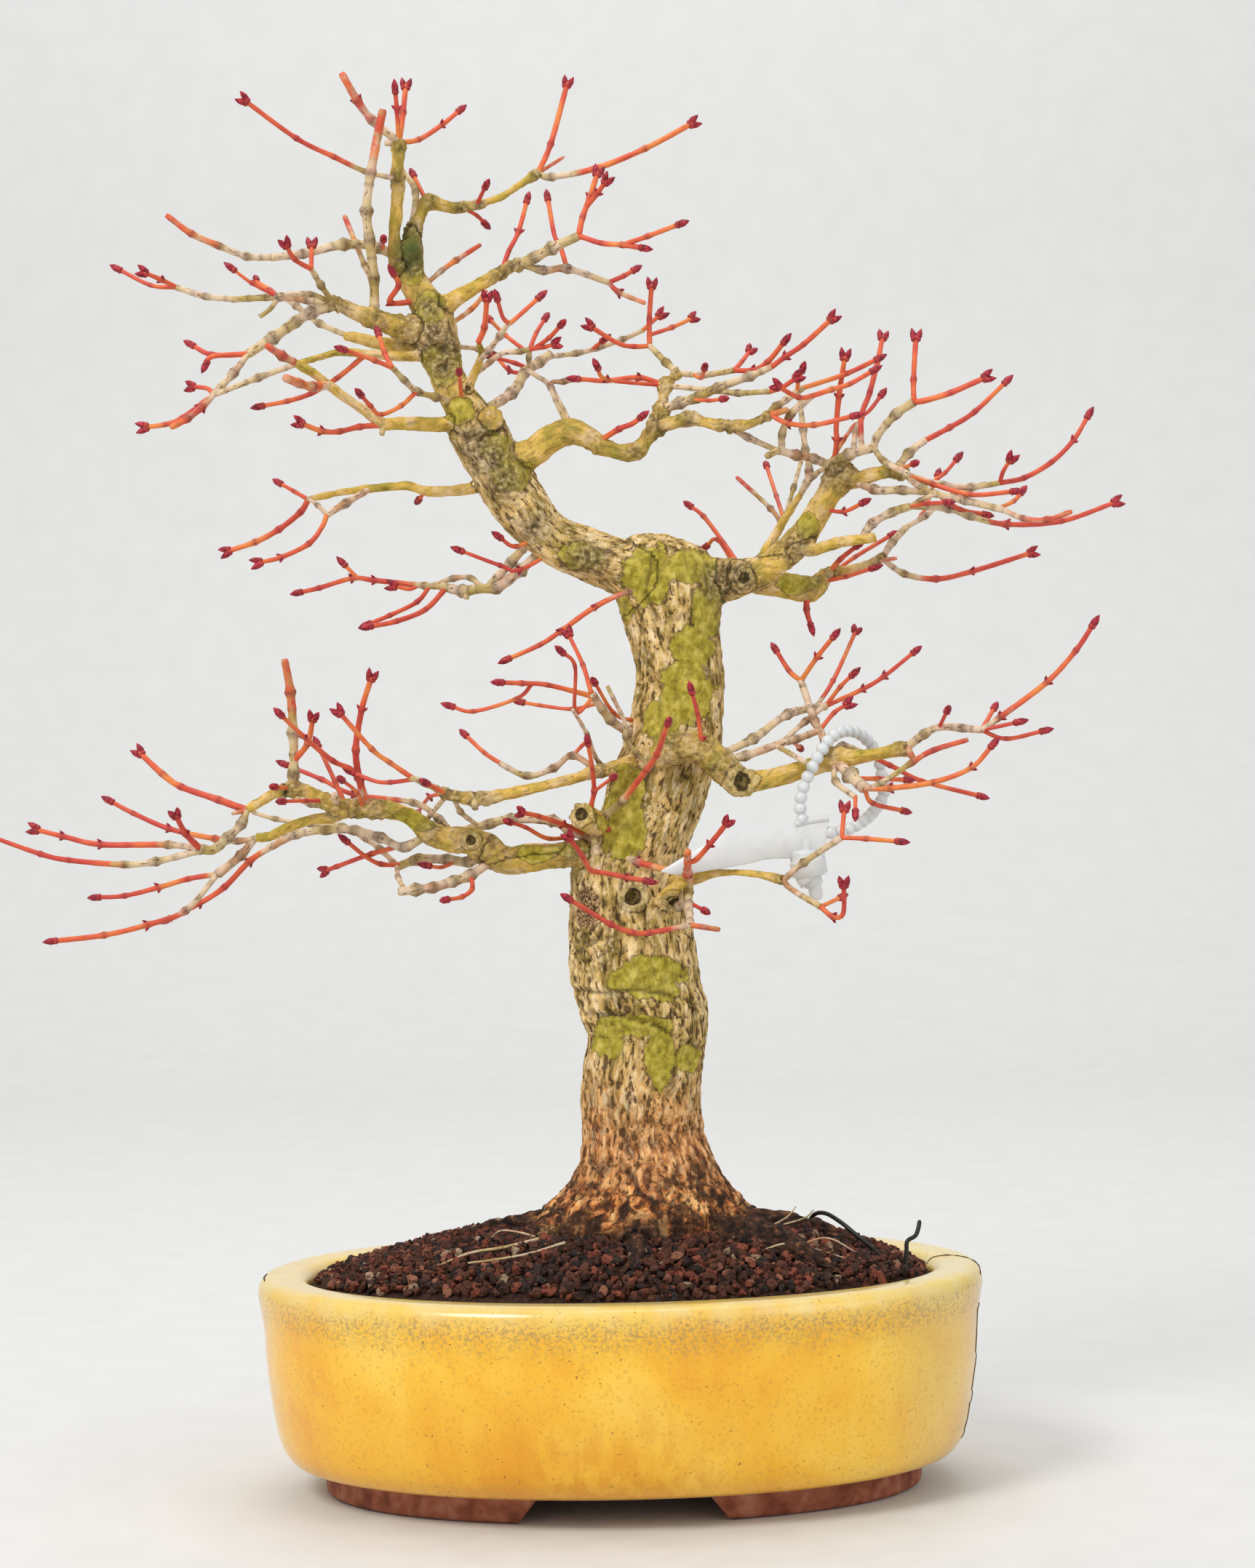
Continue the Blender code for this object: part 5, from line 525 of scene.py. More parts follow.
        [(44, 311.5), (50, 321), (54, 328), (57.5, 333.5), (61.5, 339.7)],
    ),
    ("", "olive", 2.2, 1.8, 22, "join", [(61, 339), (64.3, 347.5), (63, 355), (62.2, 362), (61, 373)]),
    ("", "olive", 1.9, 1.8, -2, "join", [(61.5, 339.8), (66, 346), (72, 350)]),
    ("", "olive", 1.7, 1.6, 36, "cut", [(54.5, 329), (51, 334.7), (39.5, 345.4)]),
    ("", "olive", 1.6, 1.4, 44, "bud", [(56, 331), (53, 339), (49.6, 349.5)]),
    ("", "olive", 1.6, 1.5, 30, "join", [(56, 331), (59, 342), (61.5, 351)]),
    ("", "shoulder", 1.8, 1.5, 24, "bud", [(43, 313), (35, 322.7), (28, 332), (23.2, 335.7)]),
    ("", "shoulder", 1.6, 1.4, 20, "bud", [(40, 314), (33, 323.8), (28.8, 321.5)]),
    ("", "shoulder", 5.2, 4.8, -11, "cut", [(42, 311.5), (49, 313.3), (55.5, 314.2)]),
    ("", "shoulder", 4.8, 4.4, -8.5, "cut", [(42, 311), (42.2, 311)]),
    (
        "", "shoulder", 2.0, 1.8, -16, "pair",
        [(73, 350.5), (73.8, 358), (73.6, 362.3), (74.5, 373), (76.6, 387.3)],
    ),
    ("", "shoulder", 1.6, 1.4, 2, "cut", [(71, 351), (76, 358), (80.2, 364)]),
    ("sr_arm", "shoulder", 3.0, 3.4, -24, "join", [(72, 350.8), (78, 353.3), (86.5, 355.7)]),
    ("sr_up", "sr_arm", 2.6, 3.0, -34, "join", [(86, 355.5), (88, 360), (94, 367), (100.3, 371.3)]),
    ("", "sr_up", 1.9, 1.8, -30, "pair", [(100.2, 371.2), (100.2, 379), (101, 394)]),
    ("", "sr_up", 2.2, 1.8, -42, "pair", [(100, 371.3), (104, 371.8), (113, 374.5), (125.5, 380)]),
    ("", "sr_arm", 2.0, 1.9, 0, "join", [(80, 353.5), (80.3, 361), (82.3, 366.6)]),
    (
        "sr_red", "sr_arm", 2.0, 1.8, 4, "pair",
        [(81, 361), (82.3, 366.6), (85, 374.3), (88, 386), (89.6, 394)],
    ),
    ("", "sr_red", 1.5, 1.4, -6, "bud", [(82, 366.2), (85, 368.4), (89.3, 374)]),
    ("sr_down", "sr_arm", 2.0, 2.2, -38, "join", [(86.5, 355.5), (90, 351), (98.5, 346.4)]),
    # Shoulder limb, its right end
    ("sx_up", "shoulder_right", 2.8, 2.4, -12, "join", [(94, 348), (98.5, 353.6), (104, 358)]),
    ("", "sx_up", 2.0, 1.6, -4, "bud", [(103.5, 357.7), (112.5, 362.5), (121, 367.8), (132, 378.3)]),
    ("sx_low", "shoulder_right", 2.3, 2.6, -30, "join", [(97, 346.3), (103, 341.7), (108.5, 339.5)]),
    ("sx_end", "sx_low", 2.4, 2.4, -36, "join", [(108, 339.6), (118, 337.4), (131, 334.2)]),
    ("", "sx_end", 1.9, 1.7, -48, "cut", [(130.5, 334.3), (138, 331.3), (146, 330.8), (154.5, 333.7)]),
    ("", "sx_end", 1.5, 1.4, -28, "bud", [(130, 335), (134.5, 337.2), (137.4, 340.5)]),
    (
        "sx_mid", "shoulder_right", 2.0, 2.0, -24, "join",
        [(99, 345.8), (110.5, 342.8), (120, 342), (129.8, 343.5)],
    ),
    (
        "", "sx_mid", 1.9, 1.6, -16, "bud",
        [(129.5, 343.4), (138, 345.2), (147.5, 350.6), (155, 358), (160.3, 366.8)],
    ),
    ("", "sx_mid", 1.5, 1.4, -30, "pair", [(128.8, 343.6), (131, 347.5), (133.9, 352)]),
    ("", "shoulder_right", 1.8, 1.6, -42, "bud", [(98, 346.5), (107, 343), (120, 339.5), (135, 340.6)]),
    ("", "shoulder_right", 1.5, 1.4, -34, "bud", [(95, 348), (100.5, 350.2)]),
    ("", "sx_mid", 1.4, 1.3, -16, "bud", [(107, 343.4), (111, 347), (115.3, 352)]),
    ("sx_under", "shoulder", 3.0, 2.2, -30, "join", [(80, 344.5), (87, 341.2), (96, 341), (108, 340)]),
    ("", "sx_low", 1.7, 1.5, -20, "bud", [(108, 339.5), (116, 334.5), (125, 332.6)]),
    ("", "shoulder", 1.5, 1.4, -20, "bud", [(71, 332.5), (76, 333.6), (83, 336.8)]),
    ("stub_long", "shoulder", 4.4, 4.0, -24, "cut", [(59, 318), (66, 320.6), (76, 323.3), (87, 324.7)]),
    (
        "sl_out", "stub_long", 2.8, 2.6, -26, "join",
        [(82, 324.5), (86, 329.5), (93, 333.4), (99, 335.4)],
    ),
    (
        "", "sl_out", 2.2, 1.7, -18, "pair",
        [(98.5, 335.4), (112, 334.6), (119, 332.2), (132, 329.3), (151, 330.4), (170, 337)],
    ),
    ("", "sl_out", 1.7, 1.6, -34, "join", [(98, 335.3), (103, 337.7), (108, 339.8)]),
    ("", "sl_out", 1.4, 1.4, -40, "bud", [(99, 335.8), (105, 336.4), (112, 336.8)]),
    ("", "shoulder_low", 1.6, 1.5, 30, "bud", [(72, 314.2), (80, 318), (92.6, 325.6)]),
    ("", "shoulder_low", 2.0, 1.6, 4, "bud", [(70, 313), (75, 317.2), (81, 322)]),
    ("", "shoulder_low", 1.8, 1.4, 6, "bud", [(68, 309.8), (77, 311.3), (86.5, 314.3)]),
    ("low_up", "shoulder_low", 2.4, 2.6, 22, "join", [(89.5, 318.5), (93, 323.2), (97.7, 328.3)]),
    ("", "low_up", 1.9, 1.5, 32, "join", [(97.2, 328), (104, 332), (114, 339.4), (125, 343.5)]),
    ("", "low_up", 1.5, 1.3, 44, "bud", [(97.5, 328.3), (103, 332.5), (108.5, 346.5)]),
    (
        "", "shoulder_low", 2.2, 1.7, 26, "pair",
        [(89, 317), (97, 312.3), (108, 310.5), (120, 313), (141, 319.6)],
    ),
    ("", "shoulder_low", 1.6, 1.5, 12, "cut", [(89, 316.2), (94.3, 317.6)]),
    ("", "shoulder_low", 2.6, 1.6, 8, "bud", [(64, 305), (63.4, 300), (65, 294)]),
    # Mid right limb
    (
        "mr_tip", "mid_right", 2.8, 2.4, -34, "join",
        [(98.5, 252.8), (104, 257.2), (109, 259.5), (117, 259.2), (123.5, 258.5)],
    ),
    ("", "mr_tip", 1.4, 1.3, -40, "bud", [(109, 259.3), (111.8, 265.3)]),
    ("", "mr_tip", 1.6, 1.5, -24, "bud", [(122.8, 258.6), (128, 266.3)]),
    (
        "", "mr_tip", 2.1, 1.7, -44, "bud",
        [(122.8, 258.6), (130, 263), (146, 275), (156, 286), (162, 295)],
    ),
    ("", "mr_tip", 1.5, 1.4, -38, "bud", [(123, 258.4), (136.3, 261.3)]),
    ("", "mr_tip", 1.6, 1.4, -30, "bud", [(122.5, 257.5), (132, 255.6), (145, 258.3)]),
    ("", "mid_right", 2.4, 2.2, -30, "cut", [(98.5, 252), (100, 248.6)]),
    (
        "mr_up", "mid_right", 2.8, 2.4, -4, "join",
        [(72.5, 250), (70, 254), (68, 258.5), (66, 262), (61.5, 275.5)],
    ),
    ("", "mr_up", 1.8, 1.6, 6, "bud", [(61.5, 275), (57.5, 278.8), (52.7, 286.3)]),
    ("", "mr_up", 1.8, 1.6, -14, "bud", [(61.6, 275.2), (67, 283.5), (73, 291)]),
    (
        "mr_left", "mr_up", 2.4, 3.0, -20, "join",
        [(67.5, 257.5), (60, 255.5), (54.5, 254), (42, 249.6), (33, 248.5)],
    ),
    ("", "mr_up", 1.6, 1.4, -12, "pair", [(69, 259.6), (73, 264.6), (78, 267.6)]),
    ("", "mr_left", 1.8, 1.7, -30, "join", [(54, 252.5), (63, 247.5)]),
    ("mr_over", "mid_right", 2.6, 3.0, -2, "join", [(33, 250), (45, 255.5), (57, 264), (70, 266.8)]),
    ("", "mr_left", 1.8, 1.8, -6, "join", [(54.5, 254), (63, 261.5), (69, 266.3)]),
    ("", "mr_over", 1.8, 1.5, 12, "bud", [(69.5, 266.8), (82.5, 272.5), (90, 277), (100.6, 285.5)]),
    ("", "mr_over", 1.6, 1.4, -8, "bud", [(69.5, 267), (75, 273.4), (79.5, 277.8)]),
    ("", "mr_over", 1.6, 1.5, 34, "pair", [(66, 266.3), (72.5, 275.5), (80.5, 293)]),
    ("", "mid_right", 1.8, 1.4, -32, "bud", [(31.5, 249), (27.5, 255), (26, 264), (23.8, 272.3)]),
    ("mr_down", "mid_right", 3.6, 4.0, -30, "join", [(73.5, 247), (78.5, 243), (83.3, 238.5)]),
    (
        "", "mr_down", 2.1, 1.7, -38, "bud",
        [(83, 238.6), (92, 238.6), (107, 240.6), (120, 245.6), (127.4, 253.5)],
    ),
    ("", "mr_down", 1.7, 1.5, -18, "bud", [(82.5, 237.5), (86, 233.5), (97, 230.7)]),
    (
        "", "mr_down", 2.0, 1.8, -34, "cut",
        [(84, 236.5), (88.5, 240), (100, 247.6), (107, 251.6), (119, 255.3)],
    ),
    ("mr_drop", "mid_right", 2.0, 1.8, -36, "join", [(73, 246.5), (73.5, 240.8), (80.2, 235.4)]),
    ("", "mr_drop", 1.5, 1.4, -40, "bud", [(79.8, 235.8), (80.2, 230)]),
    (
        "", "mid_right", 1.7, 1.6, 2, "bud",
        [(73, 250), (76, 253.4), (92, 246.5), (103, 241), (123.2, 235.8)],
    ),
    ("", "mr_down", 1.7, 1.5, -14, "bud", [(80, 241.5), (88, 241.8), (98, 241.4)]),
    ("", "mr_left", 1.4, 1.3, 0, "bud", [(58, 254.8), (61.3, 252.2)]),
    # Low right branch
    ("lr_up", "low_right", 2.0, 2.2, -44, "join", [(55, 207.2), (62.5, 213), (75.5, 221.6)]),
    ("", "lr_up", 1.7, 1.6, -40, "pair", [(75, 221.4), (76.4, 232)]),
    ("", "lr_up", 1.7, 1.5, -52, "bud", [(75, 221.4), (84, 221.2), (95.5, 220.2)]),
    ("lr_down", "low_right", 2.0, 2.2, -44, "join", [(55.5, 206.8), (58, 204), (68.2, 197.8)]),
    ("", "lr_down", 1.5, 1.4, -36, "bud", [(68, 197.8), (75.5, 201.2)]),
    ("", "lr_down", 1.8, 1.7, -54, "pair", [(68, 197.8), (72.5, 194.4), (76, 195.5), (76.2, 206)]),
    # Crown: end of the leader
    ("", "leader", 2.6, 1.8, 12, "join", [(-67, 441), (-71, 443.5), (-75.5, 450.5), (-77, 452)]),
    ("", "crown_right", 1.6, 1.5, 16, "bud", [(-69, 441), (-71.8, 449.5)]),
    ("", "crown_right", 1.5, 1.4, 6, "bud", [(-50, 439), (-46.8, 445.6)]),
    ("", "crown_right", 1.5, 1.4, 22, "bud", [(-55, 438), (-50, 435.5), (-47, 432.5)]),
    ("", "crown_right", 2.1, 1.9, 24, "pair", [(-28.6, 450), (-24.5, 460), (-18.8, 481)]),
    (
        "", "crown_right", 2.3, 1.9, 10, "pair",
        [(-29.3, 449.8), (-24.5, 448.6), (-9, 451.6), (8, 458.5), (24.5, 467.3)],
    ),
    ("", "crown_right", 1.5, 1.2, 28, "cut", [(-28, 449.8), (-20, 455.5)]),
    ("", "apex", 2.9, 2.6, -14, "cut", [(-76.6, 460.8), (-86, 468.3), (-91, 475), (-96.5, 484.5)]),
    ("", "apex", 2.1, 1.9, 0, "pair", [(-76, 461), (-75.2, 471), (-74.3, 480.3)]),
    ("", "apex", 1.8, 1.6, -12, "bud", [(-77, 461), (-77.4, 472), (-78, 478.8)]),
    ("", "apex", 1.9, 1.6, 8, "bud", [(-76, 460.3), (-70, 461.5), (-62, 466.5), (-55.7, 471.6)]),
    ("", "apex", 2.8, 2.0, -6, "knot", [(-77, 460), (-81.5, 460.3)]),
    (
        "", "apex", 1.9, 1.6, -30, "pair",
        [(-77.3, 447.6), (-88, 450.5), (-99, 455.6), (-112, 462), (-130, 475.2)],
    ),
    # Crown: right side
    (
        "tr_main", "top_right", 3.6, 3.0, -16, "join",
        [(-36.4, 417.8), (-30, 421), (-24.3, 424), (-14.9, 428.4)],
    ),
    (
        "tr_up", "tr_main", 2.2, 1.9, -12, "pair",
        [(-15, 428.4), (-13.6, 434.7), (-11, 441.9), (-8.3, 450.4)],
    ),
    ("", "tr_up", 1.8, 1.7, -20, "pair", [(-12.3, 438), (-8.5, 443), (-5.2, 447.6)]),
    (
        "tr_right", "tr_main", 2.0, 1.8, -26, "bud",
        [(-15, 427.8), (-7, 425.9), (0.1, 425.3), (7.4, 424.2)],
    ),
    ("", "tr_right", 1.8, 1.6, -34, "bud", [(0.1, 425.4), (8.9, 428.3), (20, 432.5)]),
    (
        "tr_low", "top_right", 2.6, 2.2, -4, "join",
        [(-35, 417), (-27, 416.6), (-18.8, 417.1), (-4.6, 412.4)],
    ),
    ("", "tr_low", 1.8, 1.6, 2, "bud", [(-4.8, 412.6), (0.5, 414.6), (4.4, 416.8)]),
    ("", "tr_low", 1.8, 1.7, -8, "cut", [(-4.8, 412.4), (-1, 409), (8, 405.2)]),
    ("", "tr_low", 1.8, 1.6, 6, "bud", [(-18.8, 417), (-21.4, 425.3), (-23.3, 428.8), (-25.6, 441.6)]),
    ("", "top_right", 1.8, 1.6, 4, "bud", [(-42.3, 416), (-39, 423), (-35.6, 429.8), (-32.6, 440.8)]),
    # Crown: left side
    (
        "tl_rod", "top_left", 3.4, 2.9, -18, "cut",
        [(-84, 401), (-85.3, 414), (-86.8, 427), (-87.8, 437), (-86.3, 450), (-82.2, 472)],
    ),
    ("", "tl_rod", 1.9, 1.8, 8, "cut", [(-85, 411), (-88.3, 418), (-95.4, 435.3)]),
    (
        "tl_high", "leader", 3.4, 2.6, -14, "join",
        [(-76, 419), (-84, 424.3), (-95.5, 425.4), (-110, 422.2), (-120.8, 421)],
    ),
    (
        "", "tl_high", 2.4, 2.0, -26, "cut",
        [(-120.5, 421), (-129, 421.4), (-138.5, 425), (-148, 429.2), (-156.7, 435.6)],
    ),
    ("", "tl_high", 1.3, 1.2, -10, "bud", [(-82.5, 423.3), (-82, 427.3)]),
    (
        "tl_low", "top_left", 3.6, 3.2, -14, "join",
        [(-97, 404.5), (-106.5, 402.3), (-112, 399), (-120, 393.3), (-128.5, 387.8)],
    ),
    ("", "tl_low", 2.1, 1.7, -6, "bud", [(-128.3, 387.8), (-141, 387.6), (-148, 391)]),
    ("", "tl_low", 2.0, 1.8, -20, "bud", [(-138, 387.7), (-140.6, 387), (-143, 384.2)]),
    ("tl_fork", "tl_low", 2.2, 2.6, -24, "join", [(-128.3, 387.8), (-133.5, 381.3), (-140.3, 374)]),
    ("", "tl_fork", 1.7, 1.5, -18, "pair", [(-140, 374.2), (-142.6, 376), (-148.3, 376.6)]),
    (
        "", "tl_fork", 2.3, 2.2, -34, "cut",
        [(-139.8, 374.3), (-144.5, 369.5), (-149.5, 365.6), (-155, 362.6)],
    ),
    (
        "", "tl_fork", 1.7, 1.6, -26, "pair",
        [(-144, 370.2), (-151, 366), (-157, 363.6), (-164.5, 362.6)],
    ),
    (
        "tl_mid", "top_left", 2.5, 2.2, 8, "join",
        [(-98, 404.8), (-108, 406.3), (-118, 407.3), (-134, 406.5)],
    ),
    ("tl_end", "tl_mid", 2.1, 2.2, 14, "join", [(-133, 406.6), (-143, 407.6), (-153, 410.7)]),
    ("", "tl_end", 1.7, 1.5, 20, "bud", [(-152, 410.5), (-162, 411.5), (-173.2, 417)]),
    ("", "tl_end", 1.7, 1.6, 6, "pair", [(-152.5, 410.6), (-158, 413.2), (-164.7, 416)]),
    ("", "tl_mid", 1.8, 1.6, 18, "pair", [(-117.5, 407.3), (-121, 409.8), (-126.3, 413)]),
    ("", "tl_mid", 1.3, 1.2, -2, "bud", [(-118.5, 407.3), (-127, 412), (-134, 417.2)]),
    ("", "tl_mid", 1.8, 1.6, 0, "knot", [(-117.8, 407.2), (-121, 403.2), (-124.6, 400.6)]),
    ("", "top_left", 1.8, 1.7, -22, "join", [(-100, 406), (-107, 408.3), (-118, 408.2)]),
    ("tl_spur", "top_left", 1.9, 2.0, -26, "join", [(-99.5, 406), (-103.5, 411.5), (-106.8, 417)]),
    ("", "tl_spur", 1.6, 1.5, -22, "pair", [(-106.6, 416.6), (-106.6, 425.8)]),
    ("", "tl_spur", 1.7, 1.6, -36, "pair", [(-106.4, 417), (-112.5, 420.4), (-115.7, 425.8)]),
    (
        "grey_stub", "leader", 6.0, 4.0, 14, "knot",
        [(-66, 389), (-80, 391), (-88, 392.6), (-95.5, 394.2)],
    ),
    ("", "grey_stub", 2.1, 1.8, 24, "join", [(-93, 393.8), (-104, 398.3), (-112, 404.3), (-116, 407)]),
    (
        "grey_low", "leader", 4.4, 2.4, -18, "join",
        [(-66, 386.5), (-78, 387), (-86, 387.7), (-97, 388.4), (-103, 387), (-112, 384.4)],
    ),
    ("", "grey_low", 2.0, 1.9, -24, "join", [(-111, 384.6), (-125, 379.7), (-139.5, 374)]),
    (
        "", "grey_low", 1.9, 1.5, -8, "bud",
        [(-88, 387.4), (-98, 379.5), (-107, 374.2), (-115, 371.6), (-124.3, 369.8)],
    ),
    (
        "", "leader", 2.2, 1.8, -12, "bud",
        [(-80.5, 399), (-79.6, 405.5), (-76.8, 411.5), (-78.8, 415.8)],
    ),
]

# Surface roots, laid on the soil: points across, back, thickness; lift is the share of the
# thickness by which the middle stands over the soil.
ROOTS = [
    (0.15, [(26, -1, 15), (42, -4, 12), (56, -6, 9.5), (68, -7, 7), (79, -7, 4.6), (90, -5, 2.4)]),
    (0.05, [(26, -14, 15), (42, -24, 14), (54, -31, 11), (64, -37, 7), (73, -42, 3.6)]),
    (0.10, [(-12, 3, 13), (-30, 6, 9), (-44, 9, 6), (-56, 12, 3.4)]),
    (0.20, [(-2, -28, 4.0), (-12, -35, 2.8), (-28, -41, 2.2), (-44, -45, 1.6)]),
    (0.00, [(2, -24, 9), (7, -39, 6), (5, -49, 3.6), (0, -57, 2.0)]),
    (0.10, [(8, 22, 13), (15, 38, 8), (20, 49, 5), (22, 57, 2.6)]),
    (0.10, [(-6, 16, 12), (-24, 30, 7), (-38, 38, 4), (-48, 42, 2.2)]),
    (0.10, [(26, 14, 11), (44, 25, 7), (57, 33, 4.4), (68, 38, 2.4)]),
]

# Anchor wire: across, back and up. It crosses the right root and dips under the soil once.
WIRE_THICK = 1.5
WIRE = [
    (64, 28, 63), (64, 21, 72), (65, 14, 83), (67, 7, 89.4), (70.5, 0, 91.2), (75, -7, 89.4),
    (81, -12, 84.8), (87, -15, 79.8), (91, -17, 75.0), (93.8, -18, 71.4), (96, -18.2, 73.4),
    (97, -17.6, 80), (97.4, -17, 83.4), (100.2, -16, 85.0), (101.4, -15, 87.4), (102, -14, 90.0),
]

# Label: the strap's loop as seen, with depth, from the plate's right end round the limb.
BEAD_PITCH = 3.7
BEAD_THICK = 4.4
BEAD_NECK = 2.0
STRAP = [
    (62.4, 226, -25.4), (61.2, 232, -25), (61.8, 237, -24.8), (63.6, 242, -24.3), (66, 247, -23.4),
    (68.4, 251.3, -22), (71.5, 255.6, -19), (76, 258.2, -14), (81, 257.6, -8.5), (85.2, 254, -3.5),
    (88, 249.4, -0.5), (89.2, 243, 0.5), (90, 237, -3), (87.6, 232, -8), (83.5, 227.7, -15),
    (77.5, 224.4, -21.5), (70, 223, -25.4),
]
PLATE_THICK = 1.4
PLATE_TOP = [(13.4, 210.2), (21, 214.9), (29, 219.6), (37, 223.6), (48, 225.3), (59, 226.7), (71, 228)]
PLATE_BOTTOM = [
    (13.4, 209.6), (20, 208.6), (28, 209.9), (36, 211.2), (44, 212.7), (52, 214.3), (69.5, 214.2),
]
PLATE_DEPTH = [-26.6, -26.6, -26.6, -26.6, -26.2, -25.8, -25.4]
LOCK = [
    (63, 222, 2.5), (63.2, 216.5, 5.6), (63.8, 213.5, 6.2), (64.8, 207.8, 5.0), (65.2, 207.4, 3.4),
    (66.2, 204.6, 2.4), (67, 200, 1.5),
]
LOCK_SET_BACK = 1.8

# Fine wood: the mesh's step, the steps along limbs and twigs, and how far a shoot is red.
VOXEL = 1.0
RING_STEP = 1.0
TWIG_STEP = 1.1
RED_REACH = 42.0
BUD_SIDES = 8


def seen(across, up, depth):
    """The place in mm of a point seen at (across, up) from the front and lying at depth."""
    du, dv = across - SIGHT_MIDDLE, up - EYE_HEIGHT
    upright_u = du * math.cos(VIEW_TILT) + dv * math.sin(VIEW_TILT)
    upright_v = dv * math.cos(VIEW_TILT) - du * math.sin(VIEW_TILT)
    reach = (EYE_DISTANCE + depth) / EYE_DISTANCE
    return Vector((EYE_SIDE + upright_u * reach, depth, EYE_HEIGHT + upright_v * reach))


def view_of(points):
    """Where points in mm are seen from the front: across and up."""
    reach = EYE_DISTANCE / (EYE_DISTANCE + points[:, 1])
    du = (points[:, 0] - EYE_SIDE) * reach
    dv = (points[:, 2] - EYE_HEIGHT) * reach
    across = SIGHT_MIDDLE + du * math.cos(VIEW_TILT) - dv * math.sin(VIEW_TILT)
    return across, EYE_HEIGHT + dv * math.cos(VIEW_TILT) + du * math.sin(VIEW_TILT)


def oval(half_length, half_width, angle, power=OVAL_POWER):
    """The point of an oval, a little fuller than an ellipse, at this angle."""
    c, s = math.cos(angle), math.sin(angle)
    return (
        half_length * math.copysign(abs(c) ** (2 / power), c),
        half_width * math.copysign(abs(s) ** (2 / power), s),
    )


def spline(rows, step):
    """A smooth curve through rows of numbers, read every step mm along the first three."""
    rows = [np.array(row, float) for row in rows]
    ends = [2 * rows[0] - rows[1]] + rows + [2 * rows[-1] - rows[-2]]
    path = []
    for before, start, end, after in zip(ends, ends[1:], ends[2:], ends[3:]):
        pieces = max(1, round(float(np.linalg.norm((end - start)[:3])) / step))
        for i in range(pieces):
            t = i / pieces
            bend = (2 * before - 5 * start + 4 * end - after) * t * t
            twist = (3 * start - before - 3 * end + after) * t**3
            path.append(0.5 * (2 * start + (end - before) * t + bend + twist))
    return np.array(path + [rows[-1]])


def frames_along(points):
    """At each point of a path: its direction and two directions across, turned as little as may be."""
    tangents = np.gradient(points, axis=0)
    tangents /= np.linalg.norm(tangents, axis=1)[:, None] + 1e-12
    across = np.cross(tangents[0], (0.31, 0.87, 0.38))
    acrosses = []
    for tangent in tangents:
        across = across - tangent * across.dot(tangent)
        across = across / np.linalg.norm(across)
        acrosses.append(across)
    acrosses = np.array(acrosses)
    return tangents, acrosses, np.cross(tangents, acrosses)


class Builder:
    """Collects closed shapes in mm, with numbers and colours for their points, into one mesh."""

    def __init__(self):
        self.points, self.faces, self.count, self.marks = [], [], 0, {}

    def add(self, points, faces, **marks):
        points = np.asarray(points, float)
        self.faces += [tuple(self.count + i for i in face) for face in faces]
        self.points.append(points)
        for name, value in marks.items():
            shape = (len(points), 3) if name in ("grain", "tint") else (len(points),)
            self.marks.setdefault(name, []).append(np.broadcast_to(np.asarray(value, float), shape))
        self.count += len(points)

    def make(self, name, material=None, smooth=True):
        points = np.concatenate(self.points) * MM + np.array(STAND_SHIFT) * MM
        mesh = bpy.data.meshes.new(name)
        mesh.from_pydata(points.tolist(), [], self.faces)
        for mark, values in self.marks.items():
            values = np.concatenate(values).astype(np.float32)
            kind = "FLOAT_VECTOR" if values.ndim == 2 else "FLOAT"
            layer = mesh.attributes.new(mark, kind, "POINT")
            layer.data.foreach_set("vector" if values.ndim == 2 else "value", values.ravel())
        mesh.polygons.foreach_set("use_smooth", [smooth] * len(mesh.polygons))
        if material:
            mesh.materials.append(material)
        made = bpy.data.objects.new(name, mesh)
        bpy.context.scene.collection.objects.link(made)
        return made


def tube_faces(rings, sides):
    faces = []
    for i in range(rings - 1):
        for j in range(sides):
            k = (j + 1) % sides
            faces.append((i * sides + j, i * sides + k, (i + 1) * sides + k, (i + 1) * sides + j))
    faces.append(tuple(range(sides))[::-1])
    faces.append(tuple((rings - 1) * sides + j for j in range(sides)))
    return faces


def tube_points(points, radii, sides, lobes=0.0, phase=0.0):
    _, across, up = frames_along(points)
    turns = np.arange(sides) * 2 * math.pi / sides
    spread = np.ones((len(points), sides))
    if lobes:
        along = np.arange(len(points))[:, None] * 0.13
        spread += lobes * np.sin(3 * turns + along + phase) + lobes * np.sin(2 * turns - along * 1.7)
    radii = np.asarray(radii)[:, None] * spread
    ring = np.cos(turns)[None, :, None] * across[:, None, :] + np.sin(turns)[None, :, None] * up[:, None, :]
    return (points[:, None, :] + radii[:, :, None] * ring).reshape(-1, 3)


def soft_step(value, low, high):
    share = np.clip((value - low) / (high - low), 0, 1)
    return share * share * (3 - 2 * share)


def lengths_along(points):
    return np.concatenate([[0], np.cumsum(np.linalg.norm(np.diff(points, axis=0), axis=1))])


def dense(path, step=2.0):
    """The same seen path with points close together, for children to start from."""
    close = []
    for a, b in zip(path, path[1:]):
        pieces = max(1, round(math.dist(a, b) / step))
        close += [tuple(p + (q - p) * i / pieces for p, q in zip(a, b)) for i in range(pieces)]
    return close + [path[-1]]


def leave_trunk(point, depth_end):
    """Where a twig leaves the trunk, and a point well inside it."""
    levels = [row[0] for row in TRUNK]
    _, left, right, depth = TRUNK[min(range(len(levels)), key=lambda i: abs(levels[i] - point[1]))]
    middle, half = (left + right) / 2, (right - left) / 2
    share = min(abs(point[0] - middle) / half, 1.0)
    side = math.copysign(1, depth_end)
    surface = depth + side * TRUNK_FLATNESS * half * math.sqrt(1 - share * share)
    inside = (middle + (point[0] - middle) * 0.5, point[1], depth + (surface - depth) * 0.4)
    return [inside, (point[0], point[1], surface)]


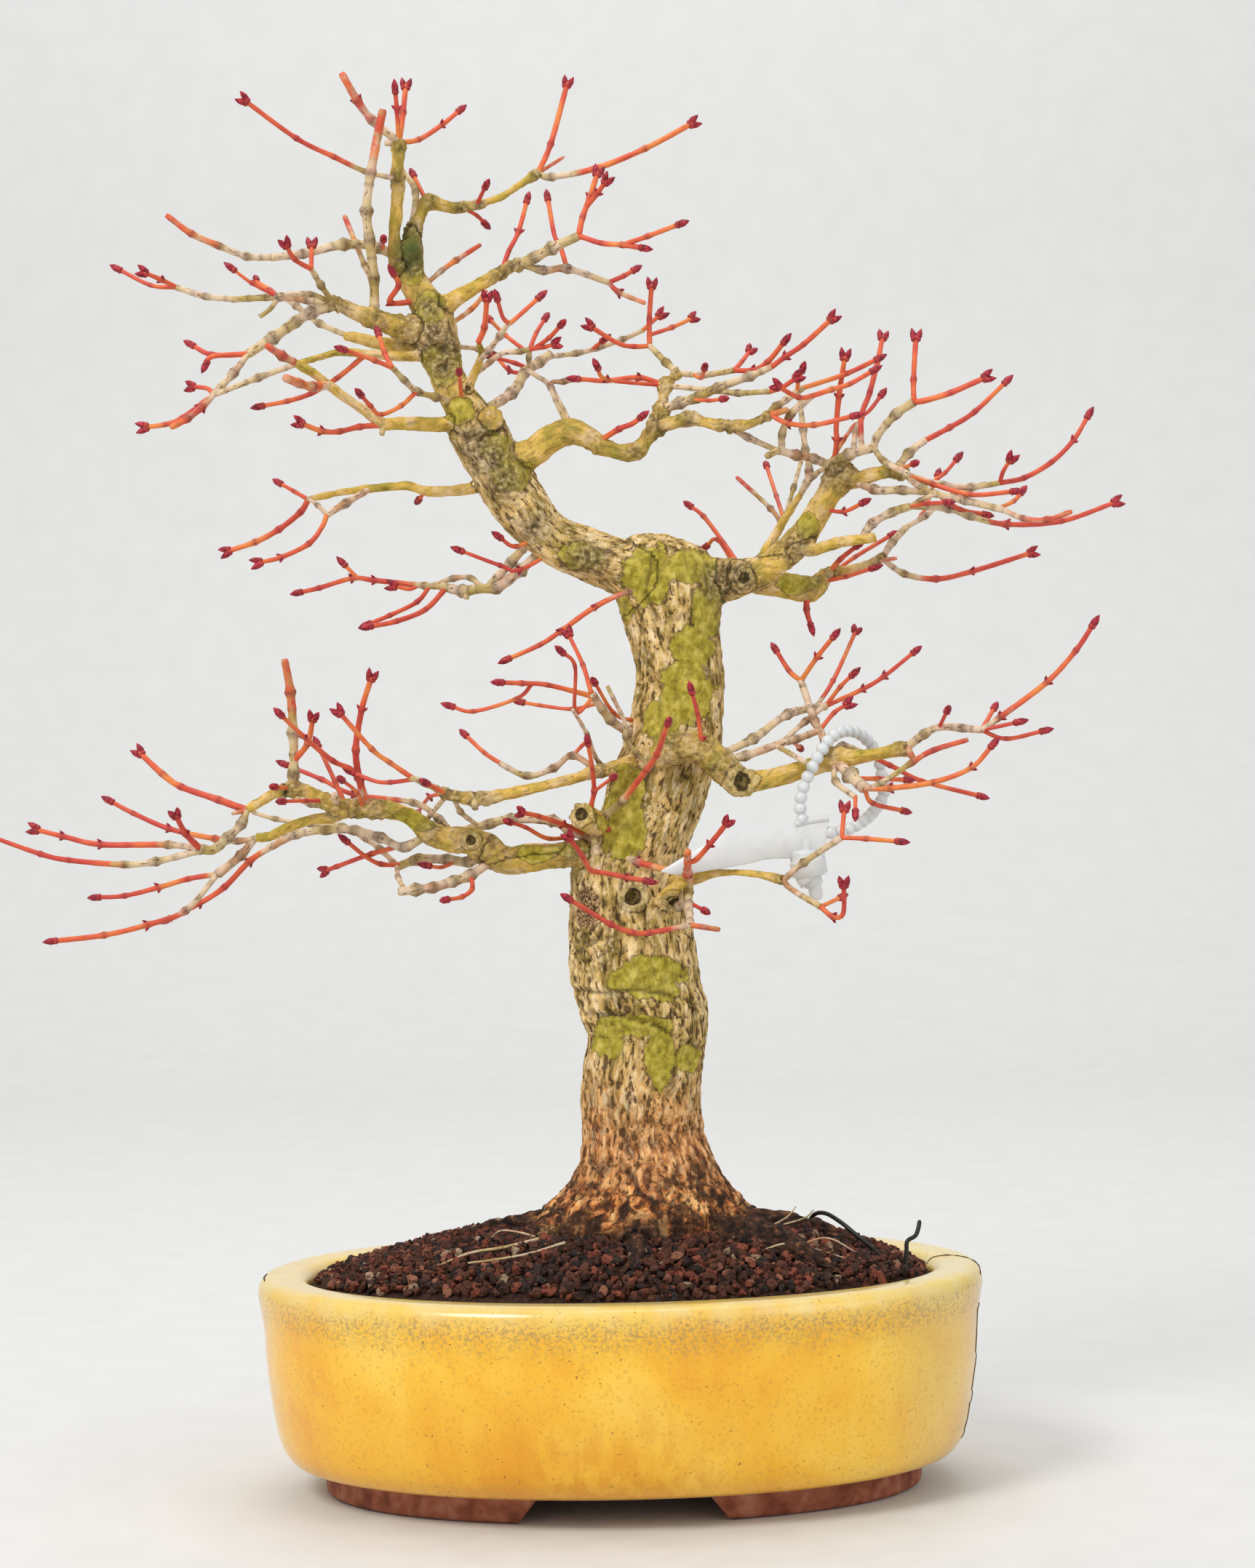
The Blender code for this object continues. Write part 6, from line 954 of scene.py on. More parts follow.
def twig_path(row, paths):
    """A twig's seen points with their depths. It starts on its parent's middle line."""
    _, parent, _, _, depth_end, _, points = row
    if parent == "trunk":
        start = leave_trunk(points[0], depth_end)
    else:
        near = min(paths[parent], key=lambda p: math.hypot(p[0] - points[0][0], p[1] - points[0][1]))
        start = [near]
    spans = [math.dist(a, b) for a, b in zip([start[-1][:2]] + points[1:], points[1:])]
    path, along = list(start), 0.0
    for point, span in zip(points[1:], spans):
        along += span
        share = along / sum(spans)
        path.append((point[0], point[1], start[-1][2] + (depth_end - start[-1][2]) * share))
    return path


def base_outline(angle, grow=0.0):
    """The tree's base where it enters the soil, lobed by its roots."""
    lobes = 1 + 0.05 * math.cos(5 * angle + 0.8) + 0.03 * math.cos(3 * angle - 0.5)
    return (
        BASE_X + (BASE_HALF_LENGTH * lobes + grow) * math.cos(angle),
        (BASE_HALF_WIDTH * lobes + grow) * math.sin(angle),
    )


def soil_height(x, y):
    """The soil's surface in mm, without its grains: a mound round the tree, higher on the right."""
    angle = math.atan2(y / BASE_HALF_WIDTH, (x - BASE_X) / BASE_HALF_LENGTH)
    near = math.hypot(*(Vector(base_outline(angle)) - Vector((BASE_X, 0))))
    edge_x, edge_y = oval(POT_LENGTH / 2 - LIP_WIDTH, POT_WIDTH / 2 - LIP_WIDTH, angle)
    far = math.hypot(edge_x - BASE_X, edge_y)
    share = min(max((math.hypot(x - BASE_X, y) - near) / (far - near), 0.0), 1.0)
    mound = SOIL_EDGE + (SOIL_TOP - SOIL_EDGE) * (1 - share**1.6)
    swell = 2.2 * math.exp(-(((x - 62) / 13) ** 2) - ((y + 2) / 20) ** 2)
    return mound + swell * min(1.0, 3 * share)


# Places on the trunk and leader as seen: scars as (across, up, radius, height), and the creases.
SCARS = [
    (4, 201.5, 4.4, 1.6), (17.5, 200, 3.0, 1.0), (42, 311, 2.6, 0.8),
    (41, 241, 4.4, 1.2), (-52, 220.5, 2.6, 0.9), (-14, 229.5, 3.4, 1.0), (-53, 376, 1.6, 0.6),
]
CREASES = [
    [(-17, 169), (-8, 168), (4, 169.5), (14, 168), (22, 166), (28, 163)],
    [(-12, 161), (0, 160), (12, 157), (20, 152), (28, 149)],
    [(-16, 190), (-10, 186), (-2, 188)],
    [(-60, 362), (-53, 359), (-45, 360), (-40, 363)],
    [(-66, 392), (-60, 388), (-55, 390)],
    [(10, 318), (8, 306), (12, 296)],
    [(34, 318), (37, 308), (33, 298)],
]
# Smooth green patches, where the outer bark is gone, as (across, up, half width, half height).
GREENS = [
    (9, 174, 12, 7), (0, 173, 6, 4), (15, 169, 5, 4), (-5, 153, 6, 7), (6, 157, 12, 4),
    (13, 146, 5.5, 11), (23, 146, 4, 5), (0, 227, 8, 14), (2, 238, 6, 9),
    (22, 272, 9, 12), (24, 287, 8, 7), (14, 262, 7, 8), (9, 312, 9, 11), (24, 315, 9, 6),
    (30, 300, 6, 10), (0, 300, 4, 7), (-14, 318, 8, 5), (-38, 346, 7, 6), (-44, 356, 6, 5),
    (-62, 384, 7, 7), (-66, 404, 5, 6), (-73, 416, 5, 5), (-30, 216, 7, 3), (-70, 228, 8, 4),
    (-18, 219, 7, 4), (-56, 368, 5, 5), (64, 329, 4, 5), (60, 309, 7, 4),
]


# The eye-shaped scar that folds of bark run round, as (across, up, half width, half height).
EYE_SCAR = (-11.8, 197.5, 4.4, 7.4)

# Pitted brown knobs on the leader, as (across, up, depth, reach).
LEADER_KNOTS = [
    (-46, 352, -12, 7), (-50, 358, -12, 6), (-41, 345, -12, 6), (-62, 384, -6, 6), (-65, 394, -6, 7),
    (-60, 391, -6, 6), (-66, 403, -2, 4), (-73, 419, -1, 5), (-30, 328, -8, 5), (-12, 318, -8, 6),
    (40, 312, -6, 7),
    (60, 322, -9, 5), (34, 309, -7, 6), (72, 348, -14, 6),
]


def near_line(across, up, line):
    """How far seen points lie from a line of points."""
    least = np.full(len(across), 1e9)
    for (u0, v0), (u1, v1) in zip(line, line[1:]):
        du, dv = u1 - u0, v1 - v0
        share = np.clip(((across - u0) * du + (up - v0) * dv) / (du * du + dv * dv), 0, 1)
        least = np.minimum(least, np.hypot(across - u0 - share * du, up - v0 - share * dv))
    return least


def patch_gap(across, up, patches):
    """How far seen points lie from oval patches, in each patch's own size: 1 is its edge."""
    least = np.full(len(across), 9.0)
    for u, v, half_u, half_v in patches:
        least = np.minimum(least, np.hypot((across - u) / half_u, (up - v) / half_v))
    return least


def noise_at(points, scale, seed=0.0):
    """Soft noise from -1 to 1 at each point in mm; scale is the size of its lumps in mm."""
    shift = Vector((seed, seed * 1.7, -seed))
    return np.array([noise.noise(Vector(p) / scale + shift) for p in points])


def all_paths():
    """Each limb's and twig's seen points with depths, and every twig's own path."""
    paths = {"trunk": dense([((left + right) / 2, height, depth) for height, left, right, depth in TRUNK])}
    for name, rows in LIMBS.items():
        paths[name] = dense([row[:3] for row in rows])
    own = []
    for row in TWIGS:
        path = twig_path(row, paths)
        own.append(path)
        if row[0]:
            paths[row[0]] = dense(path)
    return own


def trunk_rings():
    """The trunk as rings from under the soil to its top, finely spaced."""
    rows = [(height, left, right, depth) for height, left, right, depth in TRUNK]
    sides = 64
    turns = np.arange(sides) * 2 * math.pi / sides
    rings = []
    for height in (72, 80, 88, BASE_RISE):
        rings.append([(*base_outline(angle), height) for angle in turns])
    for height, left, right, depth in spline(rows, 2.5):
        middle = seen((left + right) / 2, height, depth)
        half = (right - left) / 2
        flare = max(0.0, 1 - (height - BASE_RISE) / FLARE_REACH)
        ring = []
        for angle in turns:
            lobe = 1 + flare * FLARE_LOBES * math.cos(5 * angle + 0.8)
            lobe += TRUNK_WAVES * math.cos(3 * angle + height / 30)
            y = middle.y + half * TRUNK_FLATNESS * lobe * math.sin(angle)
            ring.append((middle.x + half * math.cos(angle), y, middle.z))
        rings.append(ring)
    return np.array(rings).reshape(-1, 3), len(rings), sides


def heavy_wood(own):
    """Trunk, limbs, thick twigs and roots, melted into one surface."""
    heavy = Builder()
    points, rings, sides = trunk_rings()
    heavy.add(points, tube_faces(rings, sides))
    bones = []
    middle = spline([(*seen((l + r) / 2, v, d), (r - l) / 2) for v, l, r, d in TRUNK], 1.0)
    bones.append((middle[:, :3], middle[:, 3]))
    for index, rows in enumerate(LIMBS.values()):
        line = spline([(*seen(u, v, depth), thick / 2) for u, v, depth, thick in rows], RING_STEP)
        radii = np.maximum(line[:, 3], 0.9)
        heavy.add(tube_points(line[:, :3], radii, 20, 0.04, index), tube_faces(len(line), 20))
        bones.append((line[:, :3], radii))
    for index, (row, path) in enumerate(zip(TWIGS, own)):
        thick_start, thick_end = row[2], row[3]
        if thick_start < 4:
            continue
        line = spline([seen(*p) for p in path], RING_STEP)
        radii = np.linspace(thick_start, thick_end, len(line)) / 2
        heavy.add(tube_points(line, radii, 16, 0.03, index), tube_faces(len(line), 16))
        bones.append((line, radii))
    for lift, points in ROOTS:
        line = spline([(x, y, soil_height(x, y) + lift * thick, thick / 2) for x, y, thick in points], 2)
        heavy.add(tube_points(line[:, :3], line[:, 3], 16, 0.07, lift * 40), tube_faces(len(line), 16))
        bones.append((line[:, :3], line[:, 3]))
    made = heavy.make("heavy")
    melt = made.modifiers.new("melt", "REMESH")
    melt.mode = "VOXEL"
    melt.voxel_size = VOXEL * MM
    smooth = made.modifiers.new("smooth", "SMOOTH")
    smooth.factor = 0.5
    smooth.iterations = 2
    bpy.context.view_layer.update()
    mesh = bpy.data.meshes.new_from_object(made.evaluated_get(bpy.context.evaluated_depsgraph_get()))
    bpy.data.objects.remove(made)
    return mesh, bones, knots_of(own)


def knots_of(own):
    """Where limbs are knobbly: their thick places and where twigs leave them. Rows of place and reach."""
    knots = []
    for name, rows in LIMBS.items():
        for before, row, after in zip(rows, rows[1:], rows[2:] + [rows[-1]]):
            if name != "leader" and row[3] >= max(before[3], after[3]) or row[3] < before[3] - 4:
                knots.append((*seen(*row[:3]), row[3] * 0.62))
    for row, path in zip(TWIGS, own):
        if row[1] in LIMBS:
            knots.append((*seen(*path[0]), row[2] * 0.8 + 1.2))
    knots += [(*seen(u, v, depth), reach) for u, v, depth, reach in LEADER_KNOTS]
    return np.array(knots)


def nearest_bones(points, bones, first):
    """For each point, the facts of the nearest middle line, and how far off that wood's surface is."""
    tree = KDTree(sum(len(line) for line, _ in bones))
    facts, index = [], 0
    for number, (line, radii) in enumerate(bones, first):
        _, across, up = frames_along(line)
        along = lengths_along(line)
        for i in range(len(line)):
            tree.insert(Vector(line[i]), index)
            facts.append((*line[i], *across[i], *up[i], along[i] + 37 * number, radii[i]))
            index += 1
    tree.balance()
    facts = np.array(facts)
    found = [min(tree.find_n(Vector(p), 4), key=lambda hit: hit[2] - facts[hit[1], 10]) for p in points]
    fact = facts[[number for _, number, _ in found]]
    return fact, np.array([distance for _, _, distance in found]) - fact[:, 10]


def bark_relief(points, normals, bones, knots):
    """Moves the heavy wood's points out by its bark, scars and creases, and says how each is coloured."""
    stem, stem_gap = nearest_bones(points, bones[:2], 0)
    limb, limb_gap = nearest_bones(points, bones[2:], 2)
    fact = np.where((limb_gap < stem_gap)[:, None], limb, stem)
    offset = points - fact[:, :3]
    grain = np.stack(
        [(offset * fact[:, 3:6]).sum(1), (offset * fact[:, 6:9]).sum(1), fact[:, 9]], axis=1
    )
    radius = fact[:, 10]
    stout = soft_step(radius, 1.5, 15)
    across, up = view_of(points)
    facing = soft_step(-normals[:, 1], 0.0, 0.35)

    coarse = noise_at(grain * (1, 1, 0.28), 2.0)
    fine = noise_at(grain * (1, 1, 0.4), 1.3, 5.0)
    crumbs = noise_at(points, 1.7, 21.0)
    lumps = noise_at(points, 11.0, 9.0)
    knobbly = noise_at(points, 4.5, 3.0)
    fissure = 1 - np.abs(coarse) * 2.4
    belt = 1 + 0.9 * np.exp(-(((up - 162) / 6) ** 2))
    behind = 1.2 - 2.5 * (lumps + 0.35 * knobbly) + 2 * (1 - soft_step(up, 135, 175))
    green_gap = patch_gap(across, up, GREENS) + knobbly * 0.22 + coarse * 0.16 + 3 * (1 - facing)
    green_gap = np.minimum(green_gap, behind + 3 * facing)
    green = soft_step(-green_gap, -1.05, -0.92)
    rough = (0.35 + 0.65 * stout) * (1 - 0.85 * green)
    out = rough * (0.45 * fine - 0.85 * belt * np.clip(fissure - 0.4, 0, 1)) + 0.9 * lumps * stout
    out += (1 - stout) * 0.35 * knobbly - 0.35 * green * stout
    # dark: the bark's own darker cracks, with painted shade laid in the fissures where the relief sinks
    dark = soft_step(fissure, 0.6, 0.95) * rough * np.minimum(1, 0.6 * belt) * soft_step(fine, -0.45, 0.1)
    forest = KDTree(len(knots))
    for number, knot in enumerate(knots):
        forest.insert(Vector(knot[:3]), number)
    forest.balance()
    nearest = [forest.find(Vector(p)) for p in points]
    reach = knots[[number for _, number, _ in nearest], 3]
    gap = np.array([distance for _, _, distance in nearest])
    knot = np.exp(-((gap / (reach + 1.0)) ** 2))
    out += knot * (0.6 + 1.7 * crumbs)
    # Painted shade in the knots' pits, over their own darker colour.
    dark = np.maximum(dark, knot * soft_step(-crumbs, 0.0, 0.3) * 0.8)
    eye_gap = patch_gap(across, up, [EYE_SCAR]) + 0.15 * knobbly + 3 * (1 - facing)
    eye = eye_gap * EYE_SCAR[3]
    folds = soft_step(-eye, -28, -18) * soft_step(eye, 6, 8) * soft_step(-up, -203, -193) * (1 - green)
    waves = np.sin(1.9 * eye + 2.2 * knobbly)
    out += 0.5 * folds * waves + 0.9 * np.exp(-(((eye_gap - 1.15) / 0.2) ** 2))
    out -= 0.8 * np.exp(-((eye_gap / 0.6) ** 2))
    # Painted shade in the troughs of the folds round the eye-shaped scar.
    dark = np.maximum(dark, 0.8 * folds * soft_step(-waves, 0.3, 0.9))

    flare = 1 - soft_step(points[:, 2], 86, 116)
    angle = np.arctan2(points[:, 1], points[:, 0] - BASE_X)
    ribs = np.sin(11 * angle + 3 * lumps + coarse)
    cords = np.sin(37 * angle + 6 * lumps + 3 * knobbly + 0.25 * points[:, 2])
    wrinkles = np.sin(2.3 * up + 5 * lumps + 3 * knobbly + 0.12 * across)
    skirt = facing * (1 - soft_step(up, 88, 97))
    out += flare * (0.9 * ribs + 0.45 * cords * (1 - skirt) + 0.7 * knobbly) + 0.5 * skirt * wrinkles
    creased = np.maximum(soft_step(-ribs, 0.4, 1.0), soft_step(-cords, 0.3, 0.95) * (1 - skirt))
    creased = np.maximum(creased, soft_step(-wrinkles, 0.35, 0.9) * skirt)
    # Painted shade in the troughs of the base's ribs, cords and wrinkles, over their own darker colour.
    dark = np.maximum(dark, flare * creased * 0.75)
    away = np.hypot(points[:, 0] - BASE_X, points[:, 1] * 1.15)
    outer = soft_step(away + 5 * lumps, 33, 42) * (1 - soft_step(points[:, 2], 92, 104))
    for line in CREASES:
        gap = near_line(across, up, line)
        gap = gap + 0.5 * knobbly
        out -= facing * 0.7 * np.exp(-((gap / 0.8) ** 2))
        out += facing * 0.5 * np.exp(-(((gap - 2.0) / 1.2) ** 2))
        # Painted shade along the creases, where they sink.
        dark = np.maximum(dark, 0.75 * facing * np.exp(-((gap / 0.6) ** 2)))
    scar_gap = np.full(len(points), 9.0)
    for u, v, size, height in SCARS:
        gap = np.hypot(across - u, (up - v) * 0.92) * (1 + 0.3 * knobbly) / size + 4 * (1 - facing)
        out += height * np.exp(-(((gap - 0.95) / 0.3) ** 2)) - 1.3 * height * np.exp(-((gap / 0.5) ** 2))
        scar_gap = np.minimum(scar_gap, gap)
    knob = np.exp(-(((across + 72.4) / 6) ** 2) - ((up - 424) / 7) ** 2)
    out += knob * 0.9 * knobbly
    marks = {
        "grain": grain, "green_gap": green_gap, "scar_gap": scar_gap, "eye_gap": eye_gap, "dark": dark,
        "stout": stout, "moss": knob, "knot": knot, "outer": outer,
    }
    return points + normals * out[:, None] * np.minimum(1, radius / 2.2)[:, None], marks


def make_wood(own, material):
    mesh, bones, knots = heavy_wood(own)
    count = len(mesh.vertices)
    points, normals = np.empty(count * 3), np.empty(count * 3)
    mesh.vertices.foreach_get("co", points)
    mesh.vertex_normals.foreach_get("vector", normals)
    points = (points.reshape(-1, 3) - np.array(STAND_SHIFT) * MM) / MM
    points, marks = bark_relief(points, normals.reshape(-1, 3), bones, knots)
    shaped = (points + np.array(STAND_SHIFT)) * MM
    mesh.vertices.foreach_set("co", shaped.ravel())
    for name, values in marks.items():
        kind = "FLOAT_VECTOR" if values.ndim == 2 else "FLOAT"
        layer = mesh.attributes.new(name, kind, "POINT")
        layer.data.foreach_set("vector" if values.ndim == 2 else "value", values.astype(np.float32).ravel())
    mesh.polygons.foreach_set("use_smooth", [True] * len(mesh.polygons))
    mesh.materials.clear()
    mesh.materials.append(material)
    wood = bpy.data.objects.new("trunk_and_limbs", mesh)
    bpy.context.scene.collection.objects.link(wood)
    return wood


def lathe(builder, base, direction, profile, sides, **marks):
    """Adds a closed turned shape; profile rows are (share of length along direction, radius)."""
    base, direction = np.array(base), np.array(direction)
    line = np.array([base + direction * along for along, _ in profile])
    radii = [radius for _, radius in profile]
    builder.add(tube_points(line, radii, sides), tube_faces(len(line), sides), **marks)


BUD_PROFILE = [(0, 0.5), (0.1, 0.78), (0.28, 1.0), (0.5, 0.97), (0.7, 0.72), (0.88, 0.36), (1, 0.08)]


def add_bud(builder, base, direction, length, thick, tint):
    """A pointed winter bud with a swollen middle and a collar of scales under it."""
    half = thick / 2
    profile = [(share, half * size) for share, size in BUD_PROFILE]
    unit = np.array(direction) / np.linalg.norm(direction)
    lathe(builder, base, unit * length, profile, BUD_SIDES, red=tint, node=0.0, bud=1.0, grain=(0, 0, 0))
    scale = [(-0.12, half * 0.7), (0.04, half * 1.06), (0.2, half * 0.9), (0.24, half * 0.4)]
    lathe(builder, base, unit * length, scale, BUD_SIDES, red=tint, node=1.0, bud=0.6, grain=(0, 0, 0))


def twig_redness(name, tip, thick_end, length_left):
    """How much of a one-year shoot's red a twig has this far from its tip."""
    if tip == "bud" or tip == "pair":
        return 1 - soft_step(length_left, RED_REACH * 0.75, RED_REACH * 1.3)
    if tip == "cut":
        return 0.55 * (1 - soft_step(length_left, 10, 34)) * (thick_end < 4)
    return np.zeros(len(length_left))


def add_fine_twig(builder, row, path, rng):
    """One twig as a fine tube with knobbly nodes, its cut end, or its buds."""
    name, _, thick_start, thick_end, _, tip, _ = row
    line = spline([seen(*p) for p in path], TWIG_STEP)
    along = lengths_along(line)
    total = along[-1]
    radii = np.interp(along, [0, total], [thick_start / 2, thick_end / 2])
    left = total - along
    red = twig_redness(name, tip, thick_end, left)
    node = np.zeros(len(line))
    tangents, across, _ = frames_along(line)
    corners = [seen(*p) for p in path[1:-1]]
    spots = [along[np.argmin(np.linalg.norm(line - np.array(c), axis=1))] for c in corners]
    kept = []
    for spot in sorted(spots):
        if spot > 5 and total - spot > 5 and (not kept or spot - kept[-1] > 6):
            kept.append(spot)
    for spot in kept:
        swell = np.exp(-(((along - spot) / (1.5 - 0.5 * red)) ** 2))
        radii = radii * (1 + swell * (0.48 - 0.22 * red))
        node = np.maximum(node, swell)
    for spot in np.arange(rng.uniform(2, 6), total, rng.uniform(6, 9)):
        scar = np.exp(-(((along - spot) / 0.7) ** 2)) * (1 - red)
        radii = radii * (1 + 0.1 * scar)
        node = np.maximum(node, 0.75 * scar)
    rings = 0.12 * np.sin(along * 5.5 + rng.random() * 6) * node
    radii = radii * (1 + rings + 0.03 * np.sin(along * 1.1 + rng.random() * 6))
    cut = tip == "cut"
    if cut:
        radii[-1] *= 0.8
    sides = 10 if thick_start > 3 else 8
    spread = sides * len(line)
    grain = np.repeat(np.stack([radii, radii * 0, along + 41 * rng.random()], 1), sides, axis=0)
    turns = np.tile(np.arange(sides) * 2 * math.pi / sides, len(line))
    grain[:, 0], grain[:, 1] = grain[:, 0] * np.cos(turns), grain[:, 0] * np.sin(turns)
    marks = {"red": np.repeat(red, sides), "node": np.repeat(node, sides), "grain": grain}
    builder.add(
        tube_points(line, radii, sides, 0.03), tube_faces(len(line), sides), bud=np.zeros(spread),
        **marks,
    )
    for spot in kept:
        at = int(np.argmin(np.abs(along - spot)))
        if red[at] < 0.4 or thick_end > 2.6 or rng.random() > LATERAL_BUDS:
            continue
        for side in (-1, 1):
            out = across[at] * side * 0.75 + tangents[at] * 0.8
            base = line[at] + across[at] * side * radii[at] * 0.55
            add_bud(builder, base, out, 1.9, 1.1, 1.0)
    tangent = tangents[-1]
    if tip == "bud":
        add_bud(builder, line[-1] - tangent * 1.2, tangent, BUD_LENGTH - 0.4, BUD_THICK * 0.88, 1.0)
    if tip == "pair":
        wide = np.cross(tangent, (0, 1, 0))
        wide /= np.linalg.norm(wide) + 1e-9
        for side in (-1, 1):
            out = tangent + wide * side * 0.28
            base = line[-1] - tangent * 1.4 + wide * side * 0.5
            add_bud(builder, base, out, BUD_LENGTH * 0.82, BUD_THICK * 0.78, 1.0)


def make_twigs(own, material):
    twigs = Builder()
    rng = random.Random(11)
    for row, path in zip(TWIGS, own):
        if row[2] >= 4:
            continue
        add_fine_twig(twigs, row, path, rng)
    for row, path in zip(TWIGS, own):
        if row[2] >= 4 and row[5] in ("bud", "pair"):
            tip = np.array(seen(*path[-1]))
            tangent = tip - np.array(seen(*path[-2]))
            add_bud(twigs, tip - tangent * 0.02, tangent, BUD_LENGTH, BUD_THICK, 1.0)
    for hair in ROOT_HAIRS:
        line = spline([(x, y, soil_height(x, y) + lift, thick / 2) for x, y, lift, thick in hair], 1.0)
        grain = np.repeat(line[:, :3], 6, axis=0)
        tube = tube_points(line[:, :3], line[:, 3], 6)
        twigs.add(tube, tube_faces(len(line), 6), red=0.0, node=0.2, bud=0.0, grain=grain)
    return twigs.make("twigs", material)


def inner_wall():
    """The pot's inside: half length, half width and height, from the lip down to the floor."""
    opening_x, opening_y = POT_LENGTH / 2 - LIP_WIDTH, POT_WIDTH / 2 - LIP_WIDTH
    return [
        (opening_x, opening_y, POT_HEIGHT - 5),
        (opening_x, opening_y, POT_HEIGHT - 9),
        (opening_x + 3.5, opening_y + 3.5, POT_HEIGHT - 16),
        (POT_LENGTH / 2 - WALL - 7, POT_WIDTH / 2 - WALL - 6.5, 28),
        (POT_LENGTH / 2 - WALL - 15, POT_WIDTH / 2 - WALL - 14, FLOOR_TOP),
    ]


def ring_of(half_x, half_y, height, sides):
    turns = np.arange(sides) * 2 * math.pi / sides
    return [(*oval(half_x, half_y, turn), height) for turn in turns]


def make_pot(material):
    """The pot with a rounded lip and wall, its notched foot ring and its holes."""
    half_x, half_y = POT_LENGTH / 2, POT_WIDTH / 2
    foot_x, foot_y = FOOT_LENGTH / 2, FOOT_WIDTH / 2
    body = [
        (half_x - 19, half_y - 24, FOOT_HEIGHT + 0.2), (half_x - 14, half_y - 18, FOOT_HEIGHT + 1.0),
        (half_x - 10, half_y - 13, 12.5), (half_x - 6.5, half_y - 8, 19), (half_x - 4, half_y - 4.5, 32),
        (half_x - 2.4, half_y - 2.4, 46), (half_x - 1.9, half_y - 1.9, 56),
        (half_x - 0.9, half_y - 0.9, 63),
        (half_x - 0.1, half_y - 0.1, 67.5), (half_x - 0.1, half_y - 0.1, 70),
        (half_x - 1.2, half_y - 1.2, 72.9),
        (half_x - 4, half_y - 4, POT_HEIGHT - 0.1), (half_x - 9, half_y - 9, POT_HEIGHT),
        (half_x - 14, half_y - 14, POT_HEIGHT - 0.5), (half_x - 16.6, half_y - 16.6, POT_HEIGHT - 2.4),
    ]
    levels = [
        (foot_x - FOOT_THICK, foot_y - FOOT_THICK, FOOT_HEIGHT - 0.5),
        (foot_x - FOOT_THICK, foot_y - FOOT_THICK, 0.6),
        (foot_x - FOOT_THICK + 1, foot_y - FOOT_THICK + 1, 0),
        (foot_x - 1.6, foot_y - 1.6, 0), (foot_x - 0.3, foot_y - 0.3, 0.8), (foot_x, foot_y, 2.2),
        (foot_x + 0.3, foot_y + 0.3, FOOT_HEIGHT - 0.8), (foot_x + 1.4, foot_y + 1.4, FOOT_HEIGHT),
    ]
    levels += [tuple(row) for row in spline(body, 1.6)] + inner_wall()
    pot = Builder()
    points = np.array([ring_of(*level, POT_FINE_SIDES) for level in levels]).reshape(-1, 3)
    pot.add(points, tube_faces(len(levels), POT_FINE_SIDES))
    made = pot.make("glazed_pot", material)
    cutters = Builder()
    for side in (-1, 1):
        low, high = -1, FOOT_HEIGHT - 0.5
        outline = [
            (-NOTCH_HALF_BOTTOM - 1, low), (NOTCH_HALF_BOTTOM + 1, low), (NOTCH_HALF_TOP, high),
            (-NOTCH_HALF_TOP, high),
        ]
        near, far = sorted((side * (foot_y - FOOT_THICK - 3), side * (foot_y + 12)))
        cutters.add([(x, y, z) for y in (far, near) for x, z in outline], tube_faces(2, 4))
        turns = np.arange(32) * 2 * math.pi / 32
        circle = [(DRAIN_RADIUS * math.cos(a), DRAIN_RADIUS * math.sin(a)) for a in turns]
        column = [(side * DRAIN_OFFSET + x, y, z) for z in (0, FLOOR_TOP + 5) for x, y in circle]
        cutters.add(column, tube_faces(2, 32))
    cutter = cutters.make("cutter")
    cut = made.modifiers.new("cut", "BOOLEAN")
    cut.operation = "DIFFERENCE"
    cut.solver = "EXACT"
    cut.object = cutter
    bpy.context.view_layer.update()
    mesh = bpy.data.meshes.new_from_object(made.evaluated_get(bpy.context.evaluated_depsgraph_get()))
    made.modifiers.clear()
    made.data = mesh
    bpy.data.objects.remove(cutter)
    return made


def on_pot(pot, across, up):
    """The place in mm where the eye meets the pot at this seen point."""
    shift = np.array(STAND_SHIFT)
    eye = seen(across, up, -EYE_DISTANCE + 1)
    aim = seen(across, up, 0)
    hit, place, _, _ = pot.ray_cast((eye + STAND_SHIFT) * MM, (aim - eye).normalized())
    if not hit:
        return on_pot(pot, across - math.copysign(0.4, across), up)
    return np.array(place) / MM - shift


def make_hairline(pot, material):
    """The fine dark crack down the pot's right end, and the small chip at the left."""
    lines = Builder()
    for crack in HAIRLINES:
        points = [on_pot(pot, u, v) for u, v in spline([(*p, 0) for p in crack], 1.2)[:, :2]]
        points = spline([tuple(p) for p in points], 0.8)
        wander = np.array([[noise.noise(Vector(p) * 0.35) * 0.3] * 3 for p in points]) * (0.2, 0.2, 1)
        radii = np.full(len(points), HAIRLINE_THICK / 2)
        radii[0] = radii[-1] = 0.05
        lines.add(tube_points(points + wander, radii, 6), tube_faces(len(points), 6))
    return lines.make("pot_hairline", material)


def make_soil(material):
    """The mound under the grains, closed down to the pot's floor."""
    sides, rings = 180, 46
    turns = np.arange(sides) * 2 * math.pi / sides
    inner = inner_wall()
    top_x, top_y = inner[0][0] - 0.4, inner[0][1] - 0.4
    points, levels = [], 0
    for i in range(rings + 1):
        share = i / rings
        for turn in turns:
            near = Vector(base_outline(turn, -6))
            far = Vector(oval(top_x, top_y, turn))
            x, y = near.lerp(far, share)
            lump = noise.noise(Vector((x, y, 0)) / 3.1) * 0.9
            points.append((x, y, soil_height(x, y) - 0.9 + lump))
        levels += 1
    for half_x, half_y, height in inner[1:]:
        points += ring_of(half_x - 0.5, half_y - 0.5, height, sides)
        levels += 1
    mound = Builder()
    mound.add(points, tube_faces(levels, sides))
    return mound.make("soil_mound", material)


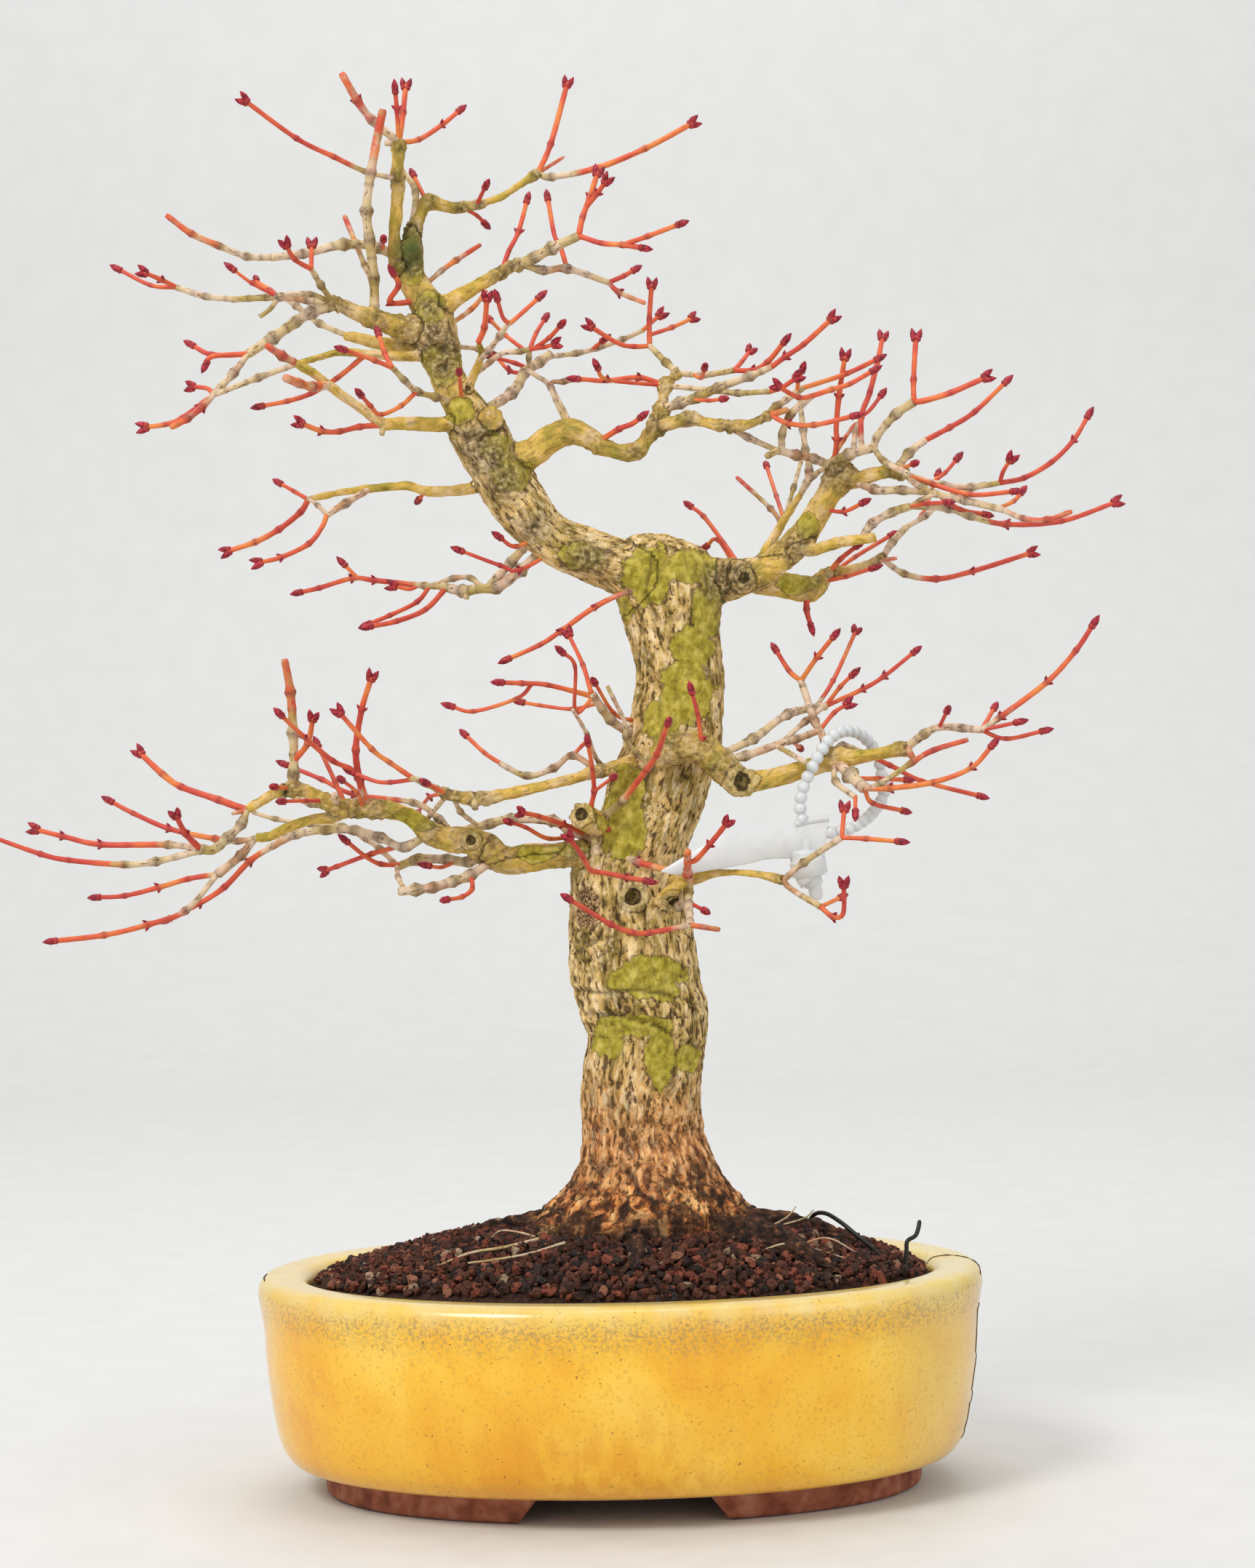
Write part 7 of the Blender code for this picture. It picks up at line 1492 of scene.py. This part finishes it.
def ball_template(subdivisions):
    """Points and faces of a round ball of size 1."""
    bm = bmesh.new()
    bmesh.ops.create_icosphere(bm, subdivisions=subdivisions, radius=1.0)
    points = np.array([v.co for v in bm.verts])
    faces = [[v.index for v in face.verts] for face in bm.faces]
    bm.free()
    return points, faces


def one_grain(rng, ball, size):
    """A chipped lump of lava: a ball with flats, stretched and turned by chance."""
    points = ball.copy()
    for _ in range(9):
        flat = rng.normal(size=3)
        flat /= np.linalg.norm(flat)
        over = np.maximum(points @ flat - rng.uniform(0.42, 0.78), 0)
        points -= over[:, None] * flat
    points *= 1 + rng.uniform(-0.1, 0.1, (len(points), 1))
    points *= rng.uniform(0.72, 1.2, 3)
    turn, _ = np.linalg.qr(rng.normal(size=(3, 3)))
    if np.linalg.det(turn) < 0:
        turn[:, 0] *= -1
    return points @ turn * size


def on_root(x, y):
    """Whether a place on the soil is taken by a surface root."""
    for _, points in ROOTS:
        for (x0, y0, thick0), (x1, y1, thick1) in zip(points, points[1:]):
            dx, dy = x1 - x0, y1 - y0
            share = min(max(((x - x0) * dx + (y - y0) * dy) / (dx * dx + dy * dy), 0), 1)
            thick = thick0 + (thick1 - thick0) * share
            if math.hypot(x - x0 - share * dx, y - y0 - share * dy) < thick * BARE_ROOT:
                return True
    return False


def make_grains(name, spacing, sizes, lift, subdivisions, seed, material):
    """Lava grit over the mound, on a jittered grid, kept off the tree's base."""
    rng = np.random.default_rng(seed)
    ball, faces = ball_template(subdivisions)
    inner = inner_wall()
    half_x, half_y = inner[0][0] - 1.2, inner[0][1] - 1.2
    grains = Builder()
    row = 0
    for y0 in np.arange(-half_y, half_y, spacing * 0.866):
        row += 1
        for x0 in np.arange(-half_x, half_x, spacing):
            x = x0 + (row % 2) * spacing / 2 + rng.uniform(-0.3, 0.3) * spacing
            y = y0 + rng.uniform(-0.3, 0.3) * spacing
            size = rng.uniform(*sizes)
            inside = (abs(x) / (half_x - size)) ** 2 + (abs(y) / (half_y - size)) ** 2 < 1
            angle = math.atan2(y / BASE_HALF_WIDTH, (x - BASE_X) / BASE_HALF_LENGTH)
            edge = base_outline(angle, -3)
            free = math.hypot(x - BASE_X, y) > math.hypot(edge[0] - BASE_X, edge[1])
            if not inside or not free or on_root(x, y):
                continue
            z = soil_height(x, y) + lift + rng.uniform(-0.6, 0.7)
            tint = rng.choice(len(GRIT_TINTS), p=GRIT_SHARES)
            colour = np.array(GRIT_TINTS[tint]) * rng.uniform(0.7, 1.3)
            grains.add(one_grain(rng, ball, size) + (x, y, z), faces, tint=colour)
    return grains.make(name, material, False)


def make_wire(material):
    line = spline(WIRE, 0.8)
    wire = Builder()
    radii = np.full(len(line), WIRE_THICK / 2)
    radii[-1] = WIRE_THICK * 0.3
    wire.add(tube_points(line, radii, 12), tube_faces(len(line), 12))
    return wire.make("dark_anchor_wire", material)


def make_label(material):
    """The blank tag: bowed plate with a thick lip, stepped lock and beaded strap, moulded as one."""
    label = Builder()
    rows = [(*t, *b, d) for t, b, d in zip(PLATE_TOP, PLATE_BOTTOM, PLATE_DEPTH)]
    fine = spline(rows, 1.0)
    half, soft = PLATE_THICK / 2, 0.3
    rings = []
    for u0, v0, u1, v1, depth in fine:
        ring = []
        for v, d in (
            (v0 - soft, depth - half), (v1 + soft, depth - half), (v1, depth - half + soft),
            (v1, depth + half - soft),
            (v1 + soft, depth + half), (v0 - soft, depth + half), (v0, depth + half - soft),
            (v0, depth - half + soft),
        ):
            share = (v - v1) / (v0 - v1 + 1e-9)
            ring.append(seen(u1 + (u0 - u1) * share, v, d))
        rings.append(ring)
    label.add(np.array(rings).reshape(-1, 3), tube_faces(len(rings), 8))
    lip = spline([(59.5, 226.2, PLATE_DEPTH[-2]), (65, 227.4, -25.6), (71, 228.2, PLATE_DEPTH[-1])], 0.8)
    lip_line = np.array([seen(*p) for p in lip])
    label.add(tube_points(lip_line, np.full(len(lip), 1.25), 14), tube_faces(len(lip), 14))
    lock = [(*seen(u, v, PLATE_DEPTH[-1] + LOCK_SET_BACK), radius) for u, v, radius in LOCK]
    steps = []
    for before, after in zip(lock, lock[1:]):
        before, after = np.array(before), np.array(after)
        for share, mix in ((0.0, 0.0), (0.12, 0.08), (0.8, 0.12), (0.92, 0.9)):
            place = before + (after - before) * share
            place[3] = before[3] + (after[3] - before[3]) * mix
            steps.append(place)
    steps = np.array(steps + [np.array(lock[-1])])
    label.add(tube_points(steps[:, :3], steps[:, 3], 36), tube_faces(len(steps), 36))
    line = spline([seen(*p) for p in STRAP], 0.25)
    along = lengths_along(line)
    label.add(
        tube_points(line[::3], np.full(len(line[::3]), BEAD_NECK / 2), 10),
        tube_faces(len(line[::3]), 10),
    )
    ball, faces = ball_template(3)
    for spot in np.arange(BEAD_PITCH / 2, along[-1], BEAD_PITCH):
        at = line[int(np.argmin(np.abs(along - spot)))]
        label.add(ball * BEAD_THICK / 2 + at, faces)
    return label.make("tag_and_strap", material)


class Look:
    """A material made of nodes. Its lengths are in mm, and each method returns a node's output."""

    def __init__(self, name, roughness=0.6):
        self.material = bpy.data.materials.new(name)
        self.material.use_nodes = True
        self.nodes, self.links = self.material.node_tree.nodes, self.material.node_tree.links
        self.shader = self.nodes["Principled BSDF"]
        self.shader.inputs["Roughness"].default_value = roughness
        coordinates = self.nodes.new("ShaderNodeTexCoord")
        self.place = self.vector_maths("SCALE", coordinates.outputs["Object"], scale=1 / MM)

    def plug(self, value, socket):
        if hasattr(value, "is_output"):
            self.links.new(value, socket)
        elif isinstance(value, tuple) and len(value) == 3 and socket.type == "RGBA":
            socket.default_value = (*value, 1)
        else:
            socket.default_value = value

    def vector_maths(self, operation, first, second=None, scale=None):
        node = self.nodes.new("ShaderNodeVectorMath")
        node.operation = operation
        self.plug(first, node.inputs[0])
        if second is not None:
            self.plug(second, node.inputs[1])
        if scale is not None:
            node.inputs["Scale"].default_value = scale
        return node.outputs[0]

    def maths(self, operation, first, second=0.0):
        node = self.nodes.new("ShaderNodeMath")
        node.operation = operation
        self.plug(first, node.inputs[0])
        self.plug(second, node.inputs[1])
        return node.outputs[0]

    def mark(self, name, kind="Fac"):
        node = self.nodes.new("ShaderNodeAttribute")
        node.attribute_name = name
        return node.outputs[kind]

    def axis(self, where, axis):
        node = self.nodes.new("ShaderNodeSeparateXYZ")
        self.plug(where, node.inputs[0])
        return node.outputs[axis]

    def noise(self, size, detail=3.0, where=None, stretch=None, wander=0.0):
        """Soft noise with lumps of this size in mm."""
        where = self.place if where is None else where
        if stretch:
            where = self.vector_maths("MULTIPLY", where, stretch)
        node = self.nodes.new("ShaderNodeTexNoise")
        self.plug(where, node.inputs["Vector"])
        node.inputs["Scale"].default_value = 1 / size
        node.inputs["Detail"].default_value = detail
        node.inputs["Distortion"].default_value = wander
        return node.outputs["Fac"]

    def between(self, value, low, high, to_low=0.0, to_high=1.0):
        node = self.nodes.new("ShaderNodeMapRange")
        node.interpolation_type = "SMOOTHSTEP"
        limits = {"From Min": low, "From Max": high, "To Min": to_low, "To Max": to_high}
        for name, number in limits.items():
            node.inputs[name].default_value = number
        self.plug(value, node.inputs["Value"])
        return node.outputs[0]

    def ramp(self, value, *stops):
        node = self.nodes.new("ShaderNodeValToRGB")
        while len(node.color_ramp.elements) < len(stops):
            node.color_ramp.elements.new(1.0)
        for element, (position, colour) in zip(node.color_ramp.elements, stops):
            element.position = position
            element.color = (*colour, 1)
        self.plug(value, node.inputs[0])
        return node.outputs[0]

    def mix(self, share, first, second):
        node = self.nodes.new("ShaderNodeMix")
        node.data_type = "RGBA"
        self.plug(share, node.inputs[0])
        self.plug(first, node.inputs[6])
        self.plug(second, node.inputs[7])
        return node.outputs[2]

    def bump(self, height, distance, strength=1.0, after=None):
        node = self.nodes.new("ShaderNodeBump")
        node.inputs["Strength"].default_value = strength
        node.inputs["Distance"].default_value = distance * MM
        self.plug(height, node.inputs["Height"])
        if after is not None:
            self.plug(after, node.inputs["Normal"])
        return node.outputs[0]

    def finish(self, colour, roughness=None, normal=None, **sockets):
        self.plug(colour, self.shader.inputs["Base Color"])
        if roughness is not None:
            self.plug(roughness, self.shader.inputs["Roughness"])
        if normal is not None:
            self.plug(normal, self.shader.inputs["Normal"])
        for name, value in sockets.items():
            self.plug(value, self.shader.inputs[name.replace("_", " ")])
        return self.material


def bark_look():
    look = Look("bark", 0.8)
    grain = look.mark("grain", "Vector")
    stout = look.between(look.mark("stout"), 0.1, 0.65)
    blotch = look.noise(8, 4)
    fine = look.noise(1.5, 5, grain, (1, 1, 0.42), wander=0.5)
    crumbs = look.noise(1.4, 3)
    height = look.maths("ADD", look.axis(look.place, 2), look.maths("MULTIPLY", look.noise(13, 4), 26.0))
    tan = look.ramp(
        look.noise(4.5, 5, grain, (1, 1, 0.5)), (0.36, (0.29, 0.20, 0.048)), (0.48, (0.62, 0.41, 0.13)),
        (0.58, (0.88, 0.61, 0.26)), (0.68, (0.96, 0.75, 0.42)),
    )
    brown = look.ramp(
        look.noise(2.6, 4, grain, (1, 1, 0.45)), (0.38, (0.17, 0.050, 0.016)), (0.5, (0.58, 0.22, 0.068)),
        (0.62, (0.94, 0.49, 0.20)),
    )
    limb = look.ramp(
        blotch, (0.34, (0.42, 0.33, 0.050)), (0.5, (0.74, 0.48, 0.10)), (0.64, (0.84, 0.60, 0.28)),
    )
    colour = look.mix(stout, limb, tan)
    colour = look.mix(look.maths("MULTIPLY", look.between(height, 166, 128), 0.92), colour, brown)
    fire = look.ramp(
        look.noise(5, 5, grain, (1, 1, 0.6), wander=0.8), (0.40, (0.035, 0.013, 0.008)),
        (0.47, (0.27, 0.080, 0.028)),
        (0.54, (0.82, 0.29, 0.070)), (0.62, (1.0, 0.57, 0.22)),
    )
    colour = look.mix(look.between(height, 128, 110), colour, fire)
    ragged = look.maths("MULTIPLY", look.maths("SUBTRACT", look.noise(1.6, 4), 0.5), 0.5)
    green_gap = look.maths("ADD", look.mark("green_gap"), ragged)
    green = look.between(green_gap, 1.03, 0.97)
    less_on_green = look.maths("SUBTRACT", 1.0, look.maths("MULTIPLY", green, 0.72))
    pit_share = look.maths("MULTIPLY", less_on_green, look.between(stout, 0.0, 1.0, 0.35, 0.88))
    pale = look.maths("MULTIPLY", look.between(fine, 0.54, 0.64), look.between(height, 110, 160, 0.15, 0.6))
    colour = look.mix(look.maths("MULTIPLY", pale, stout), colour, (0.96, 0.78, 0.48))
    moss = look.ramp(
        look.noise(3, 4), (0.36, (0.27, 0.22, 0.016)), (0.52, (0.46, 0.38, 0.040)),
        (0.68, (0.66, 0.53, 0.11)),
    )
    colour = look.mix(look.maths("MULTIPLY", green, 0.93), colour, moss)
    # Dark where the fine bump sinks: the bark's own darker pits, with painted shade in them.
    colour = look.mix(
        look.maths("MULTIPLY", look.between(fine, 0.45, 0.385), pit_share), colour,
        (0.075, 0.040, 0.018),
    )
    rim = look.maths("MULTIPLY", look.between(green_gap, 0.95, 1.0), look.between(green_gap, 1.10, 1.04))
    colour = look.mix(look.maths("MULTIPLY", rim, 0.6), colour, (0.085, 0.050, 0.020))
    gnarl = look.ramp(
        crumbs, (0.36, (0.06, 0.04, 0.02)), (0.5, (0.27, 0.19, 0.09)), (0.64, (0.58, 0.46, 0.28)),
    )
    colour = look.mix(look.maths("MULTIPLY", look.mark("knot"), 0.8), colour, gnarl)
    swirl = look.ramp(
        look.noise(1.7, 4, wander=2.5), (0.38, (0.035, 0.018, 0.008)), (0.48, (0.22, 0.12, 0.045)),
        (0.6, (0.62, 0.40, 0.20)),
    )
    colour = look.mix(look.between(look.mark("eye_gap"), 1.1, 0.85), colour, swirl)
    scar_gap = look.maths("ADD", look.mark("scar_gap"), look.maths("MULTIPLY", ragged, 0.5))
    callus = look.mix(look.between(crumbs, 0.4, 0.6), (0.34, 0.25, 0.09), (0.72, 0.56, 0.27))
    colour = look.mix(look.between(scar_gap, 1.25, 0.95, 0.0, 0.7), colour, callus)
    core = look.ramp(crumbs, (0.4, (0.05, 0.040, 0.012)), (0.6, (0.22, 0.15, 0.05)))
    colour = look.mix(look.between(scar_gap, 0.62, 0.50), colour, core)
    crack = look.maths("MULTIPLY", look.between(scar_gap, 0.46, 0.54), look.between(scar_gap, 0.70, 0.60))
    colour = look.mix(look.maths("MULTIPLY", crack, 0.9), colour, (0.035, 0.020, 0.009))
    groove = look.maths("MULTIPLY", look.between(scar_gap, 1.12, 1.24), look.between(scar_gap, 1.42, 1.3))
    colour = look.mix(
        look.maths("MULTIPLY", groove, look.between(crumbs, 0.4, 0.6, 0.2, 0.8)), colour,
        (0.05, 0.030, 0.014),
    )
    stain = look.maths(
        "MULTIPLY", look.between(height, 130, 120),
        look.between(look.noise(7, 5, wander=1.0), 0.52, 0.60),
    )
    colour = look.mix(look.maths("MULTIPLY", stain, 0.8), colour, (0.040, 0.020, 0.012))
    # The bark's own darker cracks, creases and folds, with painted shade in their hollows.
    colour = look.mix(look.maths("MULTIPLY", look.mark("dark"), 0.92), colour, (0.04, 0.020, 0.010))
    earth = look.ramp(
        look.noise(2.4, 4), (0.4, (0.02, 0.012, 0.009)), (0.6, (0.075, 0.034, 0.02)),
        (0.72, (0.28, 0.12, 0.05)),
    )
    colour = look.mix(look.mark("outer"), colour, earth)
    colour = look.mix(look.mark("moss"), colour, (0.075, 0.10, 0.022))
    fibres = look.bump(look.noise(0.6, 3, grain, (1, 1, 0.4)), 0.3, 0.7)
    rough = look.bump(fine, 1.1, 1.0, look.bump(crumbs, 0.6, 0.5, fibres))
    return look.finish(colour, look.between(blotch, 0.3, 0.7, 0.65, 0.88), rough, Specular_IOR_Level=0.15)


def twig_look():
    look = Look("twig_bark", 0.6)
    grain = look.mark("grain", "Vector")
    red, node, bud = look.mark("red"), look.mark("node"), look.mark("bud")
    streak = look.noise(0.9, 3, grain, (1, 1, 0.35))
    patch = look.noise(13, 3)
    old = look.ramp(
        patch, (0.34, (0.46, 0.33, 0.10)), (0.46, (0.66, 0.50, 0.27)), (0.56, (0.74, 0.56, 0.40)),
        (0.68, (0.56, 0.30, 0.15)),
    )
    young = look.ramp(
        look.noise(14, 2), (0.36, (0.58, 0.066, 0.045)), (0.52, (0.73, 0.125, 0.048)),
        (0.66, (0.80, 0.24, 0.060)),
    )
    colour = look.mix(look.between(look.maths("ADD", red, look.noise(5, 2)), 0.75, 1.15), old, young)
    knot = look.mix(red, (0.11, 0.068, 0.038), (0.33, 0.030, 0.035))
    colour = look.mix(
        look.maths("MULTIPLY", node, look.between(look.noise(0.8, 2), 0.3, 0.55, 0.95, 0.6)), colour,
        knot,
    )
    depth = look.maths("SUBTRACT", 0.8, look.maths("MULTIPLY", red, 0.45))
    specks = look.maths("MULTIPLY", look.between(streak, 0.40, 0.33), depth)
    colour = look.mix(specks, colour, (0.13, 0.055, 0.035))
    scales = look.ramp(
        look.noise(1.1, 2), (0.34, (0.13, 0.012, 0.016)), (0.5, (0.31, 0.014, 0.030)),
        (0.66, (0.50, 0.040, 0.055)),
    )
    colour = look.mix(bud, colour, scales)
    rough = look.bump(streak, 0.25, 0.9)
    return look.finish(colour, look.between(red, 0.2, 0.9, 0.75, 0.45), rough, Specular_IOR_Level=0.3)


def glaze_look():
    look = Look("yellow_glaze", 0.1)
    height, side = look.axis(look.place, 2), look.axis(look.place, 0)
    uneven = look.maths("ADD", height, look.maths("MULTIPLY", look.noise(9, 4), 8.0))
    pool = look.noise(34, 4, stretch=(1, 1, 0.7), wander=0.4)
    streaks = look.noise(5, 3, stretch=(1, 1, 0.3))
    shade = look.maths("ADD", pool, look.maths("MULTIPLY", look.maths("SUBTRACT", streaks, 0.5), 0.18))
    colour = look.ramp(
        shade, (0.32, (0.84, 0.37, 0.008)), (0.46, (0.92, 0.48, 0.018)), (0.58, (0.95, 0.55, 0.038)),
        (0.7, (0.96, 0.61, 0.08)),
    )
    low_middle = look.maths(
        "MULTIPLY", look.between(height, 60, 16), look.between(look.maths("ABSOLUTE", side), 95, 10),
    )
    amber = look.maths("MULTIPLY", low_middle, look.between(streaks, 0.35, 0.65, 0.2, 0.9))
    colour = look.mix(amber, colour, (0.80, 0.34, 0.006))
    # Painted sheen: the glaze paler and greener at the pot's far ends, where the glossy wall turns away from
    # the eye.
    ends = look.maths("MULTIPLY", look.between(look.maths("ABSOLUTE", side), 96, 122), 0.4)
    colour = look.mix(ends, colour, (0.66, 0.54, 0.19))
    dust = look.between(look.noise(1.3, 5), 0.54, 0.66)
    colour = look.mix(look.maths("MULTIPLY", dust, 0.4), colour, (0.60, 0.29, 0.02))
    pale = look.between(uneven, 67, 80)
    cream = look.ramp(look.noise(12, 2), (0.4, (0.76, 0.62, 0.20)), (0.6, (0.74, 0.68, 0.34)))
    colour = look.mix(look.maths("MULTIPLY", pale, 0.65), colour, cream)
    band = look.maths("MULTIPLY", look.between(uneven, 60, 69), look.between(uneven, 76.5, 72))
    dirt = look.maths("MULTIPLY", band, look.between(look.noise(1.1, 5), 0.42, 0.66))
    colour = look.mix(look.maths("MULTIPLY", dirt, 0.58), colour, (0.29, 0.21, 0.10))
    specks = look.between(look.noise(1.0, 1), 0.265, 0.235)
    colour = look.mix(look.maths("MULTIPLY", specks, 0.8), colour, (0.10, 0.04, 0.012))
    edge = look.maths("ADD", height, look.maths("MULTIPLY", look.noise(5, 3), 1.6))
    line = look.maths("MULTIPLY", look.between(edge, 9.4, 10.1), look.between(edge, 11.8, 10.8))
    colour = look.mix(look.maths("MULTIPLY", line, 0.55), colour, (0.80, 0.68, 0.36))
    clay = look.ramp(
        look.noise(6, 5), (0.35, (0.20, 0.055, 0.028)), (0.5, (0.33, 0.10, 0.052)),
        (0.68, (0.43, 0.18, 0.11)),
    )
    glazed = look.between(edge, 9.2, 9.8)
    colour = look.mix(glazed, clay, colour)
    waves = look.bump(look.noise(11, 2), 0.4, 0.25)
    pits = look.bump(look.noise(0.8, 3), 0.1, 0.3, waves)
    roughness = look.maths("SUBTRACT", 0.88, look.maths("MULTIPLY", glazed, 0.66))
    gloss = look.maths("MULTIPLY", glazed, 0.35)
    return look.finish(
        colour, roughness, pits, Coat_Weight=gloss, Coat_Roughness=0.08, Specular_IOR_Level=0.42,
    )


def grit_look(name):
    look = Look(name, 0.9)
    pores = look.noise(0.6, 4)
    tint = look.mark("tint", "Color") if name == "lava_grit" else (0.030, 0.017, 0.012)
    colour = look.mix(look.between(look.noise(1.6, 3), 0.35, 0.7, 0.0, 0.35), tint, (0.15, 0.065, 0.042))
    colour = look.mix(look.between(pores, 0.44, 0.34), colour, (0.010, 0.007, 0.006))
    return look.finish(colour, None, look.bump(pores, 0.5, 1.0), Specular_IOR_Level=0.1)


def plain_look(name, colour, roughness, size, depth, spread=0.12, **sockets):
    """Moulded plastic or drawn metal: nearly even, with a faint cloud and a fine tooth."""
    look = Look(name, roughness)
    less = tuple(c * (1 - spread) for c in colour)
    shade = look.ramp(look.noise(size * 12, 3), (0.35, less), (0.65, colour))
    worn = look.between(look.noise(size * 6, 3), 0.3, 0.7, roughness * 0.85, roughness * 1.15)
    return look.finish(shade, worn, look.bump(look.noise(size, 3), depth, 0.4), **sockets)


def make_floor():
    """A pale table that sweeps up behind into a plain wall."""
    rows = [(-3.0, 0.0), (1.4, 0.0)]
    rows += [(1.4 + math.sin(a) * 0.8, 0.8 - math.cos(a) * 0.8) for a in np.linspace(0.1, math.pi / 2, 14)]
    rows += [(2.2, 4.0)]
    points = [(x, y, z - 0.0003) for y, z in rows for x in (-4.0, 4.0)]
    faces = [(2 * i, 2 * i + 1, 2 * i + 3, 2 * i + 2) for i in range(len(rows) - 1)]
    mesh = bpy.data.meshes.new("floor")
    mesh.from_pydata([tuple(map(float, p)) for p in points], [], faces)
    mesh.polygons.foreach_set("use_smooth", [True] * len(faces))
    mesh.materials.append(plain_look("floor_paper", FLOOR_COLOUR, 0.75, 2.0, 0.02, 0.03))
    floor = bpy.data.objects.new("floor", mesh)
    bpy.context.scene.collection.objects.link(floor)


def add_light(name, place, size, power, colour=(1, 1, 1), aim=(0, 0, 0.22)):
    light = bpy.data.lights.new(name, "AREA")
    light.shape = "DISK"
    light.size = size
    light.energy = power
    light.color = colour
    lamp = bpy.data.objects.new(name, light)
    lamp.location = place
    lamp.rotation_euler = (Vector(aim) - Vector(place)).to_track_quat("-Z", "Y").to_euler()
    bpy.context.scene.collection.objects.link(lamp)


def add_camera():
    camera = bpy.data.cameras.new("front")
    camera.sensor_width = 36.0
    high = PHOTO_HIGH / POINTS_PER_MM
    camera.lens = camera.sensor_width * EYE_DISTANCE / high
    middle_u = (PHOTO_WIDE / 2 - PHOTO_ZERO[0]) / POINTS_PER_MM - SIGHT_MIDDLE
    middle_v = (PHOTO_ZERO[1] - PHOTO_HIGH / 2) / POINTS_PER_MM - EYE_HEIGHT
    camera.shift_x = middle_u / high
    camera.shift_y = middle_v / high
    holder = bpy.data.objects.new("front", camera)
    holder.location = (STAND_SHIFT + Vector((EYE_SIDE, -EYE_DISTANCE, EYE_HEIGHT))) * MM
    holder.rotation_euler = (math.pi / 2, VIEW_TILT, 0)
    bpy.context.scene.collection.objects.link(holder)
    bpy.context.scene.camera = holder


def main():
    own = all_paths()

    def place(piece, slot, *nodes):
        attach(piece, "root")
        if nodes:
            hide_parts(*nodes)

    place(make_wood(own, bark_look()), "bark", "tree")
    place(make_twigs(own, twig_look()), "bark", "tree")
    pot = make_pot(glaze_look())
    bpy.context.view_layer.update()
    crack = make_hairline(pot, plain_look("crack_dirt", (0.03, 0.015, 0.008), 0.9, 0.5, 0.05))
    place(pot, "yellow_glaze", "pot")
    place(crack, "yellow_glaze", "pot")
    place(make_soil(grit_look("damp_soil")), "lava_grit", "soil")
    grit = grit_look("lava_grit")
    place(make_grains("lava_grains", 3.3, (1.55, 2.7), 0.3, 2, 5, grit), "lava_grit", "soil")
    place(make_grains("small_grains", 3.6, (0.6, 1.1), 1.6, 1, 9, grit), "lava_grit", "soil")
    place(
        make_wire(plain_look("dark_wire", (0.03, 0.028, 0.026), 0.42, 0.4, 0.03, Metallic=0.7)),
        "dark_wire", "anchor_wire",
    )
    white = plain_look("white_plastic", (0.74, 0.74, 0.73), 0.34, 0.3, 0.01, 0.06, Subsurface_Weight=0.1)
    place(make_label(white), "white_plastic", "label")
    dark = plain_look("screen_plastic", (0.02, 0.02, 0.02), 0.55, 0.4, 0.03)
    for name in ("drain_screen_left", "drain_screen_right"):
        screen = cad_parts[name]
        for slot in screen.material_slots:
            slot.material = dark
    make_floor()
    add_camera()
    world = bpy.data.worlds.new("studio")
    world.use_nodes = True
    world.node_tree.nodes["Background"].inputs["Color"].default_value = (*WORLD_COLOUR, 1)
    world.node_tree.nodes["Background"].inputs["Strength"].default_value = WORLD_STRENGTH
    bpy.context.scene.world = world
    bpy.context.scene.view_settings.view_transform = "Standard"
    add_light("key", (-0.9, -1.2, 1.5), 0.7, 20, (1, 0.98, 0.95))
    add_light("fill", (1.3, -1.0, 0.9), 1.2, 5)
    add_light("top", (0.1, 0.1, 1.9), 1.2, 6)
    add_light("wall", (0.0, 0.9, 2.2), 1.6, 15, aim=(0, 2.2, 0.9))


main()
